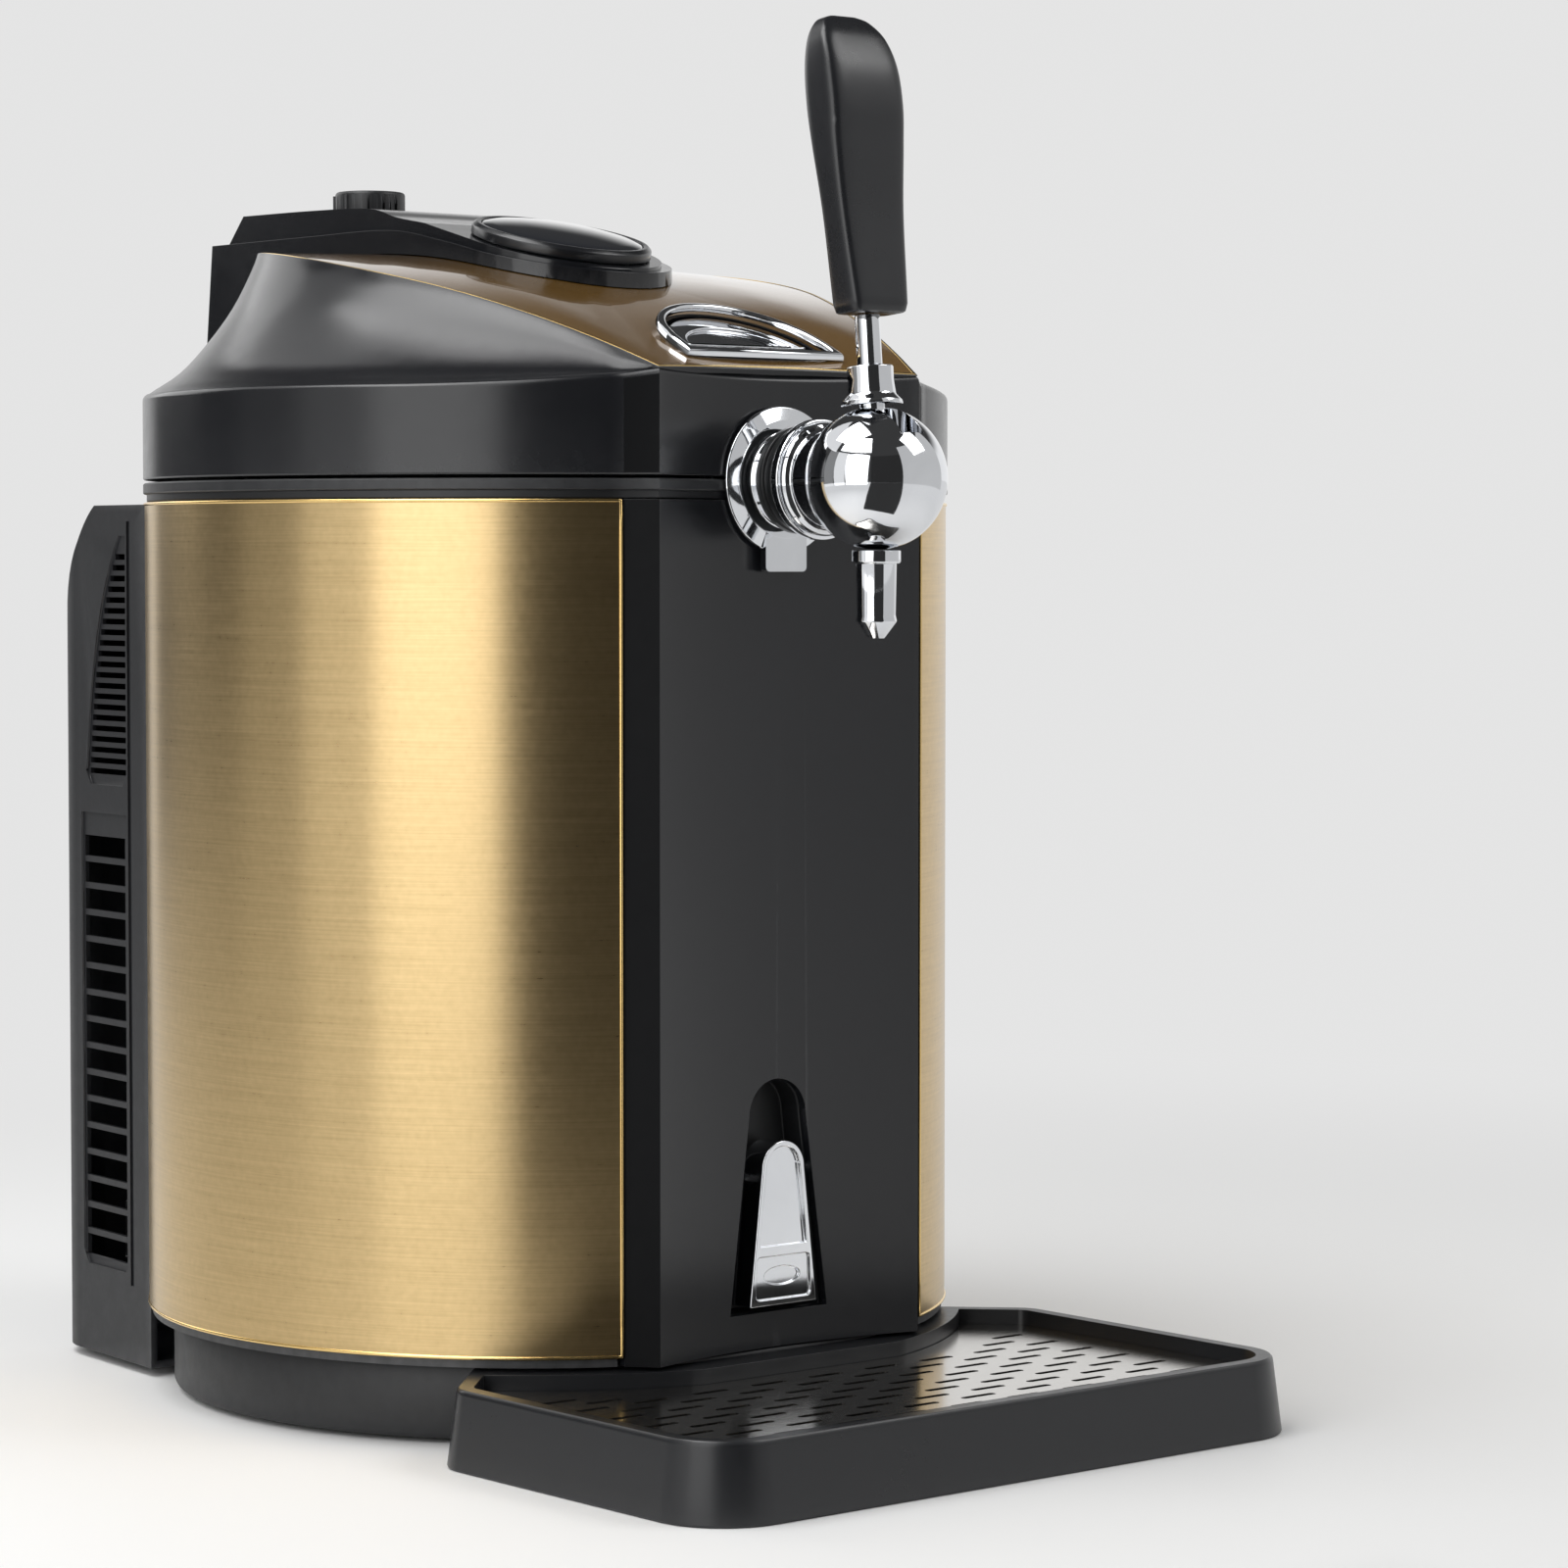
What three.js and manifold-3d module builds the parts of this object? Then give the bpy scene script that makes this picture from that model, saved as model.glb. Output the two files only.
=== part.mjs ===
// Mini keg beer dispenser with a chrome tap, a hinged lid, a louvred cooling unit and a drip tray.
// Millimetres. X runs to the right, the tap faces -Y, and Z points up from the resting surface.
// Plan positions are measured from the barrel axis; the last group moves the whole to the middle of its base.
// A name ending in Set says how far a piece stays inside or behind the one that it follows, and a name
// ending in Rise, Lift or Drop how far it lies above or below that one.

import * as THREE from 'three';
import { mergeVertices } from 'three/addons/utils/BufferGeometryUtils.js';
import Module from 'manifold-3d';

const wasm = await Module();
wasm.setup();

// Clearances
const fit = 0.3;
const runningGap = 0.4;
const overrun = 5;
const weld = 0.0001;

// Barrel and front face
const barrelRadius = 137.5;
const goldThickness = 1.2;
const shellWall = 2.6;
const frontHalf = 54.9;
const frontSet = 7.4;
const frontSag = 7.6;
const chamferWidth = 8.1;
const frontWall = 3;
const goldRearAngle = 129;
const goldCornerRadius = 9;

// Base and body
const footHeight = 1.5;
const footSet = 14.65;
const footWidth = 18;
const plinthSet = 8.85;
const plinthTop = 26;
const plinthWall = 3;
const goldLift = 3.1;
const bodyTop = 302;
const ringLower = 2.6;
const ringUpper = 3.7;
const ringStepInset = 1.2;

// Keg well, its foam and its pad
const wellSet = 50.5;
const wellWall = 1.5;
const wellFloor = 38;
const wellDrop = 4.5;
const wellLipGap = 3.2;
const mouthSet = 42.5;
const foamGap = 1.8;
const padHeight = 3;
const padMargin = 5;

// Lid
const lidGap = 1;
const shoulderRise = 29;
const shoulderFrontRise = 4.9;
const ridgeSet = 39.5;
const ridgeEdge = 1;
const crestRise = 49.9;
const topDrop = 44.3;
const topVertex = 60;
const crownRise = 2.5;
const plateThickness = 1.8;
const lidWall = 2.8;
const lidLedge = 5.5;
const linerWall = 4;
const linerSet = 8;
const gasketWidth = 4;
const gasketHeight = 1.8;

// Spine cover on the lid, its round panel and its knob
const spineHalf = 38;
const spineUpperHalf = 34.5;
const spineFront = 8;
const spineBehind = 6;
const spineRise = 7.5;
const spineStepHeight = 10;
const spineShoulder = 40;
const spineFrontDrop = 18;
const spineRun = 12;
const spineEase = 1.2;
const spineChamfer = 9.5;
const spineLean = 4;
const discRadius = 31;
const discHeight = 4.6;
const discTilt = 14.5;
const discRise = 1.1;
const discRim = 3;
const lensRise = 2.6;
const boardThickness = 1.4;
const boardMargin = 6;
const knobRadius = 12.5;
const knobHeight = 8;
const knobAhead = 43;
const knobStemRadius = 3.2;
const knobStemLength = 12;
const knobStemRoom = 2;

// Lid hinge
const hingeBehind = 9.5;
const hingeRise = 2.4;
const knuckleRadius = 6.6;
const hingePinRadius = 2.5;
const legHalf = 23.5;
const earWidth = 8;
const bracketDrop = 9;

// Lid latch
const latchHalf = 30;
const latchLength = 34;
const latchSet = 16.1;
const latchLean = 1.546;
const latchRim = 3;
const latchRimHeight = 2.4;
const latchCupDepth = 13;
const latchCupWall = 1.6;
const latchPlate = 2.4;
const latchPinRadius = 1.5;
const latchPinHalf = 28;
const hookHalf = 20;
const hookWidth = 3;
const hookThickness = 3;
const hookSet = 10.5;
const hookNose = 2.5;
const hookLift = 1.1;
const hookKneeRise = 21.4;
const hookSlot = 17;
const hookMargin = 2.5;

// Tap, measured along its own axis forward from the barrel axis
const tapDrop = 0.1;
const ballRadius = 22.7;
const shankRadius = 8;
const shankBore = 3.2;
const shankInside = 16.5;
const flangeRadius = 23.8;
const flangeThickness = 3;
const flangeHub = 14.5;
const flangeHubHeight = 4;
const tabHalf = 8.6;
const tabDrop = 29.5;
const nutRadius = 17.3;
const nutLength = 9;
const ringRadius = 19.4;
const ringLength = 4.6;
const collarRadius = 18.6;
const collarEdge = 1.8;
const collarProud = 2.57;
const backNutRadius = 14;
const backNutLength = 6;
const spoutRadius = 6.2;
const spoutCollarRadius = 7.8;
const spoutCollarLength = 4.2;
const spoutLength = 18.2;
const spoutLip = 1.2;
const spoutTip = 5.4;
const spoutTipRadius = 2.6;
const spoutBore = 1.6;

// Tap lever
const leverLean = 5;
const leverSwing = 45;
const spindleRadius = 4;
const spindleBall = 6;
const leverCollarRadius = 7.4;
const leverCollarFoot = 10;
const leverCollarHeight = 12.4;
const leverShaftRadius = 4;
const leverShaftLength = 16;
const handleHeight = 95;
const handleHalf = 15.6;
const handleDepth = 16.4;
const handleSquareness = 0.62;

// Beer line inside the keg space
const lineRadius = 3.2;
const lineSet = 11.3;
const lineDrop = 6;
const adapterRadius = 8;
const adapterHeight = 30;
const clipHalf = 12;
const clipHeight = 7;
const clipGrip = 10;

// Arched recess and push lever in the lower front
const recessLift = 12;
const recessHeight = 76;
const recessBottomHalf = 20.6;
const recessTopHalf = 12;
const recessDepth = 10.6;
const recessWall = 1.8;
const paddleLift = 2.5;
const paddleHeight = 53.5;
const paddleFootGap = 6.6;
const paddleHeadGap = 3.2;
const paddleProud = 3.4;
const paddleThickness = 10;
const paddlePinRadius = 1.6;
const paddlePinDrop = 12;
const paddlePinProud = 2;
const paddlePinSet = 4;
const paddlePinHead = 1.6;

// Cooling unit on the back
const coldHalf = 20;
const coldHeight = 120;
const coldProud = 5.2;
const peltierThickness = 4;
const sinkHalf = 45;
const sinkBase = 4.5;
const sinkFinDepth = 23;
const sinkFinThickness = 1.8;
const sinkFins = 13;
const fanGap = 3.1;
const fanHalf = 46;
const fanThickness = 15;
const fanBore = 42;
const fanHub = 15;
const fanBladeReach = 39.5;
const fanBladeThickness = 1.6;
const fanBladeTilt = 38;
const fanBlades = 7;
const fanStrut = 4;
const fanStrutDepth = 3;
const guardRings = 2;
const guardBar = 2;
const guardThickness = 2;

// Louvred rear housing
const housingShoulder = 6.56;
const housingFlank = 17;
const housingTaper = 0.103;
const housingBottom = 3;
const housingCorner = 25;
const housingWall = 2.5;
const housingAbove = 24;
const housingCurveOver = 3;
const housingCurveDepth = 50;
const windowFirst = 37;
const windowPitch = 9.43;
const windowBar = 2.1;
const windowSet = 28;
const windowWidth = 31;
const louvreLift = 18.5;
const louvrePitch = 4.8;
const louvreGap = 2.4;
const louvreReach = 60.5;
const louvreMargin = 32;
const louvreTopSet = 29;
const screwRadius = 3.2;
const screwSlot = 1.6;
const screwSocket = 1.5;
const screwSet = 38.3;
const screwLow = 16;
const screwDrop = 8;

// Mains parts on the back
const supplyGap = 5.5;
const supplyDepth = 20;
const supplyHeight = 40;
const inletSet = 45.3;
const inletLevel = 40;
const inletHalfWidth = 13.5;
const inletHalfHeight = 10;
const inletDepth = 18;
const inletWall = 2.4;
const inletPin = 2;
const inletPinPitch = 7;
const switchHalfWidth = 10.5;
const switchHalfHeight = 7.5;
const switchDepth = 12;
const switchRim = 1.8;
const rockerTilt = 8;
const rockerProud = 1.2;
const rockerPivot = 3.4;

// Drip tray and grille
const trayReach = 117.5;
const trayEndAngle = 48.35;
const trayEndSet = 3;
const trayDrop = 0.9;
const trayFlare = 3;
const trayFrontCorner = 22;
const trayRearCorner = 12;
const traySlant = 26;
const trayRim = 5.5;
const trayBackRim = 12.4;
const trayLedge = 3;
const trayFloor = 3;
const trayGap = 1;
const grilleSink = 5;
const grilleThickness = 1.2;
const slotLength = 14;
const slotWidth = 3;
const slotPitch = 24;
const slotRow = 10.4;
const slotMargin = 7;

// Counts of facets
const barrelSteps = 30;
const innerSteps = 20;
const discSteps = 24;
const faceSteps = 6;
const roundSteps = 20;
const smallSteps = 12;
const tinySteps = 8;
const cornerSteps = 2;
const handleSteps = 16;
const hexSides = 6;

// Angles
const degree = Math.PI / 180;
const fullTurn = 360;

// Front face and base, from the barrel
const shellRadius = barrelRadius - goldThickness - fit;
const frontDepth = barrelRadius - frontSet;
const faceCentre = frontDepth - frontSag;
const chamferHalf = frontHalf + chamferWidth;
const plinthRadius = barrelRadius - plinthSet;
const footOuter = plinthRadius - footSet;
const goldBottom = plinthTop + goldLift;
const recessBottom = plinthTop + recessLift;
const recessTop = recessBottom + recessHeight;
const paddleBottom = recessBottom + paddleLift;
const paddleTop = paddleBottom + paddleHeight;
const paddlePinHeight = paddleTop - paddlePinDrop;

// Keg space, from the barrel
const wellRadius = barrelRadius - wellSet;
const wellOuter = wellRadius + wellWall;
const wellMouth = bodyTop - wellDrop;
const panelBack = faceCentre - frontWall - fit;
const foamRadius = panelBack - recessDepth - foamGap;
const wellFlange = panelBack - backNutLength - wellLipGap;
const ringHoleRadius = barrelRadius - mouthSet;

// Levels of the ring and the lid, from the top of the body
const ringBottom = bodyTop + fit;
const ringTop = ringBottom + ringLower + ringUpper;
const tapHeight = ringTop - tapDrop;
const lidBottom = ringTop + lidGap;
const shoulderHeight = lidBottom + shoulderRise;
const topHeight = shoulderHeight + crestRise;
const discLevel = topHeight + discRise;
const spineStep = topHeight + spineRise;
const spineTop = spineStep + spineStepHeight;
const hingeHeight = lidBottom + hingeRise;

// Places on the lid and in front of it
const ridgeRadius = barrelRadius - ridgeSet;
const hingePlace = barrelRadius + hingeBehind;
const spineRear = hingePlace + spineBehind;
const knobPlace = hingePlace - knobAhead;
const latchFrontPlace = frontDepth - latchSet;
const hookPlace = faceCentre - hookSet;
const linerRadius = hookPlace - linerSet;
const linerTop = topAt(0, -latchFrontPlace) - latchCupDepth - latchCupWall - 2 * runningGap;
const shankRear = faceCentre - shankInside;
const lineBend = shankRear - fit - wellRadius + lineSet;
const flangeNear = faceCentre + faceDip(flangeRadius) + fit;
const nutNear = flangeNear + flangeThickness + flangeHubHeight + fit;
const ringNear = nutNear + nutLength + fit;
const collarNear = ringNear + ringLength + fit;
const ballPlace = collarNear + collarProud + ballRadius;

// Cooling unit and rear housing, one behind the other
const coldRear = foamRadius + coldProud;
const sinkRear = coldRear + peltierThickness + sinkBase + sinkFinDepth + 2 * fit;
const fanRear = sinkRear + fanGap + fanThickness;
const housingRear = fanRear + fit + housingWall;
const housingHalfAt = housingRear - housingFlank;
const housingHalf = barrelRadius * Math.sin(goldRearAngle * degree) - housingShoulder;
const housingCurveStart = coldHeight + fanHalf + housingAbove;
const housingCurveTop = bodyTop + housingCurveOver;
const windowRear = housingRear - windowSet;
const windowFront = windowRear - windowWidth;
const windowCount = Math.floor((housingCurveStart - windowFirst) / windowPitch);
const louvreFirst = housingCurveStart + louvreLift;
const louvreFront = housingRear - louvreReach;
const louvreCount = Math.floor((housingCurveTop - louvreTopSet - louvreFirst) / louvrePitch);
const screwSpread = housingHalf - screwSet;
const screwHigh = housingCurveStart - screwDrop;
const inletPlace = housingHalf - inletSet;
const supplyHalf = inletPlace - inletHalfWidth - supplyGap;

// Drip tray, its ends running in to the plinth
const trayEnd = plinthRadius - trayEndSet;
const trayRound = trayRearCorner * (1 - Math.SQRT1_2);
const trayHalf = trayEnd * Math.sin(trayEndAngle * degree) + traySlant + trayRound;
const trayRear = trayEnd * Math.cos(trayEndAngle * degree) + traySlant - trayRound;
const trayFront = faceCentre + trayReach;
const trayHeight = plinthTop - trayDrop;

// The middle of the footprint lies this far in front of the barrel axis
const originShift = (trayFront + trayFlare - housingRear) / 2;

// A closed three.js geometry as a solid that can be cut and joined
function solid(geometry) {
  const bare = geometry.clone();
  bare.deleteAttribute('normal');
  bare.deleteAttribute('uv');
  const merged = mergeVertices(bare, weld);
  const corners = [];
  const order = merged.index.array;
  for (let i = 0; i < order.length; i += 3) {
    const [a, b, c] = [order[i], order[i + 1], order[i + 2]];
    if (a !== b && b !== c && c !== a) corners.push(a, b, c);
  }
  const places = merged.attributes.position.array;
  if (signedVolume(places, corners) < 0) {
    for (let i = 0; i < corners.length; i += 3) {
      [corners[i], corners[i + 1]] = [corners[i + 1], corners[i]];
    }
  }
  return new wasm.Manifold(new wasm.Mesh({
    numProp: 3,
    vertProperties: new Float32Array(places),
    triVerts: new Uint32Array(corners),
  }));
}

// Volume inside a closed triangle list, negative where its faces point inwards
function signedVolume(places, corners) {
  const [p, q, r] = [new THREE.Vector3(), new THREE.Vector3(), new THREE.Vector3()];
  let volume = 0;
  for (let i = 0; i < corners.length; i += 3) {
    p.fromArray(places, corners[i] * 3);
    q.fromArray(places, corners[i + 1] * 3);
    r.fromArray(places, corners[i + 2] * 3);
    volume += p.dot(q.cross(r));
  }
  return volume;
}

// A cut or joined solid back as a three.js geometry
function geometryOf(body) {
  const data = body.getMesh();
  const geometry = new THREE.BufferGeometry();
  geometry.setAttribute('position', new THREE.BufferAttribute(data.vertProperties, 3));
  geometry.setIndex(new THREE.BufferAttribute(data.triVerts, 1));
  geometry.computeVertexNormals();
  return geometry;
}

// A named mesh with its own finish
function piece(name, body, finish) {
  const mesh = new THREE.Mesh(geometryOf(body), new THREE.MeshStandardMaterial(finish));
  mesh.name = name;
  return mesh;
}

const blackPlastic = { color: 0x26272a, roughness: 0.45, metalness: 0 };
const greyPlastic = { color: 0x8d9094, roughness: 0.5, metalness: 0 };
const goldSheet = { color: 0xb79a63, roughness: 0.32, metalness: 1 };
const goldGloss = { color: 0x6d5225, roughness: 0.12, metalness: 0.6 };
const chrome = { color: 0xe6e8ea, roughness: 0.06, metalness: 1 };
const steel = { color: 0xb4b0a8, roughness: 0.3, metalness: 1 };
const aluminium = { color: 0xc3c6c9, roughness: 0.4, metalness: 1 };
const foam = { color: 0xe9e9e4, roughness: 0.9, metalness: 0 };
const rubber = { color: 0x17181a, roughness: 0.85, metalness: 0 };
const circuit = { color: 0x1f5b3a, roughness: 0.5, metalness: 0 };
const darkGlass = { color: 0x0c0d10, roughness: 0.05, metalness: 0 };
const whiteCeramic = { color: 0xe7e7e7, roughness: 0.6, metalness: 0 };
const clearHose = { color: 0xdfe3e4, roughness: 0.25, metalness: 0 };

// A profile of [radius, height] pairs turned about the vertical
function turned(profile, steps = roundSteps) {
  const points = profile.map(([r, z]) => new THREE.Vector2(r, z));
  const geometry = new THREE.LatheGeometry(points, steps);
  geometry.rotateX(Math.PI / 2);
  return solid(geometry);
}

// The same profile turned about a line along Y; the height runs towards the front
function turnedForward(profile, steps = roundSteps) {
  const points = profile.map(([r, forward]) => new THREE.Vector2(r, forward));
  const geometry = new THREE.LatheGeometry(points, steps);
  geometry.rotateX(Math.PI);
  return solid(geometry);
}

// A full disc or drum between two heights
function drum(radius, low, high, steps = roundSteps) {
  return turned([[0, low], [radius, low], [radius, high], [0, high]], steps);
}

// A drum lying along Y between two distances in front of the barrel axis
function drumForward(radius, near, far, steps = roundSteps) {
  return turnedForward([[0, near], [radius, near], [radius, far], [0, far]], steps);
}

// A drum lying along X
function drumAcross(radius, half, steps = smallSteps) {
  const geometry = new THREE.CylinderGeometry(radius, radius, 2 * half, steps);
  geometry.rotateZ(Math.PI / 2);
  return solid(geometry);
}

// A box given by its two corners
function block(x0, y0, z0, x1, y1, z1) {
  const geometry = new THREE.BoxGeometry(x1 - x0, y1 - y0, z1 - z0);
  geometry.translate((x0 + x1) / 2, (y0 + y1) / 2, (z0 + z1) / 2);
  return solid(geometry);
}

// A plan outline of [x, y] pairs raised from one height to another
function prism(outline, low, high) {
  const shape = new THREE.Shape(outline.map(([x, y]) => new THREE.Vector2(x, y)));
  const geometry = new THREE.ExtrudeGeometry(shape, { depth: high - low, bevelEnabled: false });
  geometry.translate(0, 0, low);
  return solid(geometry);
}

// A side outline of [y, z] pairs drawn out to both sides in X
function slab(outline, half) {
  const shape = new THREE.Shape(outline.map(([y, z]) => new THREE.Vector2(y, z)));
  const geometry = new THREE.ExtrudeGeometry(shape, { depth: 2 * half, bevelEnabled: false });
  geometry.translate(0, 0, -half);
  geometry.rotateY(Math.PI / 2);
  geometry.rotateX(Math.PI / 2);
  return solid(geometry);
}

// A front outline of [x, z] pairs drawn out between two distances in front of the barrel axis
function frontPrism(outline, near, far) {
  const shape = new THREE.Shape(outline.map(([x, z]) => new THREE.Vector2(x, z)));
  const geometry = new THREE.ExtrudeGeometry(shape, { depth: far - near, bevelEnabled: false });
  geometry.rotateX(Math.PI / 2);
  geometry.translate(0, -near, 0);
  return solid(geometry);
}

// Rings of points, one above the other, skinned and closed at both ends
function loft(rings) {
  const count = rings[0].length;
  const places = rings.flat(2);
  const corners = [];
  for (let k = 0; k + 1 < rings.length; k++) {
    for (let i = 0; i < count; i++) {
      const a = k * count + i;
      const b = k * count + (i + 1) % count;
      corners.push(a, b, b + count, a, b + count, a + count);
    }
  }
  capRing(places, corners, rings[0], 0, false);
  capRing(places, corners, rings[rings.length - 1], (rings.length - 1) * count, true);
  const geometry = new THREE.BufferGeometry();
  geometry.setAttribute('position', new THREE.Float32BufferAttribute(places, 3));
  geometry.setIndex(corners);
  return solid(geometry);
}

// Rings of points skinned one after the other and back to the first, like the wall of a hoop
function hoop(rings) {
  const count = rings[0].length;
  const corners = [];
  for (let k = 0; k < rings.length; k++) {
    const next = (k + 1) % rings.length * count;
    for (let i = 0; i < count; i++) {
      const [a, b] = [k * count + i, k * count + (i + 1) % count];
      const [c, d] = [next + (i + 1) % count, next + i];
      corners.push(a, b, c, a, c, d);
    }
  }
  const geometry = new THREE.BufferGeometry();
  geometry.setAttribute('position', new THREE.Float32BufferAttribute(rings.flat(2), 3));
  geometry.setIndex(corners);
  return solid(geometry);
}

// A fan of triangles from a ring's middle closes that ring
function capRing(places, corners, ring, first, upwards) {
  const count = ring.length;
  const middle = [0, 1, 2].map((axis) => ring.reduce((sum, p) => sum + p[axis], 0) / count);
  const centre = places.length / 3;
  places.push(...middle);
  for (let i = 0; i < count; i++) {
    const a = first + i;
    const b = first + (i + 1) % count;
    if (upwards) corners.push(a, b, centre);
    else corners.push(b, a, centre);
  }
}

// A point on a circle, its angle in degrees from the front towards the right
function atAngle(radius, angle) {
  return [radius * Math.sin(angle * degree), -radius * Math.cos(angle * degree)];
}

// A band of a ring between two radii and two angles
function ringBand(inner, outer, from, to, steps) {
  const outline = [];
  for (let i = 0; i <= steps; i++) outline.push(atAngle(outer, from + (to - from) * i / steps));
  for (let i = steps; i >= 0; i--) outline.push(atAngle(inner, from + (to - from) * i / steps));
  return outline;
}

// How far the hollow front face lies behind its corners
function faceSag(x) {
  return frontSag * Math.max(0, 1 - (x / frontHalf) ** 2);
}

// Points of the hollow front face from left to right
function facePoints(inset) {
  const points = [];
  for (let i = 0; i <= faceSteps; i++) {
    const x = frontHalf * (2 * i / faceSteps - 1);
    const squeeze = (frontHalf - inset / 2) / frontHalf;
    points.push([x * squeeze, -(frontDepth - inset - faceSag(x))]);
  }
  return points;
}

// Plan of the body: the hollow front face, a chamfer on each side and the round barrel
function bodyPlan(inset = 0) {
  const points = facePoints(inset);
  const edge = Math.asin(chamferHalf / barrelRadius) / degree;
  for (let i = 0; i <= barrelSteps; i++) {
    points.push(atAngle(barrelRadius - inset, edge + (fullTurn - 2 * edge) * i / barrelSteps));
  }
  return points;
}

// Plan of the ridge round the lid's top: a smaller circle with straight runs to the front corners
function ridgePlan(grow = 0) {
  const radius = ridgeRadius + grow;
  const corner = new THREE.Vector2(frontHalf - ridgeEdge / 2, frontDepth - ridgeEdge);
  corner.setLength(corner.length() + grow);
  const cornerAngle = Math.atan2(corner.x, corner.y);
  const touch = cornerAngle + Math.acos(Math.min(1, radius / corner.length()));
  const touchPoint = new THREE.Vector2(radius * Math.sin(touch), radius * Math.cos(touch));
  return bodyPlan().map(([x, y], i) => {
    if (i <= faceSteps) return facePoints(ridgeEdge - grow)[i];
    const angle = Math.atan2(Math.abs(x), -y);
    if (angle >= touch) return [Math.sign(x) * radius * Math.sin(angle), -radius * Math.cos(angle)];
    const reach = crossing(corner, touchPoint, angle);
    return [Math.sign(x) * reach * Math.sin(angle), -reach * Math.cos(angle)];
  });
}

// Distance from the axis at which a direction crosses the line between two points
function crossing(from, to, angle) {
  const run = new THREE.Vector2().subVectors(to, from);
  const direction = new THREE.Vector2(Math.sin(angle), Math.cos(angle));
  return from.cross(run) / direction.cross(run);
}

// Height of the lid's sloping top at a plan point
function topAt(x, y) {
  const length = topVertex + frontDepth;
  const back = y - faceSag(x) * (topVertex - y) / length;
  return topHeight - topDrop * ((topVertex - back) / length) ** 2 - crownRise * (x / ridgeRadius) ** 2;
}

// Height of the lid's shoulder, which climbs towards the front corners
function shoulderAt(x, y) {
  const along = Math.max(0, (-y - frontDepth / 2) / (frontDepth / 2));
  return shoulderHeight + shoulderFrontRise * Math.min(1, along) ** 3;
}

// How the concave flank climbs: share of its width inwards and share of its height
const flankShares = [[0.285, 0.151], [0.541, 0.3685], [0.764, 0.608], [0.923, 0.849]];

// How the lining of the flank climbs, in fewer steps
const liningShares = [[0.6, 0.34]];

// Rings of the top surface between the ridge and its middle, as shares of the way out
const topShares = [0.76, 0.48];

// A level ring of points on a plan outline
function levelRing(plan, height) {
  return plan.map(([x, y]) => [x, y, height]);
}

// The shoulder ring, moved inwards by a wall and raised or lowered
function shoulderRing(inset, raise) {
  const edge = bodyPlan();
  return bodyPlan(inset).map(([x, y], i) => [x, y, shoulderAt(...edge[i]) + raise]);
}

// The ridge ring, grown and raised, its height taken from the top surface
function ridgeRing(grow, raise) {
  return ridgePlan(grow).map(([x, y]) => [x, y, topAt(x, y) + raise]);
}

// Rings that climb from the shoulder towards the ridge
function flankRings(shoulder, ridge, shares) {
  return shares.map(([across, up]) => shoulder.map((p, i) => [
    p[0] + (ridge[i][0] - p[0]) * across,
    p[1] + (ridge[i][1] - p[1]) * across,
    p[2] + (ridge[i][2] - p[2]) * up,
  ]));
}

// One ring of the top surface, drawn in from the ridge towards the middle
function topRing(share, raise) {
  const plan = ridgePlan();
  const middle = plan.reduce((sum, point) => sum + point[1], 0) / plan.length;
  return plan.map(([x, y]) => {
    const inner = middle + (y - middle) * share;
    return [x * share, inner, topAt(x * share, inner) + raise];
  });
}

// Base plinth: a low pan with a flat stretch under the front face
function basePlinth() {
  const pan = frontCut(drum(plinthRadius, footHeight, plinthTop, barrelSteps), faceCentre);
  const inner = drum(plinthRadius - plinthWall, footHeight + plinthWall, plinthTop + overrun, barrelSteps);
  return piece('base_plinth', pan.subtract(frontCut(inner, faceCentre - plinthWall)), blackPlastic);
}

// Cuts everything off that lies further forward than the distance given
function frontCut(body, reach) {
  const half = barrelRadius + overrun;
  return body.subtract(block(-half, -2 * half, -half, half, -reach, topHeight));
}

// Rubber ring under the plinth that the dispenser stands on
function rubberFoot() {
  const body = turned([
    [footOuter - footWidth, 0], [footOuter, 0], [footOuter, footHeight], [footOuter - footWidth, footHeight],
    [footOuter - footWidth, 0],
  ], innerSteps);
  return piece('rubber_foot', body, rubber);
}

// Shell behind the gold panels, open at the front and with a window for the cooler
function bodyShell() {
  const edge = Math.asin(chamferHalf / (shellRadius - shellWall)) / degree;
  const band = ringBand(shellRadius - shellWall, shellRadius, edge, fullTurn - edge, barrelSteps);
  const wall = prism(band, plinthTop + fit, bodyTop);
  const reach = sinkHalf + 2 * fit;
  const window = block(-reach, 0, coldHeight - reach, reach, barrelRadius + overrun, coldHeight + reach);
  return piece('body_shell', wall.subtract(window), blackPlastic);
}

// Front panel: the hollow face with its chamfers, the arched opening and the saddle for the tap
function frontPanel() {
  const edge = chamferHalf - 2 * fit;
  const edgeDepth = Math.sqrt(barrelRadius ** 2 - edge ** 2);
  const outer = facePoints(0);
  const inner = facePoints(frontWall).reverse();
  const outline = [
    [-edge, -edgeDepth + goldThickness], ...outer, [edge, -edgeDepth + goldThickness],
    [edge, -edgeDepth + frontWall + goldThickness], ...inner, [-edge, -edgeDepth + frontWall + goldThickness],
  ];
  const wall = prism(outline, plinthTop + fit, bodyTop);
  const arch = frontPrism(archOutline(0), faceCentre - frontSag - overrun, frontDepth + overrun);
  return piece('front_panel', wall.subtract(arch).subtract(saddle(shankRadius + fit)), blackPlastic);
}

// The round way that the tap's shank takes through the front
function saddle(radius) {
  return drumForward(radius, ringHoleRadius - overrun, frontDepth + overrun).translate([0, 0, tapHeight]);
}

// Half width of the arched recess at a height below the spring of its arch
function recessHalfAt(height) {
  const share = (height - recessBottom) / (recessTop - recessTopHalf - recessBottom);
  return recessBottomHalf + (recessTopHalf - recessBottomHalf) * share;
}

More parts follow.
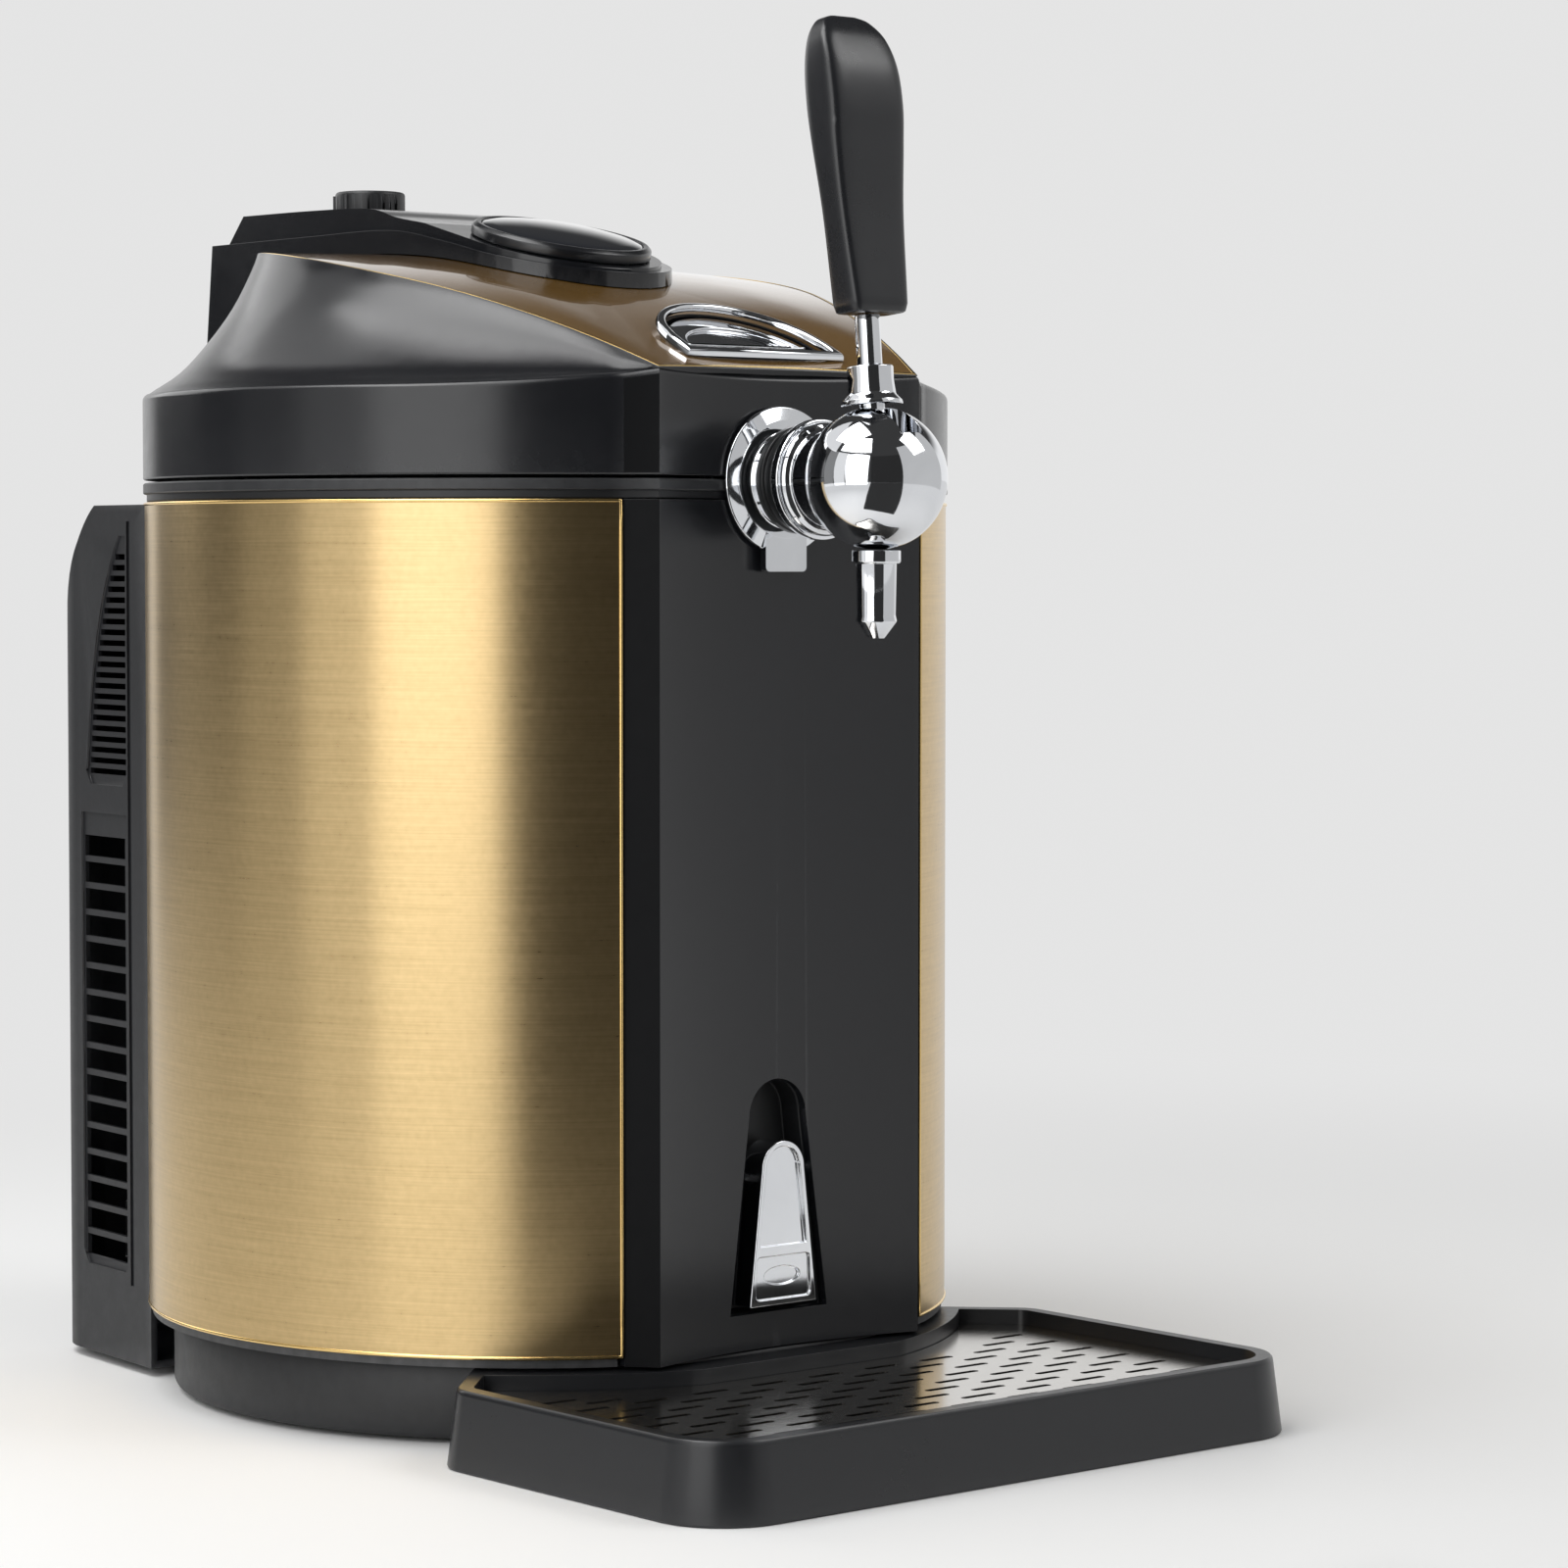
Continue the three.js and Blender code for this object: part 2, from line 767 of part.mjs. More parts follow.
// Outline of the arched recess, seen from the front
function archOutline(grow) {
  const bottom = recessBottom - grow;
  const spring = recessTop - recessTopHalf;
  const outline = [[-recessBottomHalf - grow, bottom], [recessBottomHalf + grow, bottom]];
  for (let i = 0; i <= tinySteps; i++) {
    const angle = Math.PI * i / tinySteps;
    const half = recessTopHalf + grow;
    outline.push([half * Math.cos(angle), spring + half * Math.sin(angle)]);
  }
  return outline;
}

// Cup behind the arch, which carries the push lever's pin
function recessCup() {
  const front = panelBack;
  const cup = frontPrism(archOutline(recessWall), front - recessDepth, front);
  const hollow = frontPrism(archOutline(0), front - recessDepth + recessWall, front + overrun);
  const bore = drumAcross(paddlePinRadius + fit, recessBottomHalf + overrun, tinySteps);
  const place = [0, -paddlePinAt(), paddlePinHeight];
  return piece('recess_cup', cup.subtract(hollow).subtract(bore.translate(place)), blackPlastic);
}

// How far the push lever's pin lies in front of the barrel axis
function paddlePinAt() {
  return panelBack - paddlePinSet;
}

// Chrome push lever with a round top and a wider foot, hung on its pin
function pushPaddle() {
  const foot = recessBottomHalf - paddleFootGap;
  const head = recessTopHalf - paddleHeadGap;
  const outline = [[-foot, paddleBottom], [foot, paddleBottom]];
  for (let i = 0; i <= tinySteps; i++) {
    const angle = Math.PI * i / tinySteps;
    outline.push([head * Math.cos(angle), paddleTop - head + head * Math.sin(angle)]);
  }
  const front = faceCentre + paddleProud;
  const plate = frontPrism(outline, front - paddleThickness, front);
  const bore = drumAcross(paddlePinRadius + runningGap, foot + overrun, tinySteps);
  const body = plate.subtract(bore.translate([0, -paddlePinAt(), paddlePinHeight]));
  return piece('push_paddle', body, chrome);
}

// Pin through the recess cup and the push lever
function paddlePin() {
  const half = recessHalfAt(paddlePinHeight) + recessWall + paddlePinProud;
  const pin = drumAcross(paddlePinRadius, half, tinySteps);
  const head = drumAcross(paddlePinRadius + paddlePinHead, paddlePinHead / 2, tinySteps);
  const body = pin.add(head.translate([half, 0, 0]));
  return piece('paddle_pin', body.translate([0, -paddlePinAt(), paddlePinHeight]), steel);
}

// One brushed gold side panel, with its lower rear corner rounded; side is 1 or -1
function goldPanel(name, side) {
  const edge = Math.asin(chamferHalf / (barrelRadius - goldThickness)) / degree;
  const band = ringBand(barrelRadius - goldThickness, barrelRadius, edge, goldRearAngle, handleSteps);
  const sheet = prism(band, goldBottom, bodyTop);
  const trim = goldCornerTrim();
  const body = sheet.subtract(trim);
  return piece(name, side < 0 ? body.mirror([1, 0, 0]) : body, goldSheet);
}

// What the rounded corner takes off the gold panel
function goldCornerTrim() {
  const corner = goldCornerRadius;
  const square = block(-corner, -overrun, -overrun, overrun, overrun, corner);
  const round = drum(corner, -2 * overrun, 2 * overrun, smallSteps).rotate([90, 0, 0]);
  const [x, y] = atAngle(barrelRadius, goldRearAngle);
  const tool = square.subtract(round.translate([-corner, 0, corner]));
  return tool.rotate([0, 0, goldRearAngle]).translate([x, y, goldBottom]);
}

// Stepped ring between the body and the lid, with the keg mouth, the saddle and the hook slots
function topRingPiece() {
  const lower = prism(bodyPlan(ringStepInset), ringBottom, ringBottom + ringLower);
  const upper = prism(bodyPlan(), ringBottom + ringLower, ringTop);
  const mouth = drum(ringHoleRadius, wellMouth - overrun, ringTop + overrun, barrelSteps);
  let body = lower.add(upper).subtract(mouth).subtract(saddle(shankRadius + fit));
  const nutWell = drumForward(backNutRadius + 2 * fit, panelBack - backNutLength - fit, panelBack + 2 * fit);
  body = body.subtract(nutWell.translate([0, 0, tapHeight]));
  for (const side of [-1, 1]) {
    const x = side * hookHalf;
    const half = hookWidth / 2 + runningGap;
    const front = -hookPlace - hookNose - runningGap;
    const rear = front + hookSlot;
    body = body.subtract(block(x - half, front, ringBottom - overrun, x + half, rear, ringTop + overrun));
  }
  return piece('top_ring', body, blackPlastic);
}

// Aluminium well that the keg stands in
function kegWell() {
  const body = turned([
    [0, wellFloor - wellWall], [wellOuter, wellFloor - wellWall], [wellOuter, wellMouth - wellWall],
    [wellFlange, wellMouth - wellWall], [wellFlange, wellMouth], [wellRadius, wellMouth],
    [wellRadius, wellFloor], [0, wellFloor],
  ], innerSteps);
  return piece('keg_well', body, aluminium);
}

// Rubber pad under the keg
function kegPad() {
  const radius = wellRadius - padMargin;
  return piece('keg_pad', drum(radius, wellFloor + fit, wellFloor + fit + padHeight, roundSteps), rubber);
}

// Foam cup round the well, cut away for the cold block
function insulation() {
  const foot = footHeight + plinthWall + fit;
  const floor = wellFloor - wellWall - fit;
  const top = wellMouth - wellWall - fit;
  const body = turned([
    [0, foot], [foamRadius, foot], [foamRadius, top], [wellOuter + fit, top],
    [wellOuter + fit, floor], [0, floor],
  ], innerSteps);
  const half = coldHalf + fit;
  const gap = block(-half, wellRadius / 2, coldHeight - half, half, foamRadius + overrun, coldHeight + half);
  return piece('insulation', body.subtract(gap), foam);
}

// Cold block with a hollow face that hugs the well
function coldBlock() {
  const bar = block(
    -coldHalf, wellRadius / 2, coldHeight - coldHalf, coldHalf, coldRear, coldHeight + coldHalf);
  const hug = drum(wellOuter + fit, coldHeight - 2 * coldHalf, coldHeight + 2 * coldHalf, innerSteps);
  return piece('cold_block', bar.subtract(hug), aluminium);
}

// Thermoelectric module between the cold block and the heat sink
function peltierModule() {
  const front = coldRear + fit;
  const body = block(
    -coldHalf, front, coldHeight - coldHalf, coldHalf, front + peltierThickness, coldHeight + coldHalf);
  return piece('peltier_module', body, whiteCeramic);
}

// Finned heat sink, one comb outline raised to its height
function heatSink() {
  const front = coldRear + peltierThickness + 2 * fit;
  const root = front + sinkBase;
  const pitch = (2 * sinkHalf - sinkFinThickness) / (sinkFins - 1);
  const outline = [[-sinkHalf, front], [sinkHalf, front]];
  for (let i = 0; i < sinkFins; i++) {
    const x = sinkHalf - i * pitch;
    outline.push([x, root + sinkFinDepth], [x - sinkFinThickness, root + sinkFinDepth]);
    if (i + 1 < sinkFins) outline.push([x - sinkFinThickness, root], [x - pitch, root]);
  }
  return piece('heat_sink', prism(outline, coldHeight - sinkHalf, coldHeight + sinkHalf), aluminium);
}

// Square fan frame with a round way through and struts to the motor seat
function fanFrame() {
  const rear = fanRear;
  const front = rear - fanThickness;
  const frame = block(-fanHalf, front, -fanHalf, fanHalf, rear, fanHalf);
  const way = drumForward(fanBore, -rear - overrun, -front + overrun, discSteps);
  const seat = drumForward(fanHub, -front - fanStrutDepth, -front, smallSteps);
  let body = frame.subtract(way).add(seat);
  for (const turn of [45, 135]) {
    const reach = fanBore + fit;
    const strut = block(-reach, front, -fanStrut / 2, reach, front + fanStrutDepth, fanStrut / 2);
    body = body.add(strut.rotate([0, turn, 0]));
  }
  return piece('fan_frame', body.translate([0, 0, coldHeight]), blackPlastic);
}

// Fan rotor with tilted blades, turning about a line along Y
function fanRotor() {
  const front = fanRear - fanThickness + fanStrutDepth + runningGap;
  const rear = fanRear - fanStrutDepth;
  let body = drumForward(fanHub, -rear, -front, roundSteps);
  const depth = rear - front;
  const bladeHalf = depth / 2 / Math.cos(fanBladeTilt * degree) - fanBladeThickness;
  for (let i = 0; i < fanBlades; i++) {
    const blade = block(
      fanHub / 2, -bladeHalf, -fanBladeThickness / 2, fanBladeReach, bladeHalf, fanBladeThickness / 2);
    const turn = blade.rotate([fanBladeTilt, 0, 0]).rotate([0, fullTurn * i / fanBlades, 0]);
    body = body.add(turn.translate([0, (front + rear) / 2, 0]));
  }
  return piece('fan_rotor', body.translate([0, 0, coldHeight]), blackPlastic);
}

// Wire guard in the round opening of the rear housing
function fanGuard() {
  const rear = housingRear;
  const front = rear - guardThickness;
  const reach = fanBore - 3 * fit;
  let body = drumForward(fanHub, -rear, -front, smallSteps);
  for (let i = 1; i <= guardRings; i++) {
    const radius = fanHub + (reach - fanHub) * i / guardRings;
    const ring = drumForward(radius, -rear, -front, roundSteps);
    const inside = drumForward(radius - guardBar, -rear - overrun, -front + overrun, roundSteps);
    body = body.add(ring.subtract(inside));
  }
  for (const turn of [0, 90]) {
    const bar = block(-reach + guardBar / 2, front, -guardBar / 2, reach - guardBar / 2, rear, guardBar / 2);
    body = body.add(bar.rotate([0, turn, 0]));
  }
  return piece('fan_guard', body.translate([0, 0, coldHeight]), steel);
}

// Half width of the rear housing at a distance behind the barrel axis
function housingHalfAtY(y, inset) {
  return housingHalf - inset + (housingHalfAt - y) * housingTaper;
}

// Plan of the rear housing with its two round rear corners
function housingPlan(inset) {
  const rear = housingRear - inset;
  const corner = housingCorner - inset;
  const centreY = rear - corner;
  const centreX = housingHalfAtY(centreY, inset) - corner;
  const right = [[housingHalfAtY(0, inset), 0]];
  for (let i = 0; i <= tinySteps; i++) {
    const angle = Math.PI / 2 * i / tinySteps;
    right.push([centreX + corner * Math.cos(angle), centreY + corner * Math.sin(angle)]);
  }
  const left = right.map(([x, y]) => [-x, y]).reverse();
  return [...right, ...left];
}

// How far back the rear housing reaches at a height; above its start the back curves forwards
function housingBack(z) {
  if (z <= housingCurveStart) return housingRear;
  const rise = (z - housingCurveStart) / (housingCurveTop - housingCurveStart);
  return housingRear - housingCurveDepth * (1 - Math.sqrt(Math.max(0, 1 - rise * rise)));
}

// Side outline of the rear housing, as [y, z] pairs
function housingSide(inset) {
  const top = bodyTop - fit - inset;
  const bottom = housingBottom + inset;
  const outline = [[0, bottom], [housingRear - inset, bottom]];
  for (let i = 0; i <= tinySteps; i++) {
    const z = housingCurveStart + (top - housingCurveStart) * Math.sin(Math.PI / 2 * i / tinySteps);
    outline.push([housingBack(z) - inset, z]);
  }
  outline.push([0, top]);
  return outline;
}

// Solid form of the rear housing, or of its hollow when it is inset
function housingForm(inset) {
  const plan = prism(housingPlan(inset), housingBottom - overrun, bodyTop + overrun);
  return plan.intersect(slab(housingSide(inset), housingHalf + housingCorner + overrun));
}

// Louvred rear housing: a thin hood with windows, fine louvres, a fan opening and mains openings
function rearHousing() {
  const barrel = drum(shellRadius + fit, plinthTop + fit, bodyTop + overrun, 2 * barrelSteps);
  const base = drum(plinthRadius + fit, housingBottom - overrun, plinthTop + 2 * fit, barrelSteps);
  const sheetEnd = fit - barrelRadius * Math.cos(goldRearAngle * degree);
  const sheets = drum(barrelRadius + fit, housingBottom - overrun, bodyTop + overrun, 2 * barrelSteps)
    .intersect(block(-barrelRadius, 0, housingBottom - overrun, barrelRadius, sheetEnd, bodyTop + overrun));
  let body = housingForm(0).subtract(housingForm(housingWall));
  body = body.subtract(barrel).subtract(base).subtract(sheets);
  for (const cutter of [sideWindows(), sideLouvres(), mainsOpenings(), fanOpening(), screwSockets()]) {
    body = body.subtract(cutter);
  }
  return piece('rear_housing', body, blackPlastic);
}

// Tall column of rounded windows cut through both side walls
function sideWindows() {
  const reach = housingHalf + housingCorner + overrun;
  const height = windowPitch - windowBar;
  const boxes = [];
  for (let i = 0; i < windowCount; i++) {
    const low = windowFirst + i * windowPitch;
    boxes.push(block(-reach, windowFront, low, -housingHalf / 2, windowRear, low + height));
    boxes.push(block(housingHalf / 2, windowFront, low, reach, windowRear, low + height));
  }
  return wasm.Manifold.union(boxes);
}

// Fine louvres above the windows; they grow shorter under the curved back
function sideLouvres() {
  const reach = housingHalf + housingCorner + overrun;
  const boxes = [];
  for (let i = 0; i < louvreCount; i++) {
    const low = louvreFirst + i * louvrePitch;
    const rear = housingBack(low + louvreGap) - louvreMargin;
    if (rear - louvreFront > louvreGap) {
      boxes.push(block(-reach, louvreFront, low, -housingHalf / 2, rear, low + louvreGap));
      boxes.push(block(housingHalf / 2, louvreFront, low, reach, rear, low + louvreGap));
    }
  }
  return wasm.Manifold.union(boxes);
}

// Openings for the mains inlet and the switch
function mainsOpenings() {
  const front = housingRear - housingWall - overrun;
  const rear = housingRear + overrun;
  const inlet = block(
    -inletPlace - inletHalfWidth - fit, front, inletLevel - inletHalfHeight - fit,
    -inletPlace + inletHalfWidth + fit, rear, inletLevel + inletHalfHeight + fit);
  const rocker = block(
    inletPlace - switchHalfWidth - fit, front, inletLevel - switchHalfHeight - fit,
    inletPlace + switchHalfWidth + fit, rear, inletLevel + switchHalfHeight + fit);
  return inlet.add(rocker);
}

// Round opening behind the fan
function fanOpening() {
  const way = drumForward(fanBore, -housingRear - overrun, -housingRear + housingWall + overrun, discSteps);
  return way.translate([0, 0, coldHeight]);
}

// Places of the housing's screws on its flat back
function screwPlaces() {
  return [screwLow, screwHigh].flatMap((level) => [-1, 1].map((side) => [side * screwSpread, level]));
}

// Shallow sockets that the screw heads sit in
function screwSockets() {
  const back = -housingRear;
  const socket = drumForward(screwRadius + fit, back - overrun, back + screwSocket, tinySteps);
  return wasm.Manifold.union(screwPlaces().map(([x, z]) => socket.translate([x, 0, z])));
}

// One screw head in the back of the housing
function housingScrew(name, [x, z]) {
  const depth = screwSocket - fit;
  const head = drumForward(screwRadius, -housingRear, -housingRear + depth, smallSteps);
  const slot = block(-screwSlot, housingRear - depth / 2, -fit, screwSlot, housingRear + overrun, fit);
  return piece(name, head.subtract(slot).translate([x, 0, z]), steel);
}

// The four screw heads, each in its own socket
function housingScrews() {
  const names = ['screw_lower_left', 'screw_lower_right', 'screw_upper_left', 'screw_upper_right'];
  return names.map((name, i) => housingScrew(name, screwPlaces()[i]));
}

// Power supply standing on the housing's floor
function powerSupply() {
  const rear = housingRear - housingWall - fit;
  const low = housingBottom + housingWall + fit;
  const body = block(-supplyHalf, rear - supplyDepth, low, supplyHalf, rear, low + supplyHeight);
  return piece('power_supply', body, aluminium);
}

// Mains inlet with a hollow socket and three contact pins
function powerInlet() {
  const rear = housingRear - fit;
  const front = rear - inletDepth;
  const body = block(-inletHalfWidth, front, -inletHalfHeight, inletHalfWidth, rear, inletHalfHeight);
  const socket = block(
    -inletHalfWidth + inletWall, front + inletWall, -inletHalfHeight + inletWall,
    inletHalfWidth - inletWall, rear + overrun, inletHalfHeight - inletWall);
  let shape = body.subtract(socket);
  const half = inletPin / 2;
  for (const x of [-inletPinPitch, 0, inletPinPitch]) {
    const pin = block(x - half, front + inletWall / 2, -inletPin, x + half, rear - inletWall, inletPin);
    shape = shape.add(pin);
  }
  return piece('power_inlet', shape.translate([-inletPlace, 0, inletLevel]), blackPlastic);
}

// Frame of the mains switch
function switchFrame() {
  const rear = housingRear - fit;
  const body = block(
    -switchHalfWidth, rear - switchDepth, -switchHalfHeight, switchHalfWidth, rear, switchHalfHeight);
  const hole = block(
    -switchHalfWidth + switchRim, rear - switchDepth + switchRim, -switchHalfHeight + switchRim,
    switchHalfWidth - switchRim, rear + overrun, switchHalfHeight - switchRim);
  return piece('switch_frame', body.subtract(hole).translate([inletPlace, 0, inletLevel]), blackPlastic);
}

// Rocker of the mains switch, its face a shallow vee, pressed in at its upper end
function rockerSwitch() {
  const half = switchHalfHeight - switchRim - 2 * runningGap;
  const rise = half * Math.tan(rockerTilt * degree);
  const outline = [
    [-rockerPivot, -half / 2], [rockerPivot - rise, -half], [rockerPivot, 0], [rockerPivot - rise, half],
    [-rockerPivot, half / 2],
  ];
  const rocker = slab(outline, switchHalfWidth - switchRim - runningGap).rotate([rockerTilt, 0, 0]);
  const depth = housingRear - fit - rockerProud - rockerPivot;
  return piece('rocker_switch', rocker.translate([inletPlace, depth, inletLevel]), blackPlastic);
}

// Bracket behind the top ring with two ears for the hinge pin
function hingeBracket() {
  const half = legHalf + runningGap + earWidth;
  const low = ringBottom;
  const foot = block(-half, 0, low, half, hingePlace, hingeHeight - bracketDrop + earWidth / 2);
  const ear = drumAcross(knuckleRadius, half, smallSteps).translate([0, hingePlace, hingeHeight]);
  const post = block(-half, barrelRadius, low, half, hingePlace + knuckleRadius, hingeHeight);
  const middle = block(
    -legHalf - runningGap, 0, hingeHeight - knuckleRadius - runningGap, legHalf + runningGap,
    hingePlace + 2 * knuckleRadius, hingeHeight + 2 * knuckleRadius);
  const barrel = drum(barrelRadius + fit, low - overrun, hingeHeight + 2 * knuckleRadius, 2 * barrelSteps);
  const bore = drumAcross(hingePinRadius + fit, half + overrun, smallSteps);
  const lidWay = block(
    -half, 0, lidBottom - lidGap, half, barrelRadius + lidGap, hingeHeight + 2 * knuckleRadius);
  const body = foot.add(ear).add(post).subtract(middle).subtract(barrel).subtract(lidWay)
    .subtract(bore.translate([0, hingePlace, hingeHeight]));
  return piece('hinge_bracket', body, blackPlastic);
}

// Hinge pin through the bracket and the lid's rear leg
function hingePin() {
  const body = drumAcross(hingePinRadius, legHalf + runningGap + earWidth, smallSteps);
  return piece('hinge_pin', body.translate([0, hingePlace, hingeHeight]), steel);
}

// Black lid shell: thin concave flanks that end in a ledge under the gold plate
function lidShell() {
  const low = lidBottom;
  const seat = -plateThickness - fit;
  const shoulder = shoulderRing(0, 0);
  const crest = ridgeRing(fit, 0);
  const lining = shoulderRing(lidWall, -lidWall);
  const crestLining = ridgeRing(-lidWall, seat - lidWall);
  const body = hoop([
    levelRing(bodyPlan(), low), shoulder, ...flankRings(shoulder, crest, flankShares), crest,
    ridgeRing(fit, seat), ridgeRing(-lidLedge, seat - fit), ridgeRing(-lidLedge, seat - fit - lidWall),
    ...flankRings(lining, crestLining, liningShares).reverse(), lining, levelRing(bodyPlan(lidWall), low),
  ]);
  return piece('lid_shell', body.subtract(saddle(shankRadius + fit)), blackPlastic);
}

// Glossy plate on top of the lid, with the opening for the latch
function lidTopPlate() {
  const upper = topShares.map((share) => topRing(share, 0));
  const lower = topShares.map((share) => topRing(share, -plateThickness)).reverse();
  const body = loft([...lower, ridgeRing(0, -plateThickness), ridgeRing(0, 0), ...upper]);
  return piece('lid_top_plate', body.subtract(latchTool(latchCupWall + fit)), goldGloss);
}

// The latch: how full its round back is, and its pin's and its lever's share of the length
const latchFullness = 0.8;
const latchPinShare = 0.55;
const leverFrontShare = 0.3;

// Outline of the latch opening in its own plane: a straight front edge and a round back
function latchOutline(grow) {
  const outline = [[-latchHalf - grow, -grow], [latchHalf + grow, -grow]];
  for (let i = 1; i < smallSteps; i++) {
    const angle = Math.PI * i / smallSteps;
    const back = (latchLength + grow) * Math.sin(angle) ** latchFullness;
    outline.push([(latchHalf + grow) * Math.cos(angle), back]);
  }
  return outline;
}

// Tilt of the latch: the slope of the lid's top at its front edge and a little more
function latchTilt() {
  const rise = topAt(0, overrun - latchFrontPlace) - topAt(0, -latchFrontPlace);
  return Math.atan2(rise, overrun) / degree + latchLean;
}

// Puts a solid drawn in the latch's own plane on the lid's front slope
function onSlope(body) {
  const lift = topAt(0, -latchFrontPlace);
  return body.rotate([latchTilt(), 0, 0]).translate([0, -latchFrontPlace, lift]);
}

// The opening that the latch needs in the plate and the shell
function latchTool(grow) {
  return onSlope(prism(latchOutline(grow), -latchCupDepth - latchCupWall - fit, latchCupDepth));
}

// Black cup of the latch, open above, with slots for the hook arms
function latchCup() {
  const outer = prism(latchOutline(latchCupWall), -latchCupDepth - latchCupWall, -fit);
  const hollow = prism(latchOutline(0), -latchCupDepth, overrun);
  const bore = drumAcross(latchPinRadius + fit, latchPinHalf + overrun, tinySteps);
  let body = outer.subtract(hollow).subtract(bore.translate([0, latchPinY, latchPinZ]));
  for (const side of [-1, 1]) {
    const x = side * hookHalf;
    const half = hookWidth / 2 + 2 * runningGap;
    const low = -latchCupDepth - 2 * overrun;
    const high = latchPinZ - runningGap;
    body = body.subtract(block(x - half, -overrun, low, x + half, latchPinY + overrun, high));
  }
  return piece('latch_cup', onSlope(body), blackPlastic);
}

// Where the latch pin lies in the latch's own plane
const latchPinY = latchLength * latchPinShare;
const latchPinZ = -2 * latchPlate;

// Chrome rim round the latch opening
function latchBezel() {
  const rim = prism(latchOutline(latchRim), 0, latchRimHeight).subtract(
    prism(latchOutline(0), -overrun, latchRimHeight + overrun));
  return piece('latch_bezel', onSlope(rim.translate([0, 0, latchBezelLift()])), chrome);
}

// The rim stands on the crown of the plate
function latchBezelLift() {
  return crownRise / 2;
}

// Chrome latch lever: a plate under the rim's round back, on its pin
function latchLever() {
  const reach = latchOutline(-2 * runningGap - latchCupWall / 2);
  const front = latchLength * leverFrontShare;
  const plate = prism(reach, latchPinZ - latchPlate, -fit).intersect(
    block(-latchHalf, front, -latchCupDepth, latchHalf, 2 * latchLength, overrun));
  const bore = drumAcross(latchPinRadius + runningGap, latchHalf, tinySteps);
  const body = plate.subtract(bore.translate([0, latchPinY, latchPinZ]));
  return piece('latch_lever', onSlope(body), chrome);
}

// Hook under the lever: a cross bar in the cup and two legs that reach into the top ring's slots
function latchHook() {
  const low = latchPinZ - latchPlate - fit - hookThickness;
  const bar = onSlope(block(
    -hookHalf - hookWidth / 2, latchPinY - hookThickness, low, hookHalf + hookWidth / 2,
    latchPinY + hookThickness, low + hookThickness));
  const leg = slab(hookOutline(), hookWidth / 2);
  const body = bar.add(leg.translate([-hookHalf, 0, 0])).add(leg.translate([hookHalf, 0, 0]));
  return piece('latch_hook', body, steel);
}

// Side outline of one hook leg with its nose at the foot
function hookOutline() {
  const slope = latchTilt() * degree;
  const depth = latchPinZ - latchPlate - fit - hookThickness / 2;
  const topY = -latchFrontPlace + latchPinY * Math.cos(slope) - depth * Math.sin(slope);
  const topZ = topAt(0, -latchFrontPlace) + latchPinY * Math.sin(slope) + depth * Math.cos(slope);
  const front = -hookPlace;
  const rear = front + hookThickness;
  const foot = ringBottom + hookLift;
  const knee = lidBottom + hookKneeRise;
  return [
    [front - hookNose, foot], [rear, foot], [rear, knee], [topY + hookThickness, topZ],
    [topY - hookThickness, topZ], [front, knee + hookThickness], [front, foot + 2 * hookNose],
    [front - hookNose, foot + hookNose / 2],
  ];
}

// Pin of the latch lever
function latchPin() {
  const body = drumAcross(latchPinRadius, latchPinHalf, tinySteps).translate([0, latchPinY, latchPinZ]);
  return piece('latch_pin', onSlope(body), steel);
}

// Neck of the tap: a tube through the front, with its bore open at the back
function tapShank() {
  const body = turnedForward([
    [shankBore, shankRear], [shankRadius, shankRear], [shankRadius, ballPlace - ballRadius / 2],
    [shankBore, ballPlace - ballRadius / 2], [shankBore, shankRear],
  ]);
  return piece('tap_shank', body.translate([0, 0, tapHeight]), chrome);
}

// Flat part of the flange's face, as a share of its radius
const flangeFaceShare = 0.9;

// Chrome flange against the front with its index tab below
function tapFlange() {
  const near = flangeNear;
  const far = near + flangeThickness;
  const bore = shankRadius + fit;
  const disc = turnedForward([
    [bore, near], [flangeRadius, near], [flangeRadius, near + flangeThickness / 2],
    [flangeRadius * flangeFaceShare, far], [flangeHub, far], [flangeHub, far + flangeHubHeight],
    [bore, far + flangeHubHeight], [bore, near],
  ], discSteps);
  const tab = block(-tabHalf, -far, -tabDrop, tabHalf, -near, -flangeRadius / 2);
  return piece('tap_flange', disc.add(tab).translate([0, 0, tapHeight]), chrome);
}

// How far the hollow face comes forward at a distance from its middle
function faceDip(x) {
  return frontSag - faceSag(x);
}

// Outline of the ringed nut: share of its radius and of its length
const nutShares = [[0.9, 0], [1, 0.08], [1, 0.42], [0.92, 0.5], [1, 0.58], [1, 0.92], [0.9, 1]];

// Black ringed nut that draws the flange tight
function shankNut() {
  const near = nutNear;
  const bore = shankRadius + fit;
  const rings = nutShares.map(([wide, along]) => [nutRadius * wide, near + nutLength * along]);
  const profile = [[bore, near], ...rings, [bore, near + nutLength], [bore, near]];
  return piece('shank_nut', turnedForward(profile, handleSteps).translate([0, 0, tapHeight]), rubber);
}

// Chrome ring between the nut and the ball
function shankRing() {
  const near = ringNear;
  const bore = shankRadius + fit;
  const body = turnedForward([
    [bore, near], [nutRadius, near], [ringRadius, near + ringLength / 3], [ringRadius, near + ringLength],
    [bore, near + ringLength], [bore, near],
  ], roundSteps);
  return piece('shank_ring', body.translate([0, 0, tapHeight]), chrome);
}

// Nut on the inside of the front
function backNut() {
  const far = panelBack;
  const hexagon = drumForward(backNutRadius, far - backNutLength, far, hexSides);
  const bore = drumForward(shankRadius + fit, far - backNutLength - overrun, far + overrun, smallSteps);
  return piece('back_nut', hexagon.subtract(bore).translate([0, 0, tapHeight]), steel);
}

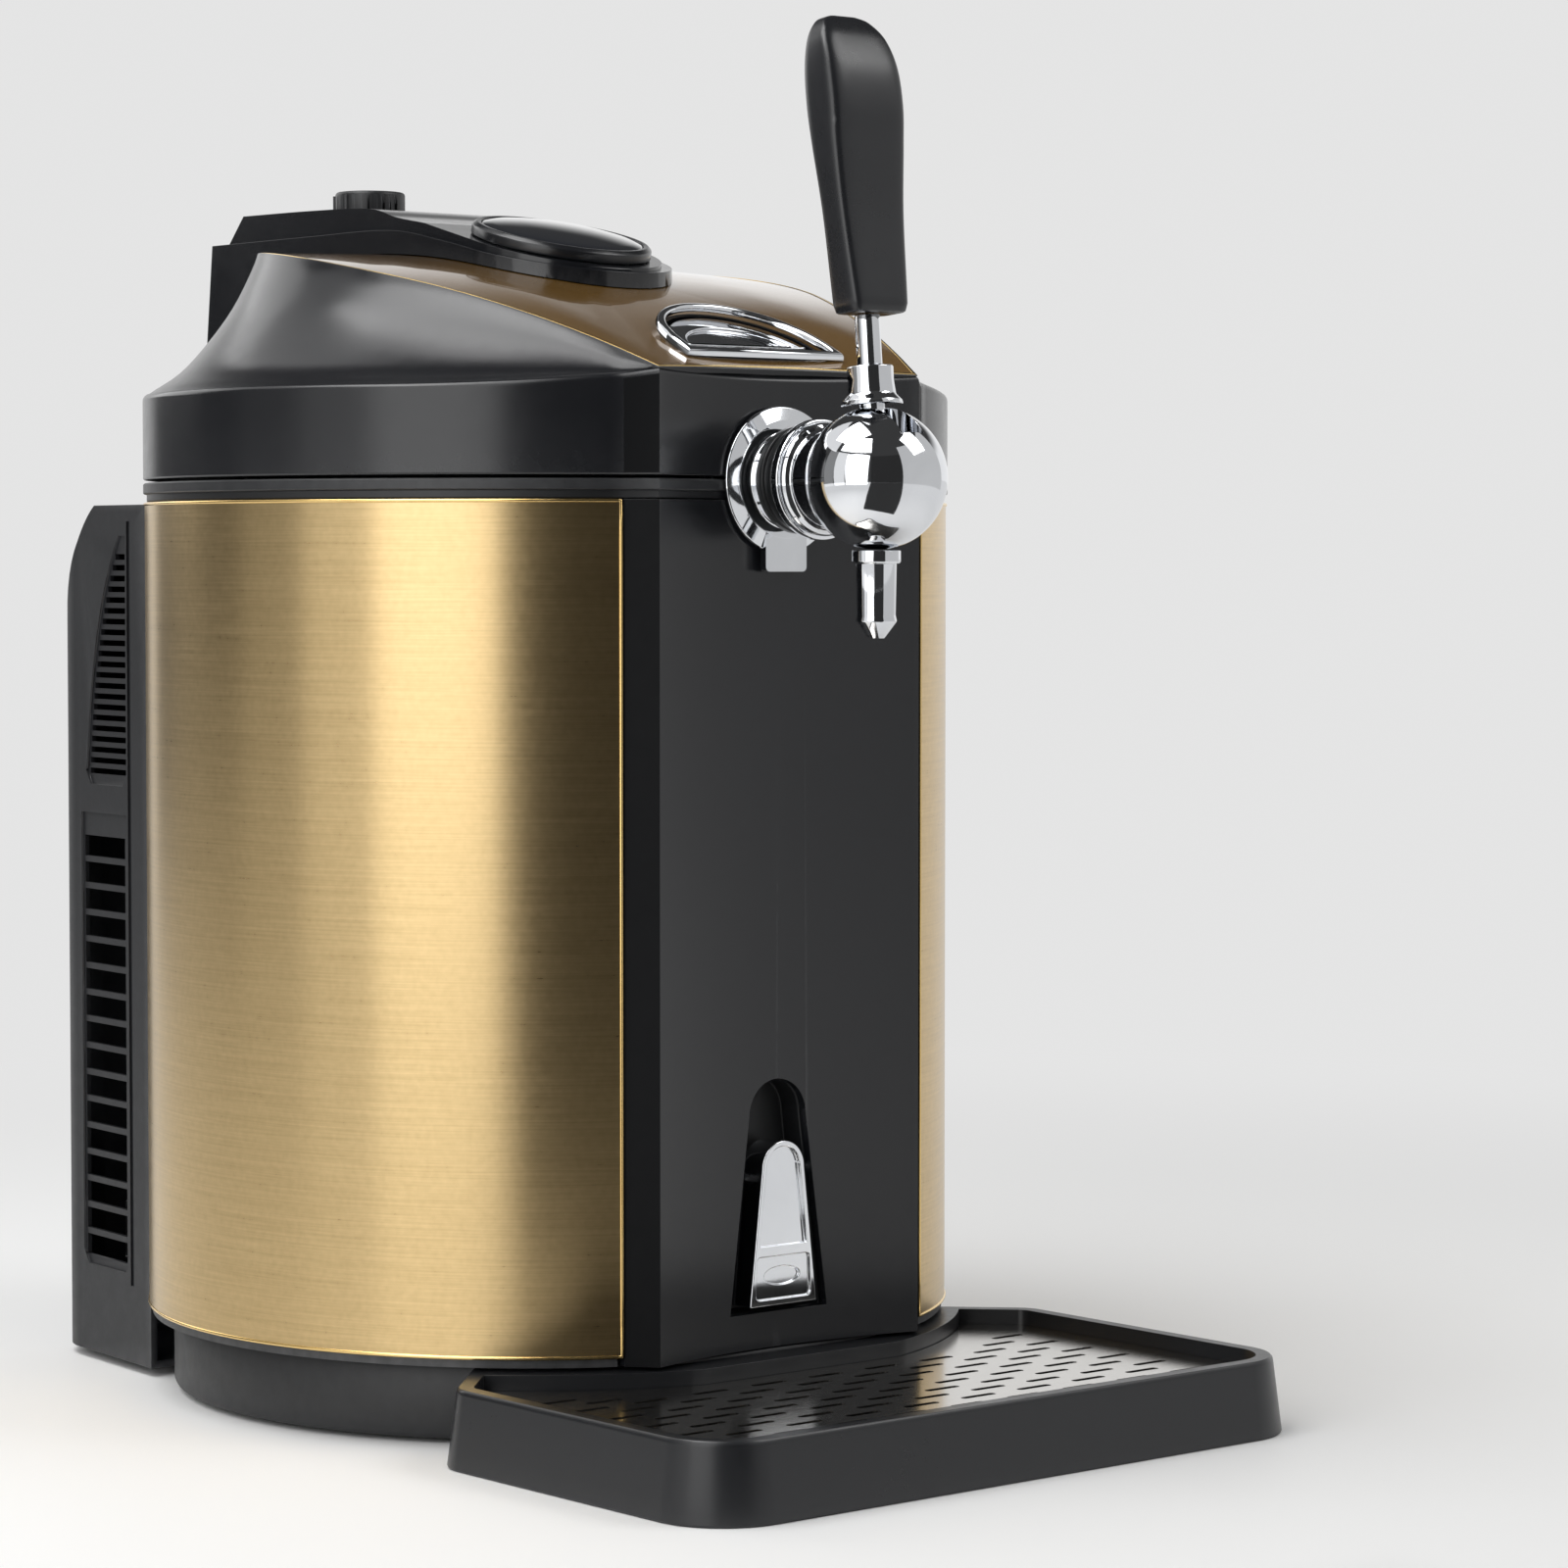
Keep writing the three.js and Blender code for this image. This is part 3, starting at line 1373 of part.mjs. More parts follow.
// Where the collar behind the ball narrows, and where it meets the ball: shares of its radius
const collarWaistShare = 0.86;
const collarBallShare = 0.92;

// Ball-shaped tap body with a rear collar, a slot for the lever and bores for shank and spout
function tapBody() {
  const ball = new THREE.SphereGeometry(ballRadius, innerSteps, smallSteps);
  ball.rotateX(Math.PI / 2);
  const near = collarNear;
  const collar = turnedForward([
    [0, near - ballPlace], [collarRadius, near - ballPlace],
    [collarRadius * collarWaistShare, near - ballPlace + collarEdge], [collarRadius * collarBallShare, 0],
    [0, 0],
  ], smallSteps);
  const shankWay = drumForward(shankRadius + fit, -ballPlace, -ballRadius / 2 + fit, smallSteps);
  const room = spindleBall + runningGap;
  const chamber = drum(room + runningGap, -room, room, smallSteps);
  const spoutWay = drum(spoutBore, -2 * ballRadius, 0, tinySteps);
  const spoutSeat = drum(spoutCollarRadius + fit, -2 * ballRadius, -ballRadius + fit, smallSteps);
  const body = solid(ball).add(collar).subtract(shankWay).subtract(chamber).subtract(leverSlot())
    .subtract(spoutWay).subtract(spoutSeat);
  return piece('tap_body', body.translate([0, -ballPlace, tapHeight]), chrome);
}

// The slot along which the lever swings forward, seen from the side as a fan
function leverSlot() {
  const half = spindleRadius + runningGap;
  const reach = ballRadius + overrun;
  const rest = leverLean * degree;
  const end = (leverLean - leverSwing) * degree;
  const margin = Math.asin(half / reach);
  const outline = [[half * Math.cos(rest), -half * Math.sin(rest)]];
  for (let i = 0; i <= tinySteps; i++) {
    const angle = rest + margin + (end - rest - 2 * margin) * i / tinySteps;
    outline.push([reach * Math.sin(angle), reach * Math.cos(angle)]);
  }
  outline.push([-half * Math.cos(end), half * Math.sin(end)]);
  return slab(outline, half);
}

// Lower and upper end of the spout's tube, as shares of its radius
const spoutFootShare = 1.08;
const spoutHeadShare = 1.05;

// Spout below the ball: collar, tube and pointed tip, bored through
function spoutPiece() {
  const top = -ballRadius;
  const neck = top - spoutCollarLength;
  const tube = neck - spoutLength;
  const tip = tube - spoutTip;
  const body = turned([
    [spoutBore, tip], [spoutTipRadius, tip], [spoutRadius * spoutFootShare, tube],
    [spoutRadius, tube + spoutLip], [spoutRadius * spoutHeadShare, neck], [spoutCollarRadius, neck],
    [spoutCollarRadius, top], [spoutBore, top], [spoutBore, tip],
  ], smallSteps);
  return piece('spout', body.translate([0, -ballPlace, tapHeight]), chrome);
}

// The bell of the lever's collar: share of its foot's or its neck's radius, and share of its height
const bellFootShares = [[1, 0], [0.97, 0.1]];
const bellNeckShares = [[1.04, 0.26], [1, 1]];

// Collar and spindle that carry the lever; the spindle ends in a ball inside the tap
function leverCollar() {
  const foot = ballRadius + runningGap;
  const ball = new THREE.SphereGeometry(spindleBall, smallSteps, tinySteps);
  ball.rotateX(Math.PI / 2);
  const stem = drum(spindleRadius, 0, foot + leverCollarHeight / 2, tinySteps);
  const bell = turned([
    [0, foot],
    ...bellFootShares.map(([wide, up]) => [leverCollarFoot * wide, foot + leverCollarHeight * up]),
    ...bellNeckShares.map(([wide, up]) => [leverCollarRadius * wide, foot + leverCollarHeight * up]),
    [0, foot + leverCollarHeight],
  ], smallSteps);
  return piece('lever_collar', solid(ball).add(stem).add(bell), chrome);
}

// Polished shaft between the collar and the handle
function leverShaft() {
  const low = ballRadius + runningGap + leverCollarHeight + fit;
  return piece('lever_shaft', drum(leverShaftRadius, low, low + leverShaftLength, smallSteps), chrome);
}

// Shape of the handle up its height: share of height, of half width, of depth, and lean to the back
const handleShares = [
  [0, 0.56, 0.74, -0.12], [0.03, 0.62, 0.8, -0.12], [0.33, 0.84, 0.74, -0.06], [0.56, 0.94, 0.86, -0.02],
  [0.69, 1, 1, 0], [0.82, 0.93, 0.9, 0.06], [0.92, 0.75, 0.62, 0.16], [0.98, 0.5, 0.36, 0.26],
  [1, 0.28, 0.2, 0.3],
];

// Black tap handle, a rounded paddle that is widest near its top
function leverHandle() {
  const low = ballRadius + runningGap + leverCollarHeight + leverShaftLength + 2 * fit;
  const rings = handleShares.map(([up, wide, deep, back]) => {
    const ring = [];
    for (let i = 0; i < handleSteps; i++) {
      const angle = 2 * Math.PI * i / handleSteps;
      const x = Math.sign(Math.cos(angle)) * Math.abs(Math.cos(angle)) ** handleSquareness;
      const y = Math.sign(Math.sin(angle)) * Math.abs(Math.sin(angle)) ** handleSquareness;
      ring.push([
        handleHalf * wide * x, handleDepth / 2 * deep * y + handleDepth * back, low + handleHeight * up,
      ]);
    }
    return ring;
  });
  return piece('lever_handle', loft(rings), blackPlastic);
}

// Everything that swings with the tap lever, leaning back at rest
function tapLever() {
  const group = new THREE.Group();
  group.add(leverCollar(), leverShaft(), leverHandle());
  group.position.set(0, -ballPlace, tapHeight);
  group.rotation.x = -leverLean * degree;
  return group;
}

// How far the two handles of the beer line's bend reach, as shares of the bend
const bendOutShare = 0.78;
const bendDownShare = 0.26;

// Beer line: out of the shank, over the mouth of the well and down to the keg adapter
function beerLine() {
  const start = -shankRear + fit;
  const path = new THREE.CurvePath();
  const turnY = start + lineBend;
  path.add(new THREE.LineCurve3(
    new THREE.Vector3(0, start, tapHeight), new THREE.Vector3(0, start + fit, tapHeight)));
  path.add(new THREE.CubicBezierCurve3(
    new THREE.Vector3(0, start + fit, tapHeight),
    new THREE.Vector3(0, start + lineBend * bendOutShare, tapHeight),
    new THREE.Vector3(0, turnY, tapHeight - lineBend * bendDownShare),
    new THREE.Vector3(0, turnY, tapHeight - lineBend)));
  path.add(new THREE.LineCurve3(
    new THREE.Vector3(0, turnY, tapHeight - lineBend),
    new THREE.Vector3(0, turnY, tapHeight - lineBend - lineDrop)));
  const section = new THREE.Shape();
  section.absarc(0, 0, lineRadius, 0, 2 * Math.PI);
  const sweep = { steps: smallSteps, curveSegments: tinySteps / 2, extrudePath: path };
  return piece('beer_line', solid(new THREE.ExtrudeGeometry(section, sweep)), clearHose);
}

// Where the beer line ends
function lineEnd() {
  return [0, -shankRear + fit + lineBend, tapHeight - lineBend - lineDrop - fit];
}

// Outline of the keg adapter: share of its radius and of its height, from its foot up
const adapterShares = [[0, 0], [0.6, 0], [1, 0.2], [1, 0.88], [0.6, 1], [0, 1]];

// Keg adapter on the end of the beer line
function kegAdapter() {
  const body = turned(
    adapterShares.map(([wide, up]) => [adapterRadius * wide, adapterHeight * (up - 1)]), roundSteps);
  return piece('keg_adapter', body.translate(lineEnd()), greyPlastic);
}

// Clip on the well's wall that parks the adapter while no keg is in
function adapterClip() {
  const [, y, z] = lineEnd();
  const low = z - adapterHeight / 2 - clipHeight / 2;
  const bar = block(-clipHalf, -wellRadius, low, clipHalf, y + clipGrip - adapterRadius, low + clipHeight);
  const wall = drum(wellRadius - fit, low - overrun, low + clipHeight + overrun, innerSteps);
  const hole = drum(adapterRadius + fit, low - overrun, low + clipHeight + overrun, roundSteps);
  return piece('adapter_clip', bar.intersect(wall).subtract(hole.translate([0, y, 0])), greyPlastic);
}

// Grey pan that lines the lid
function lidLiner() {
  const low = ringTop + gasketHeight + 2 * fit;
  const [inner, under] = [linerRadius - linerWall, linerTop - linerWall];
  const pan = turned([
    [inner, low], [linerRadius, low], [linerRadius, linerTop], [0, linerTop], [0, under], [inner, under],
    [inner, low],
  ], innerSteps);
  const half = hookHalf + hookWidth + hookMargin;
  const high = tapHeight + backNutRadius + fit;
  const way = block(-half, -barrelRadius, low - overrun, half, -wellRadius / 2, high);
  return piece('lid_liner', pan.subtract(way), greyPlastic);
}

// Rubber seal on the ring round the keg mouth, open where the tap's shank crosses it
function lidGasket() {
  const gap = Math.asin((hookHalf + hookWidth + hookMargin) / (linerRadius - gasketWidth)) / degree;
  const band = ringBand(linerRadius - gasketWidth, linerRadius, gap, fullTurn - gap, innerSteps);
  return piece('lid_gasket', prism(band, ringTop + fit, ringTop + fit + gasketHeight), rubber);
}

// Plan of one level of the spine cover: straight sides and a round front
function spinePlan(half, rear) {
  const outline = [[half, rear], [-half, rear]];
  for (let i = 0; i <= smallSteps; i++) {
    const angle = Math.PI * i / smallSteps;
    outline.push([-half * Math.cos(angle), -spineFront - half * Math.sin(angle)]);
  }
  return outline;
}

// Height of the tilted plane under the round panel
function discPlane(y) {
  return discLevel + (y + spineFront) * Math.tan(discTilt * degree);
}

// Spine cover: a wide lower part, a narrower upper part with a tilted front, and the rear hinge leg
function spineCover() {
  const low = hingeHeight + knuckleRadius;
  const front = -spineFront - spineHalf - overrun;
  const lowerSide = [
    [front, low], [front, spineStep - spineFrontDrop], [spineShoulder, spineStep],
    [spineRear - spineLean, spineStep], [spineRear, spineStep - spineHalf], [spineRear, low],
  ];
  const upperSide = [
    [front, low], [front, discPlane(front)], [spineShoulder, discPlane(spineShoulder)],
    [spineShoulder + spineRun, spineTop - spineEase], [spineRear - 2 * spineChamfer + spineLean, spineTop],
    [spineRear - spineChamfer, spineStep], [spineRear - spineChamfer, low],
  ];
  const lower = slab(lowerSide, spineHalf + overrun).intersect(
    prism(spinePlan(spineHalf, spineRear), low, spineTop));
  const upper = slab(upperSide, spineHalf).intersect(
    prism(spinePlan(spineUpperHalf, spineRear - spineChamfer), low, spineTop + overrun));
  const stemFoot = spineTop - knobStemLength - knobStemRoom;
  const stem = drum(knobStemRadius + runningGap, stemFoot, spineTop + overrun, smallSteps);
  const pocket = onDisc(drum(discRadius - discRim - fit, -boardThickness - fit, overrun, smallSteps));
  const body = lower.add(upper).subtract(legTrim()).add(hingeLeg()).subtract(lidRoom()).subtract(pocket)
    .subtract(stem.translate([0, knobPlace, 0])).subtract(hingeBore()).subtract(spineHollow());
  return piece('spine_cover', body, blackPlastic);
}

// Hollow under the spine, behind the round panel
function spineHollow() {
  const half = spineUpperHalf - 2 * spineLean;
  return block(
    -half, spineShoulder / 2, shoulderHeight, half, barrelRadius - lidWall, spineStep - spineLean);
}

// The room that the lid takes under the spine and in front of its leg
function lidRoom() {
  const shoulder = shoulderRing(-fit, fit);
  const ridge = ridgeRing(fit, fit);
  return loft([
    levelRing(bodyPlan(-fit), lidBottom), shoulder, ...flankRings(shoulder, ridge, flankShares), ridge,
    ...topShares.map((share) => topRing(share, fit)),
  ]);
}

// Slants the spine's rear sides in towards the narrower hinge leg
function legTrim() {
  const low = hingeHeight - knuckleRadius - overrun;
  const high = hingeHeight + spineHalf;
  const trim = (side) => frontPrism([
    [side * legHalf, low], [side * 2 * spineHalf, low], [side * 2 * spineHalf, high + overrun],
    [side * (spineHalf + fit), high + overrun], [side * (spineHalf + fit), high],
    [side * legHalf, hingeHeight + 2 * knuckleRadius],
  ], -spineRear - overrun, -barrelRadius / 2);
  return trim(1).add(trim(-1));
}

// The leg behind the lid that ends in the hinge knuckle
function hingeLeg() {
  const leg = block(
    -legHalf, barrelRadius - overrun, hingeHeight, legHalf, hingePlace + knuckleRadius,
    hingeHeight + spineHalf);
  return leg.add(drumAcross(knuckleRadius, legHalf, smallSteps).translate([0, hingePlace, hingeHeight]));
}

// Bore for the hinge pin
function hingeBore() {
  const bore = drumAcross(hingePinRadius + runningGap, legHalf + overrun, smallSteps);
  return bore.translate([0, hingePlace, hingeHeight]);
}

// Puts a solid drawn about its own middle on the tilted front of the spine
function onDisc(body) {
  return body.rotate([discTilt, 0, 0]).translate([0, -spineFront, discLevel]);
}

// Height of the round panel's outer edge, as a share of its rim's
const discEdgeShare = 0.7;

// Black rim of the round panel
function displayBezel() {
  const inner = discRadius - discRim;
  const body = turned([
    [inner, fit], [discRadius, fit], [discRadius, discHeight * discEdgeShare],
    [discRadius - discRim / 2, discHeight], [inner, discHeight], [inner, fit],
  ], discSteps);
  return piece('display_bezel', onDisc(body), blackPlastic);
}

// The lens's dome: share of its radius and of its rise
const lensShares = [[0.8, 0.36], [0.5, 0.75], [0, 1]];

// Domed dark lens of the round panel
function displayLens() {
  const radius = discRadius - discRim - fit;
  const body = turned([
    [0, fit], [radius, fit], [radius, discHeight - fit],
    ...lensShares.map(([wide, up]) => [radius * wide, discHeight + lensRise * up]),
  ], discSteps);
  return piece('display_lens', onDisc(body), darkGlass);
}

// Circuit board under the lens
function displayBoard() {
  const radius = discRadius - boardMargin;
  return piece('display_board', onDisc(drum(radius, -boardThickness, 0, smallSteps)), circuit);
}

// The knob's upper edge: share of its radius and of its height
const knobShares = [[1, 0], [1, 0.86], [0.94, 1], [0, 1]];

// Round knob on the spine with its stem
function regulatorKnob() {
  const foot = spineTop + runningGap;
  const body = turned([
    [0, foot - knobStemLength], [knobStemRadius, foot - knobStemLength], [knobStemRadius, foot],
    ...knobShares.map(([wide, up]) => [knobRadius * wide, foot + knobHeight * up]),
  ], roundSteps);
  return piece('regulator_knob', body.translate([0, knobPlace, 0]), blackPlastic);
}

// Plan of the tray: straight sides, wide front corners and rear ends that slant in to the plinth
function trayPlan(grow) {
  const half = trayHalf + grow;
  const front = trayFront + grow;
  const rear = trayRear - grow;
  const frontCorner = trayFrontCorner + grow;
  const rearCorner = Math.max(trayRearCorner + grow, trayRearCorner / 4);
  const right = [];
  for (let i = 0; i <= tinySteps; i++) {
    const angle = Math.PI / 2 * i / tinySteps;
    const [across, ahead] = [frontCorner * Math.sin(angle), frontCorner * Math.cos(angle)];
    right.push([half - frontCorner + across, -front + frontCorner - ahead]);
  }
  for (let i = 0; i <= cornerSteps; i++) {
    const angle = Math.PI / 4 * i / cornerSteps;
    right.push([
      half - rearCorner + rearCorner * Math.cos(angle), -rear - rearCorner + rearCorner * Math.sin(angle)]);
  }
  const [endX, endY] = right[right.length - 1];
  right.push([endX - traySlant, endY + traySlant]);
  const left = right.map(([x, y]) => [-x, y]).reverse();
  return [...right, ...left];
}

// The room that the plinth takes behind the tray
function trayBack(inset, low, high) {
  const arc = drum(plinthRadius + trayGap + inset, low - overrun, high + overrun, 2 * handleSteps);
  return frontCut(arc, faceCentre + trayGap + inset);
}

// A level of the tray's hollow; its back rim lies clear of the overhanging barrel
function trayHollow(inset, low, high) {
  return prism(trayPlan(-trayRim - inset), low, high).subtract(trayBack(trayBackRim + inset, low, high));
}

// Drip tray: flared walls, a ledge for the grille and a hollow back that hugs the plinth
function dripTray() {
  const foot = trayPlan(trayFlare).map(([x, y]) => [x, y, 0]);
  const rim = trayPlan(0).map(([x, y]) => [x, y, trayHeight]);
  const ledge = trayHeight - grilleSink - grilleThickness - fit;
  const body = loft([foot, rim]).subtract(trayBack(0, 0, trayHeight))
    .subtract(trayHollow(0, ledge, trayHeight + overrun))
    .subtract(trayHollow(trayLedge, trayFloor, ledge + overrun));
  return piece('drip_tray', body, blackPlastic);
}

// Steel grille with staggered slots that lies on the tray's ledge
function dripGrille() {
  const top = trayHeight - grilleSink;
  const low = top - grilleThickness;
  const plate = trayHollow(runningGap, low, top);
  return piece('drip_grille', plate.subtract(wasm.Manifold.union(grilleSlots(low, top))), steel);
}

// Slots in staggered rows, kept clear of the grille's edges and of its hollow back
function grilleSlots(low, top) {
  const slots = [];
  const reach = trayHalf - trayRim - slotMargin - slotLength / 2;
  const near = plinthRadius + trayGap + trayBackRim + slotMargin;
  const rows = Math.floor((trayFront - trayRear - 2 * (trayRim + slotMargin)) / slotRow);
  for (let row = 0; row <= rows; row++) {
    const y = -trayFront + trayRim + slotMargin + slotWidth + row * slotRow;
    const columns = Math.floor(reach / slotPitch);
    for (let column = -columns - 1; column <= columns + 1; column++) {
      const x = (column + (row % 2) / 2) * slotPitch;
      const inner = Math.max(0, Math.abs(x) - slotLength / 2);
      const clear = Math.hypot(inner, y + slotWidth / 2) > near && y < -faceCentre - trayBackRim - slotMargin;
      if (Math.abs(x) <= reach && clear && cornerClear(x, y)) slots.push(slotTool(x, y, low, top));
    }
  }
  return slots;
}

// Whether a slot stays inside the round front corners
function cornerClear(x, y) {
  const centreX = trayHalf - trayFrontCorner;
  const centreY = -trayFront + trayFrontCorner;
  const endX = Math.abs(x) + slotLength / 2;
  if (endX < centreX || y > centreY) return true;
  return Math.hypot(endX - centreX, y - slotWidth - centreY) < trayFrontCorner - trayRim - slotMargin / 3;
}

// One slot
function slotTool(x, y, low, top) {
  const end = slotLength / 2;
  const side = slotWidth / 2;
  return block(x - end, y - side, low - overrun, x + end, y + side, top + overrun);
}

// The pieces in the order in which the dispenser goes together
const dispenser = new THREE.Group();
dispenser.add(
  basePlinth(), rubberFoot(), bodyShell(), frontPanel(), recessCup(), pushPaddle(), paddlePin(),
  goldPanel('gold_panel_left', -1), goldPanel('gold_panel_right', 1), topRingPiece(),
  kegWell(), kegPad(), insulation(), coldBlock(), peltierModule(), heatSink(),
  fanFrame(), fanRotor(), fanGuard(), rearHousing(), ...housingScrews(),
  powerSupply(), powerInlet(), switchFrame(), rockerSwitch(),
  hingeBracket(), hingePin(), lidShell(), lidTopPlate(), lidLiner(), lidGasket(),
  spineCover(), displayBezel(), displayLens(), displayBoard(), regulatorKnob(),
  latchCup(), latchBezel(), latchLever(), latchHook(), latchPin(),
  tapShank(), tapFlange(), shankNut(), shankRing(), backNut(), tapBody(), spoutPiece(), tapLever(),
  beerLine(), kegAdapter(), adapterClip(), dripTray(), dripGrille(),
);
dispenser.position.y = originShift;

export default dispenser;
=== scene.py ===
# Mini keg beer dispenser: the dressed model. The scene is in metres; the sections give sizes in
# millimetres from the barrel axis, with the tap towards -Y and Z up from the table.
import math
import bmesh
import bpy
from mathutils import Matrix, Vector


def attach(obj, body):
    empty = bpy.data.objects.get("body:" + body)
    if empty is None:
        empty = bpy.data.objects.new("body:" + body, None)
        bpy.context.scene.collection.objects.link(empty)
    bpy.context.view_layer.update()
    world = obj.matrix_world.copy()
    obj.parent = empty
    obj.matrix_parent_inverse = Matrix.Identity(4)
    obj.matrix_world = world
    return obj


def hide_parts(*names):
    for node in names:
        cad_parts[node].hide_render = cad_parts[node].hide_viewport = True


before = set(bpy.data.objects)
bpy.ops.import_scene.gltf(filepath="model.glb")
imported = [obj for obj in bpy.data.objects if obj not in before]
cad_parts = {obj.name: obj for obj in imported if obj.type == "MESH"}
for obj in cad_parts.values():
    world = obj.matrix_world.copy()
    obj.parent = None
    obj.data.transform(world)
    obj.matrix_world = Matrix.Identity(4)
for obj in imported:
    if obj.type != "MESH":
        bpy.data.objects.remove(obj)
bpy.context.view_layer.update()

# Rubber foot and base plinth.
# A low injection-moulded pan carries the whole dispenser on a soft rubber ring; its front is cut
# flat where the drip tray docks, and its rim stays a shadow gap below the gold panels.
AXIS_BACK = 39


def pattern_group(name, inputs, outputs):
    """A shader group with named values in and out."""
    group = bpy.data.node_groups.new(name, "ShaderNodeTree")
    for label, value in inputs.items():
        socket = group.interface.new_socket(label, in_out="INPUT", socket_type="NodeSocketFloat")
        socket.default_value = value
    for label in outputs:
        group.interface.new_socket(label, in_out="OUTPUT", socket_type="NodeSocketFloat")
    return group, group.nodes.new("NodeGroupInput"), group.nodes.new("NodeGroupOutput")


# Fine spark-eroded grain of a moulding, with slow drifts of tone and gloss.
moulded, grain_in, grain_out = pattern_group("moulded_grain", {"Grain": 1500.0, "Drift": 14.0},
                                             ["Tone", "Gloss", "Height"])


class Value:
    """A socket of a node tree; what is reckoned with it becomes math nodes."""

    def __init__(self, socket):
        self.socket = socket

    def __add__(self, other):
        return reckoned("ADD", self, other)

    def __sub__(self, other):
        return reckoned("SUBTRACT", self, other)

    def __rsub__(self, other):
        return reckoned("SUBTRACT", other, self)

    def __mul__(self, other):
        return reckoned("MULTIPLY", self, other)

    def __truediv__(self, other):
        return reckoned("DIVIDE", self, other)

    def __rtruediv__(self, other):
        return reckoned("DIVIDE", other, self)


def bare(value):
    return value.socket if isinstance(value, Value) else value


def joined(value, socket):
    """Leads a value into a node's input."""
    socket.id_data.links.new(bare(value), socket)


def node(tree, kind, links=None, **settings):
    """A node with its settings; links set its inputs from sockets or plain values."""
    made_node = tree.nodes.new(kind)
    for key, value in settings.items():
        setattr(made_node, key, value)
    for key, value in (links or {}).items():
        if isinstance(bare(value), bpy.types.NodeSocket):
            joined(value, made_node.inputs[key])
        else:
            made_node.inputs[key].default_value = value
    return made_node


def out(tree, kind, links=None, **settings):
    """The first output of a new node."""
    return Value(node(tree, kind, links, **settings).outputs[0])


def reckoned(way, a, b=0.0, c=0.0):
    """The result of a math node."""
    tree = next(one.id_data for one in map(bare, (a, b, c)) if isinstance(one, bpy.types.NodeSocket))
    return out(tree, "ShaderNodeMath", {0: a, 1: b, 2: c}, operation=way)


grain_place = node(moulded, "ShaderNodeTexCoord").outputs["Object"]
fine = out(moulded, "ShaderNodeTexNoise",
           {"Vector": grain_place, "Scale": grain_in.outputs["Grain"], "Detail": 2.0, "Roughness": 0.6})
drift = out(moulded, "ShaderNodeTexNoise",
            {"Vector": grain_place, "Scale": grain_in.outputs["Drift"], "Detail": 3.0})
cloud = out(moulded, "ShaderNodeTexNoise",
            {"Vector": grain_place, "Scale": 160.0, "Detail": 4.0, "Roughness": 0.7})
joined(fine * 0.35 + drift * 0.65, grain_out.inputs["Tone"])
joined(cloud * 0.5 + drift * 0.5, grain_out.inputs["Gloss"])
joined(fine, grain_out.inputs["Height"])

# Handling wear along the corners, broken up by noise.
worn, worn_in, worn_out = pattern_group("edge_wear", {"Amount": 0.5}, ["Mask"])
corners = node(worn, "ShaderNodeNewGeometry").outputs["Pointiness"]
broken = out(worn, "ShaderNodeTexNoise",
             {"Vector": node(worn, "ShaderNodeTexCoord").outputs["Object"], "Scale": 220.0,
              "Detail": 5.0})
ridges = out(worn, "ShaderNodeMapRange", {"Value": corners, "From Min": 0.53, "From Max": 0.62})
rubbed = ridges * broken * worn_in.outputs["Amount"]
joined(rubbed, worn_out.inputs["Mask"])


def tint(code):
    """A colour written as in a paint chart, as the shader's linear values."""
    parts = [int(code[i:i + 2], 16) / 255 for i in (1, 3, 5)]
    return tuple(c / 12.92 if c <= 0.04045 else ((c + 0.055) / 1.055) ** 2.4 for c in parts) + (1,)


def finished(name, pattern, settings, dark, light, rough, bump, depth=0.1, wear=0.0,
             worn_tint="#8a8b8d", **fixed):
    """A material: a pattern drives its tone, gloss and relief, and its corners wear to another tint."""
    material = bpy.data.materials.new(name)
    material.use_nodes = True
    tree = material.node_tree
    shader = tree.nodes["Principled BSDF"]
    source = node(tree, "ShaderNodeGroup", node_tree=pattern)
    for key, value in settings.items():
        source.inputs[key].default_value = value
    tone = node(tree, "ShaderNodeMix", {0: source.outputs["Tone"], 6: tint(dark), 7: tint(light)},
                data_type="RGBA").outputs[2]
    if wear:
        rub = node(tree, "ShaderNodeGroup", node_tree=worn)
        rub.inputs["Amount"].default_value = wear
        tone = node(tree, "ShaderNodeMix", {0: rub.outputs["Mask"], 6: tone, 7: tint(worn_tint)},
                    data_type="RGBA").outputs[2]
    joined(tone, shader.inputs["Base Color"])
    gloss = node(tree, "ShaderNodeMapRange",
                 {"Value": source.outputs["Gloss"], "From Min": 0.3, "From Max": 0.7,
                  "To Min": rough[0], "To Max": rough[1]})
    joined(gloss.outputs[0], shader.inputs["Roughness"])
    relief = node(tree, "ShaderNodeBump",
                  {"Strength": bump, "Distance": depth / 1000, "Height": source.outputs["Height"]})
    joined(relief.outputs[0], shader.inputs["Normal"])
    for key, value in fixed.items():
        shader.inputs[key.replace("_", " ")].default_value = value
    return material


satin_black = finished("satin_black_moulding", moulded, {}, "#131416", "#1c1d20", (0.34, 0.46), 0.12,
                       wear=0.3)
base_black = finished("base_black_moulding", moulded, {"Grain": 1100.0}, "#111214", "#1a1b1d",
                      (0.42, 0.56), 0.2, wear=0.3)
soft_rubber = finished("soft_rubber", moulded, {"Grain": 700.0}, "#101113", "#1b1c1e", (0.78, 0.92),
                       0.3, wear=0.2)


def spot(x, y, z):
    """A place in millimetres from the barrel axis, which stands behind the model's own origin, in metres."""
    return (x / 1000, (y + AXIS_BACK) / 1000, z / 1000)


def put(name, data):
    """An object in the scene."""
    thing = bpy.data.objects.new(name, data)
    bpy.context.scene.collection.objects.link(thing)
    return thing


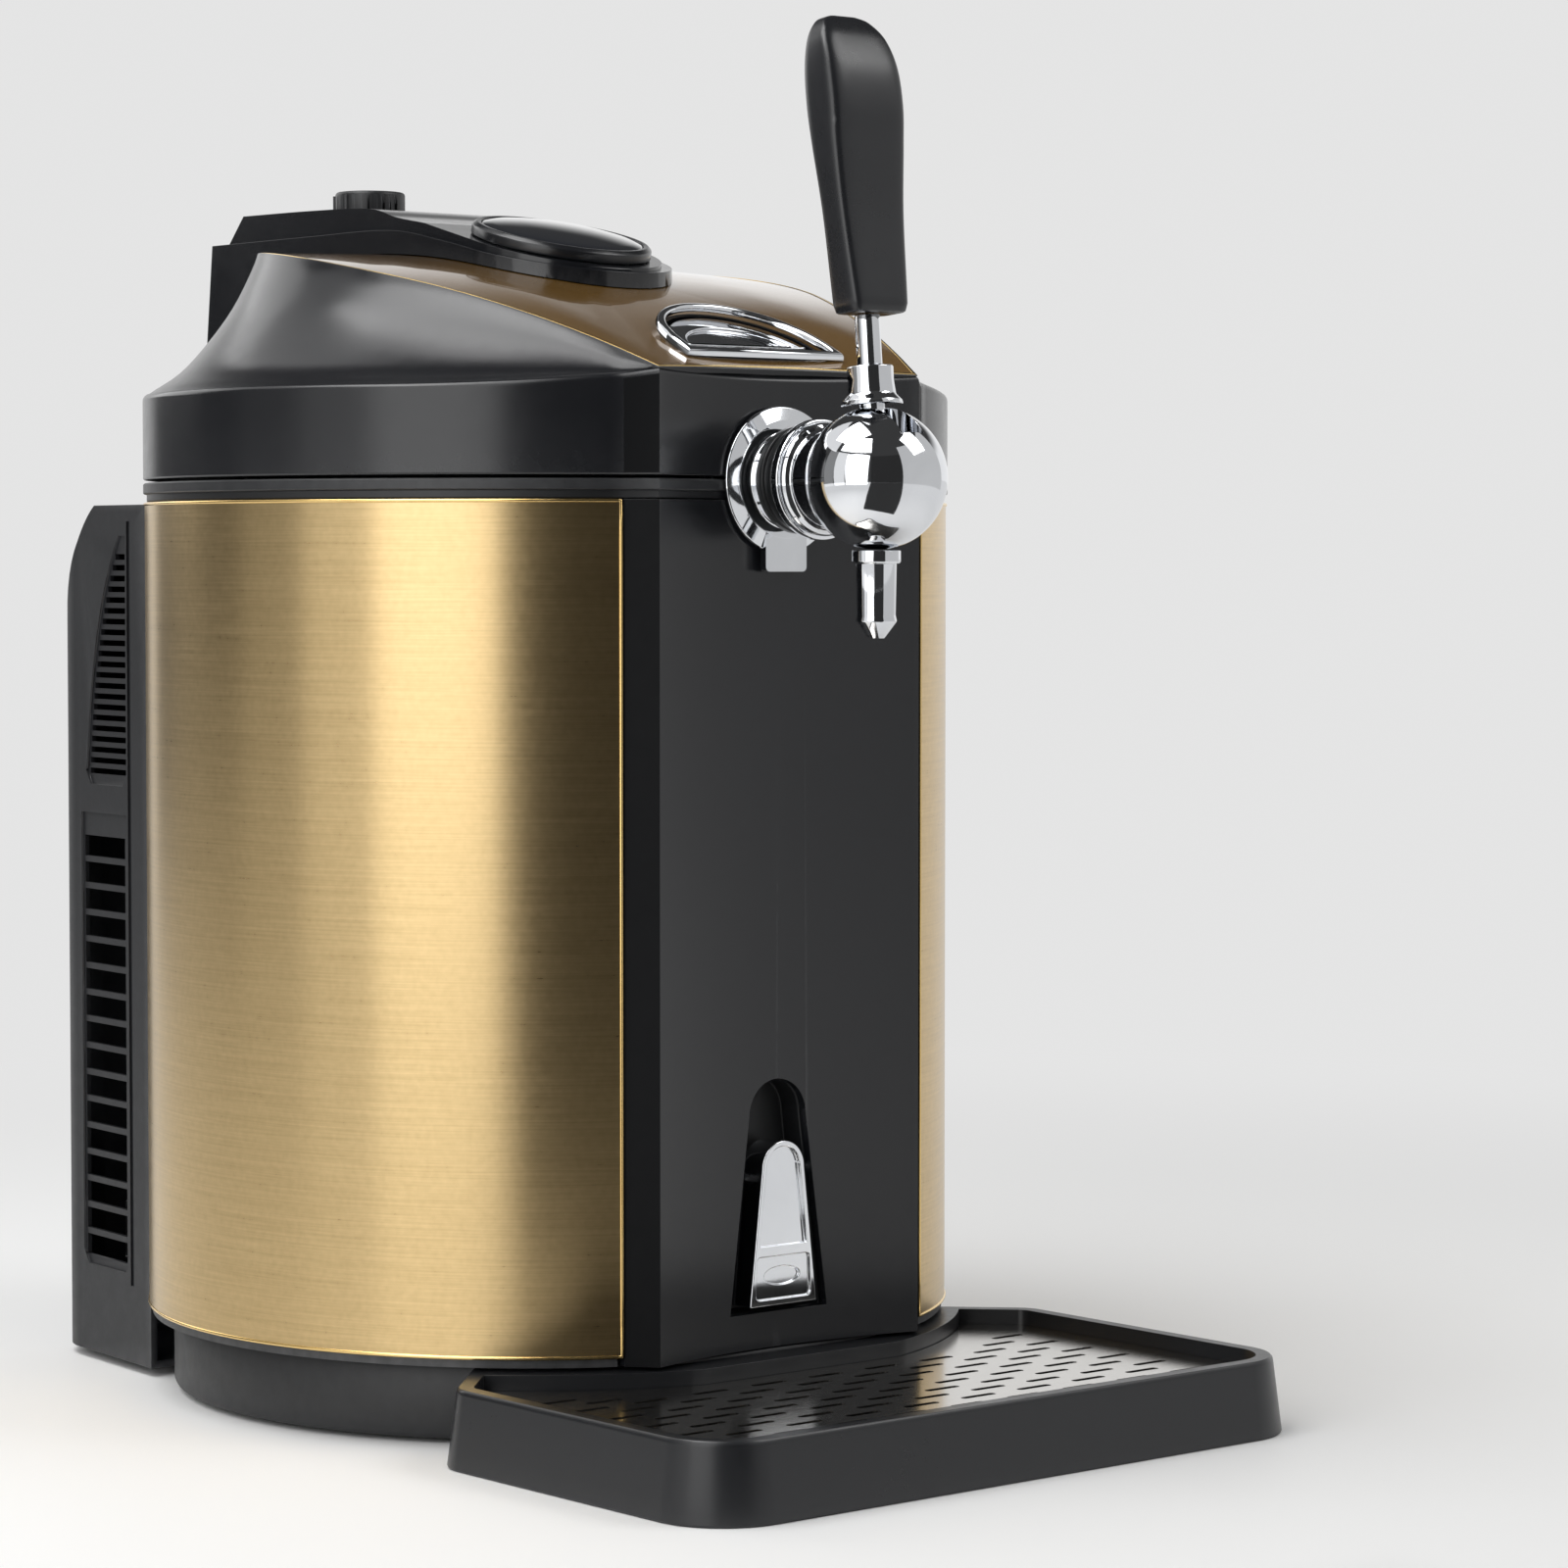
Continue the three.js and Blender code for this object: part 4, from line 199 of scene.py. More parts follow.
def settled(mesh, crease=32):
    """Merges doubles, turns the faces outwards and keeps edges above the crease angle sharp."""
    work = bmesh.new()
    work.from_mesh(mesh)
    bmesh.ops.remove_doubles(work, verts=work.verts, dist=1e-6)
    bmesh.ops.dissolve_degenerate(work, edges=work.edges, dist=1e-7)
    bmesh.ops.recalc_face_normals(work, faces=work.faces)
    work.to_mesh(mesh)
    work.free()
    mesh.shade_smooth()
    mesh.set_sharp_from_angle(angle=math.radians(crease))
    return mesh


def made(name, form, finish, crease=32):
    """A piece from points in millimetres and faces."""
    points, faces = form[0], form[1]
    mesh = bpy.data.meshes.new(name)
    mesh.from_pydata([spot(*p) for p in points], [], faces)
    for one in finish if isinstance(finish, list) else [finish]:
        mesh.materials.append(one)
    if len(form) > 2:
        mesh.polygons.foreach_set("material_index", form[2])
    return put(name, settled(mesh, crease))


def rounded(outline, rows=4):
    """A closed outline of (a, b, radius) with its corners rounded."""
    result = []
    for i, (a, b, radius) in enumerate(outline):
        here = Vector((a, b))
        if not radius:
            result.append((a, b))
            continue
        before = (Vector(outline[i - 1][:2]) - here).normalized()
        after = (Vector(outline[(i + 1) % len(outline)][:2]) - here).normalized()
        half = before.angle(after) / 2
        centre = here + (before + after).normalized() * (radius / math.sin(half))
        first = here + before * (radius / math.tan(half)) - centre
        last = here + after * (radius / math.tan(half)) - centre
        turn = first.angle(last)
        for k in range(rows + 1):
            share = k / rows
            lean = first * math.sin((1 - share) * turn) + last * math.sin(share * turn)
            point = centre + lean / math.sin(turn)
            result.append((point.x, point.y))
    return result


def skin(rings, closed=False):
    """Faces over rings of points; closed runs back to the first ring, otherwise both ends are capped."""
    count = len(rings[0])
    points = [p for ring in rings for p in ring]
    faces = []
    for k in range(len(rings) if closed else len(rings) - 1):
        low, high = k * count, (k + 1) % len(rings) * count
        for i in range(count):
            j = (i + 1) % count
            faces.append((low + i, low + j, high + j, high + i))
    if not closed:
        faces.append(tuple(reversed(range(count))))
        faces.append(tuple(range(len(points) - count, len(points))))
    return points, faces


def turned(profile, steps=96):
    """A closed profile of (radius, height) turned about the vertical."""
    rings = []
    for r, z in profile:
        rings.append([(r * math.cos(a), r * math.sin(a), z)
                      for a in (2 * math.pi * i / steps for i in range(steps))])
    return skin(rings, closed=True)


foot = made("rubber_foot_ring",
            turned(rounded([(96.2, 0, 0.5), (113.8, 0, 0.5), (113.8, 1.5, 0.3), (96.2, 1.5, 0.3)]),
                   128), soft_rubber)


def carried(piece, body, *nodes):
    """The piece rides on a body and stands for those nodes of the model."""
    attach(piece, body)
    if nodes:
        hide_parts(*nodes)
    return piece


carried(foot, "base", "rubber_foot")

pan_levels = [(2.2, 1.5), (0.7, 2.1), (0, 3.4), (0, 25.1), (0.3, 25.7), (1, 26), (2.7, 26), (3, 25.6),
              (3, 4.5)]


def layers(plan, levels):
    """The rings of a plan at some (inset, height) levels."""
    return [[(x, y, z) for x, y in plan(inset)] for inset, z in levels]


def cut_circle(radius, front, inset=0.0, steps=120):
    """A circle with a flat front at the given distance, drawn in by an inset."""
    r, reach = radius - inset, front - inset
    edge = math.acos(min(1, reach / r))
    arc = [edge + (2 * math.pi - 2 * edge) * i / steps for i in range(steps + 1)]
    return [(r * math.sin(a), -r * math.cos(a)) for a in arc]


pan_rings = layers(lambda inset: cut_circle(128.65, 122.5, inset), pan_levels)
carried(made("plinth_pan", skin(pan_rings), base_black), "base", "base_plinth")

# Body shell and front panel.
# The black shell is a rolled wall behind the gold panels. The front panel is a separate moulding
# with a shallow hollow face and a chamfer on each side, snapped into the shell's edges.
FACE_HALF, FACE_DEPTH, FACE_SAG = 54.9, 130.1, 7.6
CHAMFER_HALF, BARREL = 63.0, 137.5
PANEL_FOOT, PANEL_TOP = 26.3, 302

shell_edge = math.degrees(math.asin(CHAMFER_HALF / 133.4))


def ring_band(inner, outer, first, last, low, high, steps=120):
    """A wall between two radii, two angles from the front and two heights."""
    rings = []
    for i in range(steps + 1):
        a = math.radians(first + (last - first) * i / steps)
        rings.append([(r * math.sin(a), -r * math.cos(a), z)
                      for r, z in ((outer, low), (outer, high), (inner, high), (inner, low))])
    return skin(rings)


shell = made("rolled_shell",
             ring_band(133.4, 135.95, shell_edge, 360 - shell_edge, PANEL_FOOT, PANEL_TOP), base_black)


def baked(piece):
    """The piece's modifiers turned into plain mesh."""
    graph = bpy.context.evaluated_depsgraph_get()
    graph.update()
    mesh = bpy.data.meshes.new_from_object(piece.evaluated_get(graph), preserve_all_data_layers=True,
                                           depsgraph=graph)
    piece.modifiers.clear()
    piece.data = mesh
    return piece


def evened(piece):
    """Evens the shading of the flats beside rounded edges."""
    even = piece.modifiers.new("even", "WEIGHTED_NORMAL")
    even.keep_sharp = True
    return baked(piece)


def carved(piece, tools, way="DIFFERENCE", crease=32):
    """Cuts, joins or trims the piece with other solids, which are used up."""
    for tool in tools:
        step = piece.modifiers.new("carve", "BOOLEAN")
        step.operation = way
        step.solver = "EXACT"
        step.object = tool
        baked(piece)
        bpy.data.objects.remove(tool)
    settled(piece.data, crease)
    return evened(piece)


def prism(outline, low, high):
    """A plan outline raised between two heights."""
    return skin([[(x, y, low) for x, y in outline], [(x, y, high) for x, y in outline]])


def block(x0, y0, z0, x1, y1, z1):
    """A box between two corners."""
    return prism([(x0, y0), (x1, y0), (x1, y1), (x0, y1)], z0, z1)


carved(shell, [made("cooler_window", block(-45.6, 20, 74.4, 45.6, 150, 165.6), base_black)])
carried(shell, "base", "body_shell")

front_satin = finished("front_panel_moulding", moulded, {"Grain": 1700.0, "Drift": 9.0}, "#131417",
                       "#1b1c1f", (0.2, 0.28), 0.05, wear=0.15)
# The chamfer finish is matt with little specular, and its tint is darker than the front panel's: painted
# shade for the dark strip beside the face.
matt_shaded_edge = finished("matt_chamfer", moulded, {"Grain": 1300.0}, "#090a0c", "#0f1012", (0.5, 0.62), 0.1,
                     Specular_IOR_Level=0.12)

half = CHAMFER_HALF - 0.6
depth_there = math.sqrt(BARREL ** 2 - half ** 2)


def face_sag(x):
    """How far the hollow face lies behind its own edges' line."""
    return FACE_SAG * max(0.0, 1 - (x / FACE_HALF) ** 2)


def face_points(inset=0.0, rows=28):
    """The hollow front face in plan."""
    squeeze = (FACE_HALF - inset / 2) / FACE_HALF
    run = [FACE_HALF * (2 * i / rows - 1) for i in range(rows + 1)]
    return [(x * squeeze, -(FACE_DEPTH - inset - face_sag(x))) for x in run]


front_outline = [(-half, -depth_there + 1.2)] + face_points(0, 40)
front_outline += [(half, -depth_there + 1.2), (half, -depth_there + 4.2)]
front_outline += list(reversed(face_points(3, 40))) + [(-half, -depth_there + 4.2)]
front = made("hollow_front_panel", prism(front_outline, PANEL_FOOT, PANEL_TOP), front_satin)

TAP_HEIGHT, SHANK_BORE = 308.5, 8.3


def forward(form):
    """Lays an upright form along the tap's axis, its height to the front."""
    return [(x, -z, y + TAP_HEIGHT) for x, y, z in form[0]], form[1]


def shank_way(finish, near=90, far=140):
    """What clears a way for the tap's shank."""
    return made("shank_way", forward(drum(SHANK_BORE, near, far)), finish)


def drum(radius, low, high, steps=64):
    """A round bar or disc between two heights."""
    ring = [(radius * math.cos(2 * math.pi * i / steps), radius * math.sin(2 * math.pi * i / steps))
            for i in range(steps)]
    return prism(ring, low, high)


def front_prism(outline, near, far):
    """A front outline of (x, z) between two distances in front of the axis."""
    return skin([[(x, -near, z) for x, z in outline], [(x, -far, z) for x, z in outline]])


def round_topped(foot, low, radius, middle, steps):
    """Seen from the front: a straight foot, leaning sides and a round top."""
    outline = [(-foot, low), (foot, low)]
    for i in range(steps + 1):
        a = math.pi * i / steps
        outline.append((radius * math.cos(a), middle + radius * math.sin(a)))
    return outline


def arch(grow=0.0):
    """The arched recess."""
    return round_topped(20.6 + grow, 38 - grow, 12 + grow, 102, 40)


carved(front, [made("arch_way", front_prism(arch(), 105, 140), front_satin), shank_way(front_satin)])


def eased_edges(piece, width, rows=2, angle=32):
    """Rounds the sharp edges."""
    bevel = piece.modifiers.new("edges", "BEVEL")
    bevel.width = width / 1000
    bevel.segments = rows
    bevel.limit_method = "ANGLE"
    bevel.angle_limit = math.radians(angle)
    bevel.miter_outer = "MITER_ARC"
    return evened(piece)


eased_edges(front, 0.7, 3)


def matt_shaded_chamfers(piece):
    """The narrow chamfers beside the front face take a matt finish in a darker tint; the darker tint is
    painted shade.
    """
    piece.data.materials.append(matt_shaded_edge)
    for face in piece.data.polygons:
        beside = abs(face.center.x) > 0.0547 and face.center.y < -0.078
        if beside and 0.5 < -face.normal.y < 0.85 and abs(face.normal.z) < 0.1 and abs(face.normal.x) > 0.5:
            face.material_index = len(piece.data.materials) - 1


matt_shaded_chamfers(front)
carried(front, "base", "front_panel")

cup = made("arch_cup", front_prism(arch(1.8), 108.6, 119.2), base_black)
carved(cup, [made("arch_hollow", front_prism(arch(), 110.4, 125), base_black)])
eased_edges(cup, 0.4)
carried(cup, "base", "recess_cup")

# Push lever in the arch.
# A chromed lever hangs on a steel pin in the arch, and a glass pressed against its foot would swing
# it back. Its face is dished inside a round-topped rim, with a rib and an oval boss near the foot.
chrome_marks, marks_in, marks_out = pattern_group("polish_haze", {"Scale": 30.0}, ["Tone", "Gloss", "Height"])
haze_place = node(chrome_marks, "ShaderNodeTexCoord").outputs["Object"]
haze = node(chrome_marks, "ShaderNodeTexNoise",
            {"Vector": haze_place, "Scale": marks_in.outputs["Scale"], "Detail": 5.0,
             "Distortion": 1.2})
hairs = node(chrome_marks, "ShaderNodeTexNoise", {"Vector": haze_place, "Scale": 900.0, "Detail": 2.0})
joined(haze.outputs[0], marks_out.inputs["Tone"])
joined(haze.outputs[0], marks_out.inputs["Gloss"])
joined(hairs.outputs[0], marks_out.inputs["Height"])

chrome = finished("chrome_plating", chrome_marks, {}, "#d6d8dc", "#eceef1", (0.03, 0.08), 0.015, Metallic=1.0)
pin_steel = finished("turned_steel", chrome_marks, {"Scale": 90.0}, "#a5a6a8", "#c4c5c7", (0.22, 0.34),
                     0.05, Metallic=1.0)

FACE_CENTRE = FACE_DEPTH - FACE_SAG
lever_face = FACE_CENTRE + 3.4


def lever_outline(grow=0.0):
    """The push lever inside the arch."""
    return round_topped(14 + grow, 40.5 - grow, 8.8 + grow, 85.2, 36)


paddle = made("dished_push_lever", front_prism(lever_outline(), lever_face - 10, lever_face), chrome)
dish = made("lever_dish", front_prism(lever_outline(-1.8), lever_face - 1.4, lever_face + 4), chrome)
carved(dish, [made("dish_foot", block(-20, -140, 30, 20, -100, 60), chrome)])
foot_dish = made("foot_dish",
                 front_prism(rounded([(-11.6, 42.6, 1.5), (11.6, 42.6, 1.5), (11, 56.6, 1.5),
                                      (-11, 56.6, 1.5)]), lever_face - 0.9, lever_face + 4), chrome)
ring_cut = made("oval_ring",
                front_prism([(7.5 * math.cos(a / 24 * math.pi), 50 + 3 * math.sin(a / 24 * math.pi))
                             for a in range(48)], lever_face - 1.9, lever_face + 4), chrome)


def sideways(form, y=0, z=0):
    """Lays an upright form along X."""
    return [(c, b + y, a + z) for a, b, c in form[0]], form[1]


pin_way = made("lever_bore", sideways(drum(2, -25, 25, 24), -115.2, 82), chrome)
carved(paddle, [dish, foot_dish, ring_cut, pin_way])
eased_edges(paddle, 0.45, 3)
carried(paddle, "push_paddle", "push_paddle")


def copied(name, finish, crease=32):
    """A copy of a node's mesh, merged and with its flats made whole, to be refined."""
    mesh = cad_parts[name].data.copy()
    mesh.name = name + "_fine"
    mesh.materials.clear()
    mesh.materials.append(finish)
    work = bmesh.new()
    work.from_mesh(mesh)
    bmesh.ops.remove_doubles(work, verts=work.verts, dist=2e-6)
    bmesh.ops.dissolve_limit(work, angle_limit=math.radians(0.6), verts=work.verts, edges=work.edges)
    work.to_mesh(mesh)
    work.free()
    mesh.polygons.foreach_set("material_index", [0] * len(mesh.polygons))
    mesh.shade_smooth()
    mesh.set_sharp_from_angle(angle=math.radians(crease))
    return put(name + "_fine", mesh)


def refined(name, body, finish, width, rows=2, angle=32, crease=32):
    """A node's own shape with its edges eased, riding on its body."""
    piece = copied(name, finish, crease)
    eased_edges(piece, width, rows, angle)
    return carried(piece, body, name)


refined("paddle_pin", "base", pin_steel, 0.25, angle=50, crease=50)

# Gold side panels.
# Two sheets of brushed stainless steel in champagne gold are rolled round the shell, from the front
# chamfers to the rear housing. A fine bright bead frames each sheet.


def growth(name, *labels):
    """An empty geometry tree with named inputs and a finish."""
    kinds = {"Count": "Int", "Finish": "Material"}
    kinds.update(dict.fromkeys(("First", "Step", "Size", "Centre", "Middle"), "Vector"))
    tree = bpy.data.node_groups.new(name, "GeometryNodeTree")
    tree.interface.new_socket("Geometry", in_out="INPUT", socket_type="NodeSocketGeometry")
    for label in labels + ("Finish",):
        tree.interface.new_socket(label, in_out="INPUT", socket_type="NodeSocket" + kinds.get(label, "Float"))
    tree.interface.new_socket("Geometry", in_out="OUTPUT", socket_type="NodeSocketGeometry")
    given = {socket.name: Value(socket) for socket in tree.nodes.new("NodeGroupInput").outputs}
    return tree, given, tree.nodes.new("NodeGroupOutput").inputs[0]


sheet_tree, sheet_in, sheet_end = growth("rolled_sheet", "Radius", "First Angle", "Last Angle", "Low",
                                         "High", "Corner", "Setback")
flat = out(sheet_tree, "GeometryNodeMeshGrid",
           {"Size X": 1.0, "Size Y": 1.0, "Vertices X": 140, "Vertices Y": 24})


def places(tree):
    """The x, y and z of each point."""
    parts = node(tree, "ShaderNodeSeparateXYZ", {0: out(tree, "GeometryNodeInputPosition")})
    return [Value(socket) for socket in parts.outputs]


place = places(sheet_tree)
across = place[0] + 0.5
up = place[1] + 0.5
swing = sheet_in["Last Angle"] - sheet_in["First Angle"]
angle = across * swing + sheet_in["First Angle"]
to_rear = reckoned("ABSOLUTE", sheet_in["Last Angle"] - angle) * sheet_in["Radius"]
short = reckoned("MAXIMUM", sheet_in["Corner"] - to_rear, 0.0)
inside = sheet_in["Corner"] * sheet_in["Corner"] - short * short
lift = sheet_in["Corner"] - reckoned("SQRT", reckoned("MAXIMUM", inside, 0.0))
bottom = sheet_in["Low"] + lift
level = up * (sheet_in["High"] - bottom) + bottom
east = reckoned("SINE", angle) * sheet_in["Radius"]
north = sheet_in["Setback"] - reckoned("COSINE", angle) * sheet_in["Radius"]


def vector(tree, x=0.0, y=0.0, z=0.0):
    """A vector of three values."""
    return out(tree, "ShaderNodeCombineXYZ", {0: x, 1: y, 2: z})


rolled = vector(sheet_tree, east, north, level)


def ended(tree, shape, finish, end):
    """Closes a geometry tree: instances become real and take their finish."""
    real = out(tree, "GeometryNodeRealizeInstances", {0: shape})
    painted = out(tree, "GeometryNodeSetMaterial", {"Geometry": real, "Material": finish})
    joined(painted, end)


ended(sheet_tree, out(sheet_tree, "GeometryNodeSetPosition", {"Geometry": flat, "Position": rolled}),
      sheet_in["Finish"], sheet_end)

bead_tree, bead_in, bead_end = growth("edge_bead", "Thickness")
faces_beside = out(bead_tree, "GeometryNodeInputMeshEdgeNeighbors")
rim = out(bead_tree, "FunctionNodeCompare", {2: faces_beside, 3: 1}, data_type="INT", operation="EQUAL")
line = out(bead_tree, "GeometryNodeMeshToCurve", {"Mesh": bead_in["Geometry"], "Selection": rim})
wire = out(bead_tree, "GeometryNodeCurvePrimitiveCircle", {"Resolution": 8, "Radius": bead_in["Thickness"]})
ended(bead_tree, out(bead_tree, "GeometryNodeCurveToMesh", {"Curve": line, "Profile Curve": wire}),
      bead_in["Finish"], bead_end)

# Brushing lines that run round the barrel: fast up the height, slow along the sheet.
brushed, brush_in, brush_out = pattern_group("brushed_lines",
                                             {"Run X": 20.0, "Run Y": 20.0, "Run Z": 1500.0},
                                             ["Tone", "Gloss", "Height"])
brush_place = node(brushed, "ShaderNodeTexCoord").outputs["Object"]
runs = vector(brushed, brush_in.outputs["Run X"], brush_in.outputs["Run Y"], brush_in.outputs["Run Z"])
drawn = out(brushed, "ShaderNodeVectorMath", {0: brush_place, 1: runs}, operation="MULTIPLY")
lines = out(brushed, "ShaderNodeTexNoise", {"Vector": drawn, "Scale": 1.0, "Detail": 3.0, "Roughness": 0.65})
wide = out(brushed, "ShaderNodeTexNoise",
           {"Vector": out(brushed, "ShaderNodeVectorMath", {0: drawn, 1: (1.6, 1.6, 0.18)},
                          operation="MULTIPLY"), "Scale": 1.0, "Detail": 2.0})
flecks = out(brushed, "ShaderNodeTexNoise", {"Vector": brush_place, "Scale": 420.0, "Detail": 1.0})
joined(lines * 0.65 + (wide * 0.1 + flecks * 0.25), brush_out.inputs["Tone"])
joined(lines * 0.55 + (wide * 0.15 + flecks * 0.3), brush_out.inputs["Gloss"])
joined(lines, brush_out.inputs["Height"])

gold_brushed = finished("brushed_champagne_gold", brushed, {}, "#a78e62", "#e2c795", (0.27, 0.31),
                        0.004, depth=0.05, Metallic=1.0, Anisotropic=0.6, Anisotropic_Rotation=0.25)
gold_bead = finished("bright_gold_edge", chrome_marks, {}, "#e0bb76", "#f2d595", (0.16, 0.24), 0.02,
                     Metallic=1.0)


def cleaned(piece, crease=32):
    """Modifiers turned into plain mesh, with its doubles merged."""
    baked(piece)
    settled(piece.data, crease)
    return piece


def grown(piece, tree, **values):
    """Adds a geometry tree to a piece and sets its inputs by their identifiers."""
    step = piece.modifiers.new(tree.name, "NODES")
    step.node_group = tree
    for item in tree.interface.items_tree:
        if item.in_out == "INPUT" and item.name.replace(" ", "_").lower() in values:
            step[item.identifier] = values[item.name.replace(" ", "_").lower()]
    return piece


for side, title in ((-1, "left"), (1, "right")):
    first = side * math.asin(CHAMFER_HALF / 136.3)
    last = side * math.radians(129)
    sheet = grown(put("gold_sheet_" + title, bpy.data.meshes.new("gold_sheet_" + title)), sheet_tree,
                  radius=0.1370, first_angle=first, last_angle=last, low=0.0291, high=0.302,
                  corner=0.009, setback=AXIS_BACK / 1000, finish=gold_brushed)
    wall = sheet.modifiers.new("wall", "SOLIDIFY")
    wall.thickness = 0.001
    wall.offset = -1 if side > 0 else 1
    carried(cleaned(sheet, 40), "base", "gold_panel_" + title)
    bead = grown(put("gold_bead_" + title, bpy.data.meshes.new("gold_bead_" + title)), sheet_tree,
                 radius=0.13682, first_angle=first * 1.003, last_angle=last * 0.998, low=0.0296,
                 high=0.3015, corner=0.009, setback=AXIS_BACK / 1000, finish=gold_bead)
    grown(bead, bead_tree, thickness=0.00066, finish=gold_bead)
    carried(cleaned(bead, 60), "base", "gold_panel_" + title)

# Top ring, keg well and cold parts.
# A stepped ring closes the body, with the mouth for the keg, a saddle for the tap and two slots for
# the latch. The aluminium well hangs in it, set in foam, with the cold block against its back.
ring_levels = [(1.5, 302.3), (1.2, 302.6), (1.2, 304.7), (0.3, 304.95), (0, 305.3), (0, 308.1), (0.5, 308.6)]


def body_plan(inset=0.0, rows=28, steps=150):
    """The hollow face, a chamfer on each side and the round barrel."""
    edge = math.asin(CHAMFER_HALF / BARREL)
    arc = [edge + (2 * math.pi - 2 * edge) * i / steps for i in range(steps + 1)]
    r = BARREL - inset
    return face_points(inset, rows) + [(r * math.sin(a), -r * math.cos(a)) for a in arc]


ring_rings = layers(body_plan, ring_levels)


def mouth_circle(radius):
    """A circle with its points in the directions of the body plan's points."""
    return [(x * radius / math.hypot(x, y), y * radius / math.hypot(x, y)) for x, y in body_plan()]


ring_rings += layers(mouth_circle, ((95.5, 308.6), (95, 308.1), (95, 302.8), (95.5, 302.3)))
ring = made("stepped_ring", skin(ring_rings, closed=True), satin_black)
nut_way = made("nut_way", forward(drum(14.6, 112, 119.8)), satin_black)
slots = [made("hook_way", block(x - 1.9, -114.9, 300, x + 1.9, -97.9, 315), satin_black) for x in (-20, 20)]
carved(ring, [nut_way, shank_way(satin_black)] + slots, crease=28)
carried(ring, "base", "top_ring")

spun_aluminium = finished("spun_aluminium", brushed, {}, "#a9adb1", "#c9ccd0", (0.3, 0.44), 0.05,
                          depth=0.05, Metallic=1.0, Anisotropic=0.4)
white_foam = finished("moulded_foam", moulded, {"Grain": 420.0}, "#dcdcd4", "#eeeee8", (0.85, 0.95), 0.5)
ceramic = finished("module_ceramic", moulded, {"Grain": 2000.0}, "#dfdfdf", "#ececec", (0.5, 0.6), 0.05)
grey_plastic = finished("grey_moulding", moulded, {"Grain": 1600.0}, "#7f8286", "#92959a", (0.4, 0.52),
                        0.1, wear=0.2)

carried(made("spun_well",
             turned(rounded([(0, 36.5, 0), (88.5, 36.5, 3), (88.5, 296, 1), (110, 296, 0.3),
                             (110, 297.5, 0.5), (87, 297.5, 2), (87, 38, 2), (0, 38, 0)]), 128),
             spun_aluminium), "base", "keg_well")
carried(made("ribbed_pad",
             turned(rounded([(0, 38.3, 0), (82, 38.3, 0.5), (82, 41.3, 1), (0, 41.3, 0)]), 96),
             soft_rubber), "base", "keg_pad")


def dressed(name, finish):
    """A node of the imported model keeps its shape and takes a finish."""
    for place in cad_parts[name].material_slots:
        place.material = finish


for name, finish in (("insulation", white_foam), ("cold_block", spun_aluminium), ("peltier_module", ceramic)):
    dressed(name, finish)

comb_tree, comb_in, comb_end = growth("fin_comb", "Count", "First", "Step", "Size")
comb_line = out(comb_tree, "GeometryNodeMeshLine",
                {"Count": comb_in["Count"], "Start Location": comb_in["First"],
                 "Offset": comb_in["Step"]})
comb_fin = out(comb_tree, "GeometryNodeMeshCube", {"Size": comb_in["Size"]})
comb_fins = out(comb_tree, "GeometryNodeInstanceOnPoints", {"Points": comb_line, "Instance": comb_fin})
comb_all = node(comb_tree, "GeometryNodeJoinGeometry", {0: comb_fins})
joined(comb_in["Geometry"], comb_all.inputs[0])
ended(comb_tree, comb_all.outputs[0], comb_in["Finish"], comb_end)

raw_aluminium = finished("extruded_aluminium", brushed, {"Run X": 500.0, "Run Y": 500.0, "Run Z": 12.0},
                         "#9fa3a7", "#bcc0c4", (0.36, 0.5), 0.06, depth=0.05, Metallic=1.0)
sink = made("sink_base", block(-45, 116.6, 75, 45, 121.1, 165), raw_aluminium)
grown(sink, comb_tree, count=13, first=spot(-44.1, 132.55, 120), step=(0.00735, 0, 0),
      size=(0.0018, 0.0232, 0.09), finish=raw_aluminium)
eased_edges(cleaned(sink), 0.15, 1, 50)
carried(sink, "base", "heat_sink")

# Fan, its frame and its guard.
# An axial fan of moulded plastic blows through the heat sink; the frame is screwed to the rear
# housing and a guard of bent steel rings covers the opening.
fan_black = finished("fan_moulding", moulded, {"Grain": 1300.0}, "#17181a", "#222325", (0.38, 0.5), 0.1,
                     wear=0.2)
FAN_REAR, FAN_HEIGHT = 162.2, 120


def rearward(form, x=0, z=0):
    """Lays an upright form along Y, its height to the rear."""
    return [(a + x, c, b + z) for a, b, c in form[0]], form[1]


way = made("fan_way", rearward(drum(42, 140, 170, 96), z=FAN_HEIGHT), fan_black)
frame_box = made("fan_frame_fine", block(-46, FAN_REAR - 15, 74, 46, FAN_REAR, 166), fan_black)
carved(frame_box, [way])
seat_disc = rearward(drum(15, FAN_REAR - 15, FAN_REAR - 12, 48), z=FAN_HEIGHT)
struts = [made("seat", seat_disc, fan_black)]


def swung(place, degrees, axis):
    """Turns what is drawn round the barrel axis and carries it to a place."""
    back = Matrix.Translation((0, -AXIS_BACK / 1000, 0))
    return Matrix.Translation(spot(*place)) @ Matrix.Rotation(math.radians(degrees), 4, axis) @ back


for turn in (45, 135):
    strut = made("strut", block(-42.3, FAN_REAR - 15, -2, 42.3, FAN_REAR - 12, 2), fan_black)
    strut.data.transform(swung((0, 0, FAN_HEIGHT), turn, "Y"))
    struts.append(strut)
carved(frame_box, struts, "UNION")
eased_edges(frame_box, 0.5, 2, 40)
carried(frame_box, "base", "fan_frame")

around_tree, around_in, around_end = growth("blades_around_axis", "Count", "Centre")
around_points = out(around_tree, "GeometryNodePoints",
                    {"Count": around_in["Count"], "Position": around_in["Centre"]})
turn_step = 2 * math.pi / around_in["Count"]
turn_each = turn_step * out(around_tree, "GeometryNodeInputIndex")
turn_vector = vector(around_tree, y=turn_each)
around_all = out(around_tree, "GeometryNodeInstanceOnPoints",
                 {"Points": around_points, "Instance": around_in["Geometry"], "Rotation": turn_vector})
ended(around_tree, around_all, around_in["Finish"], around_end)

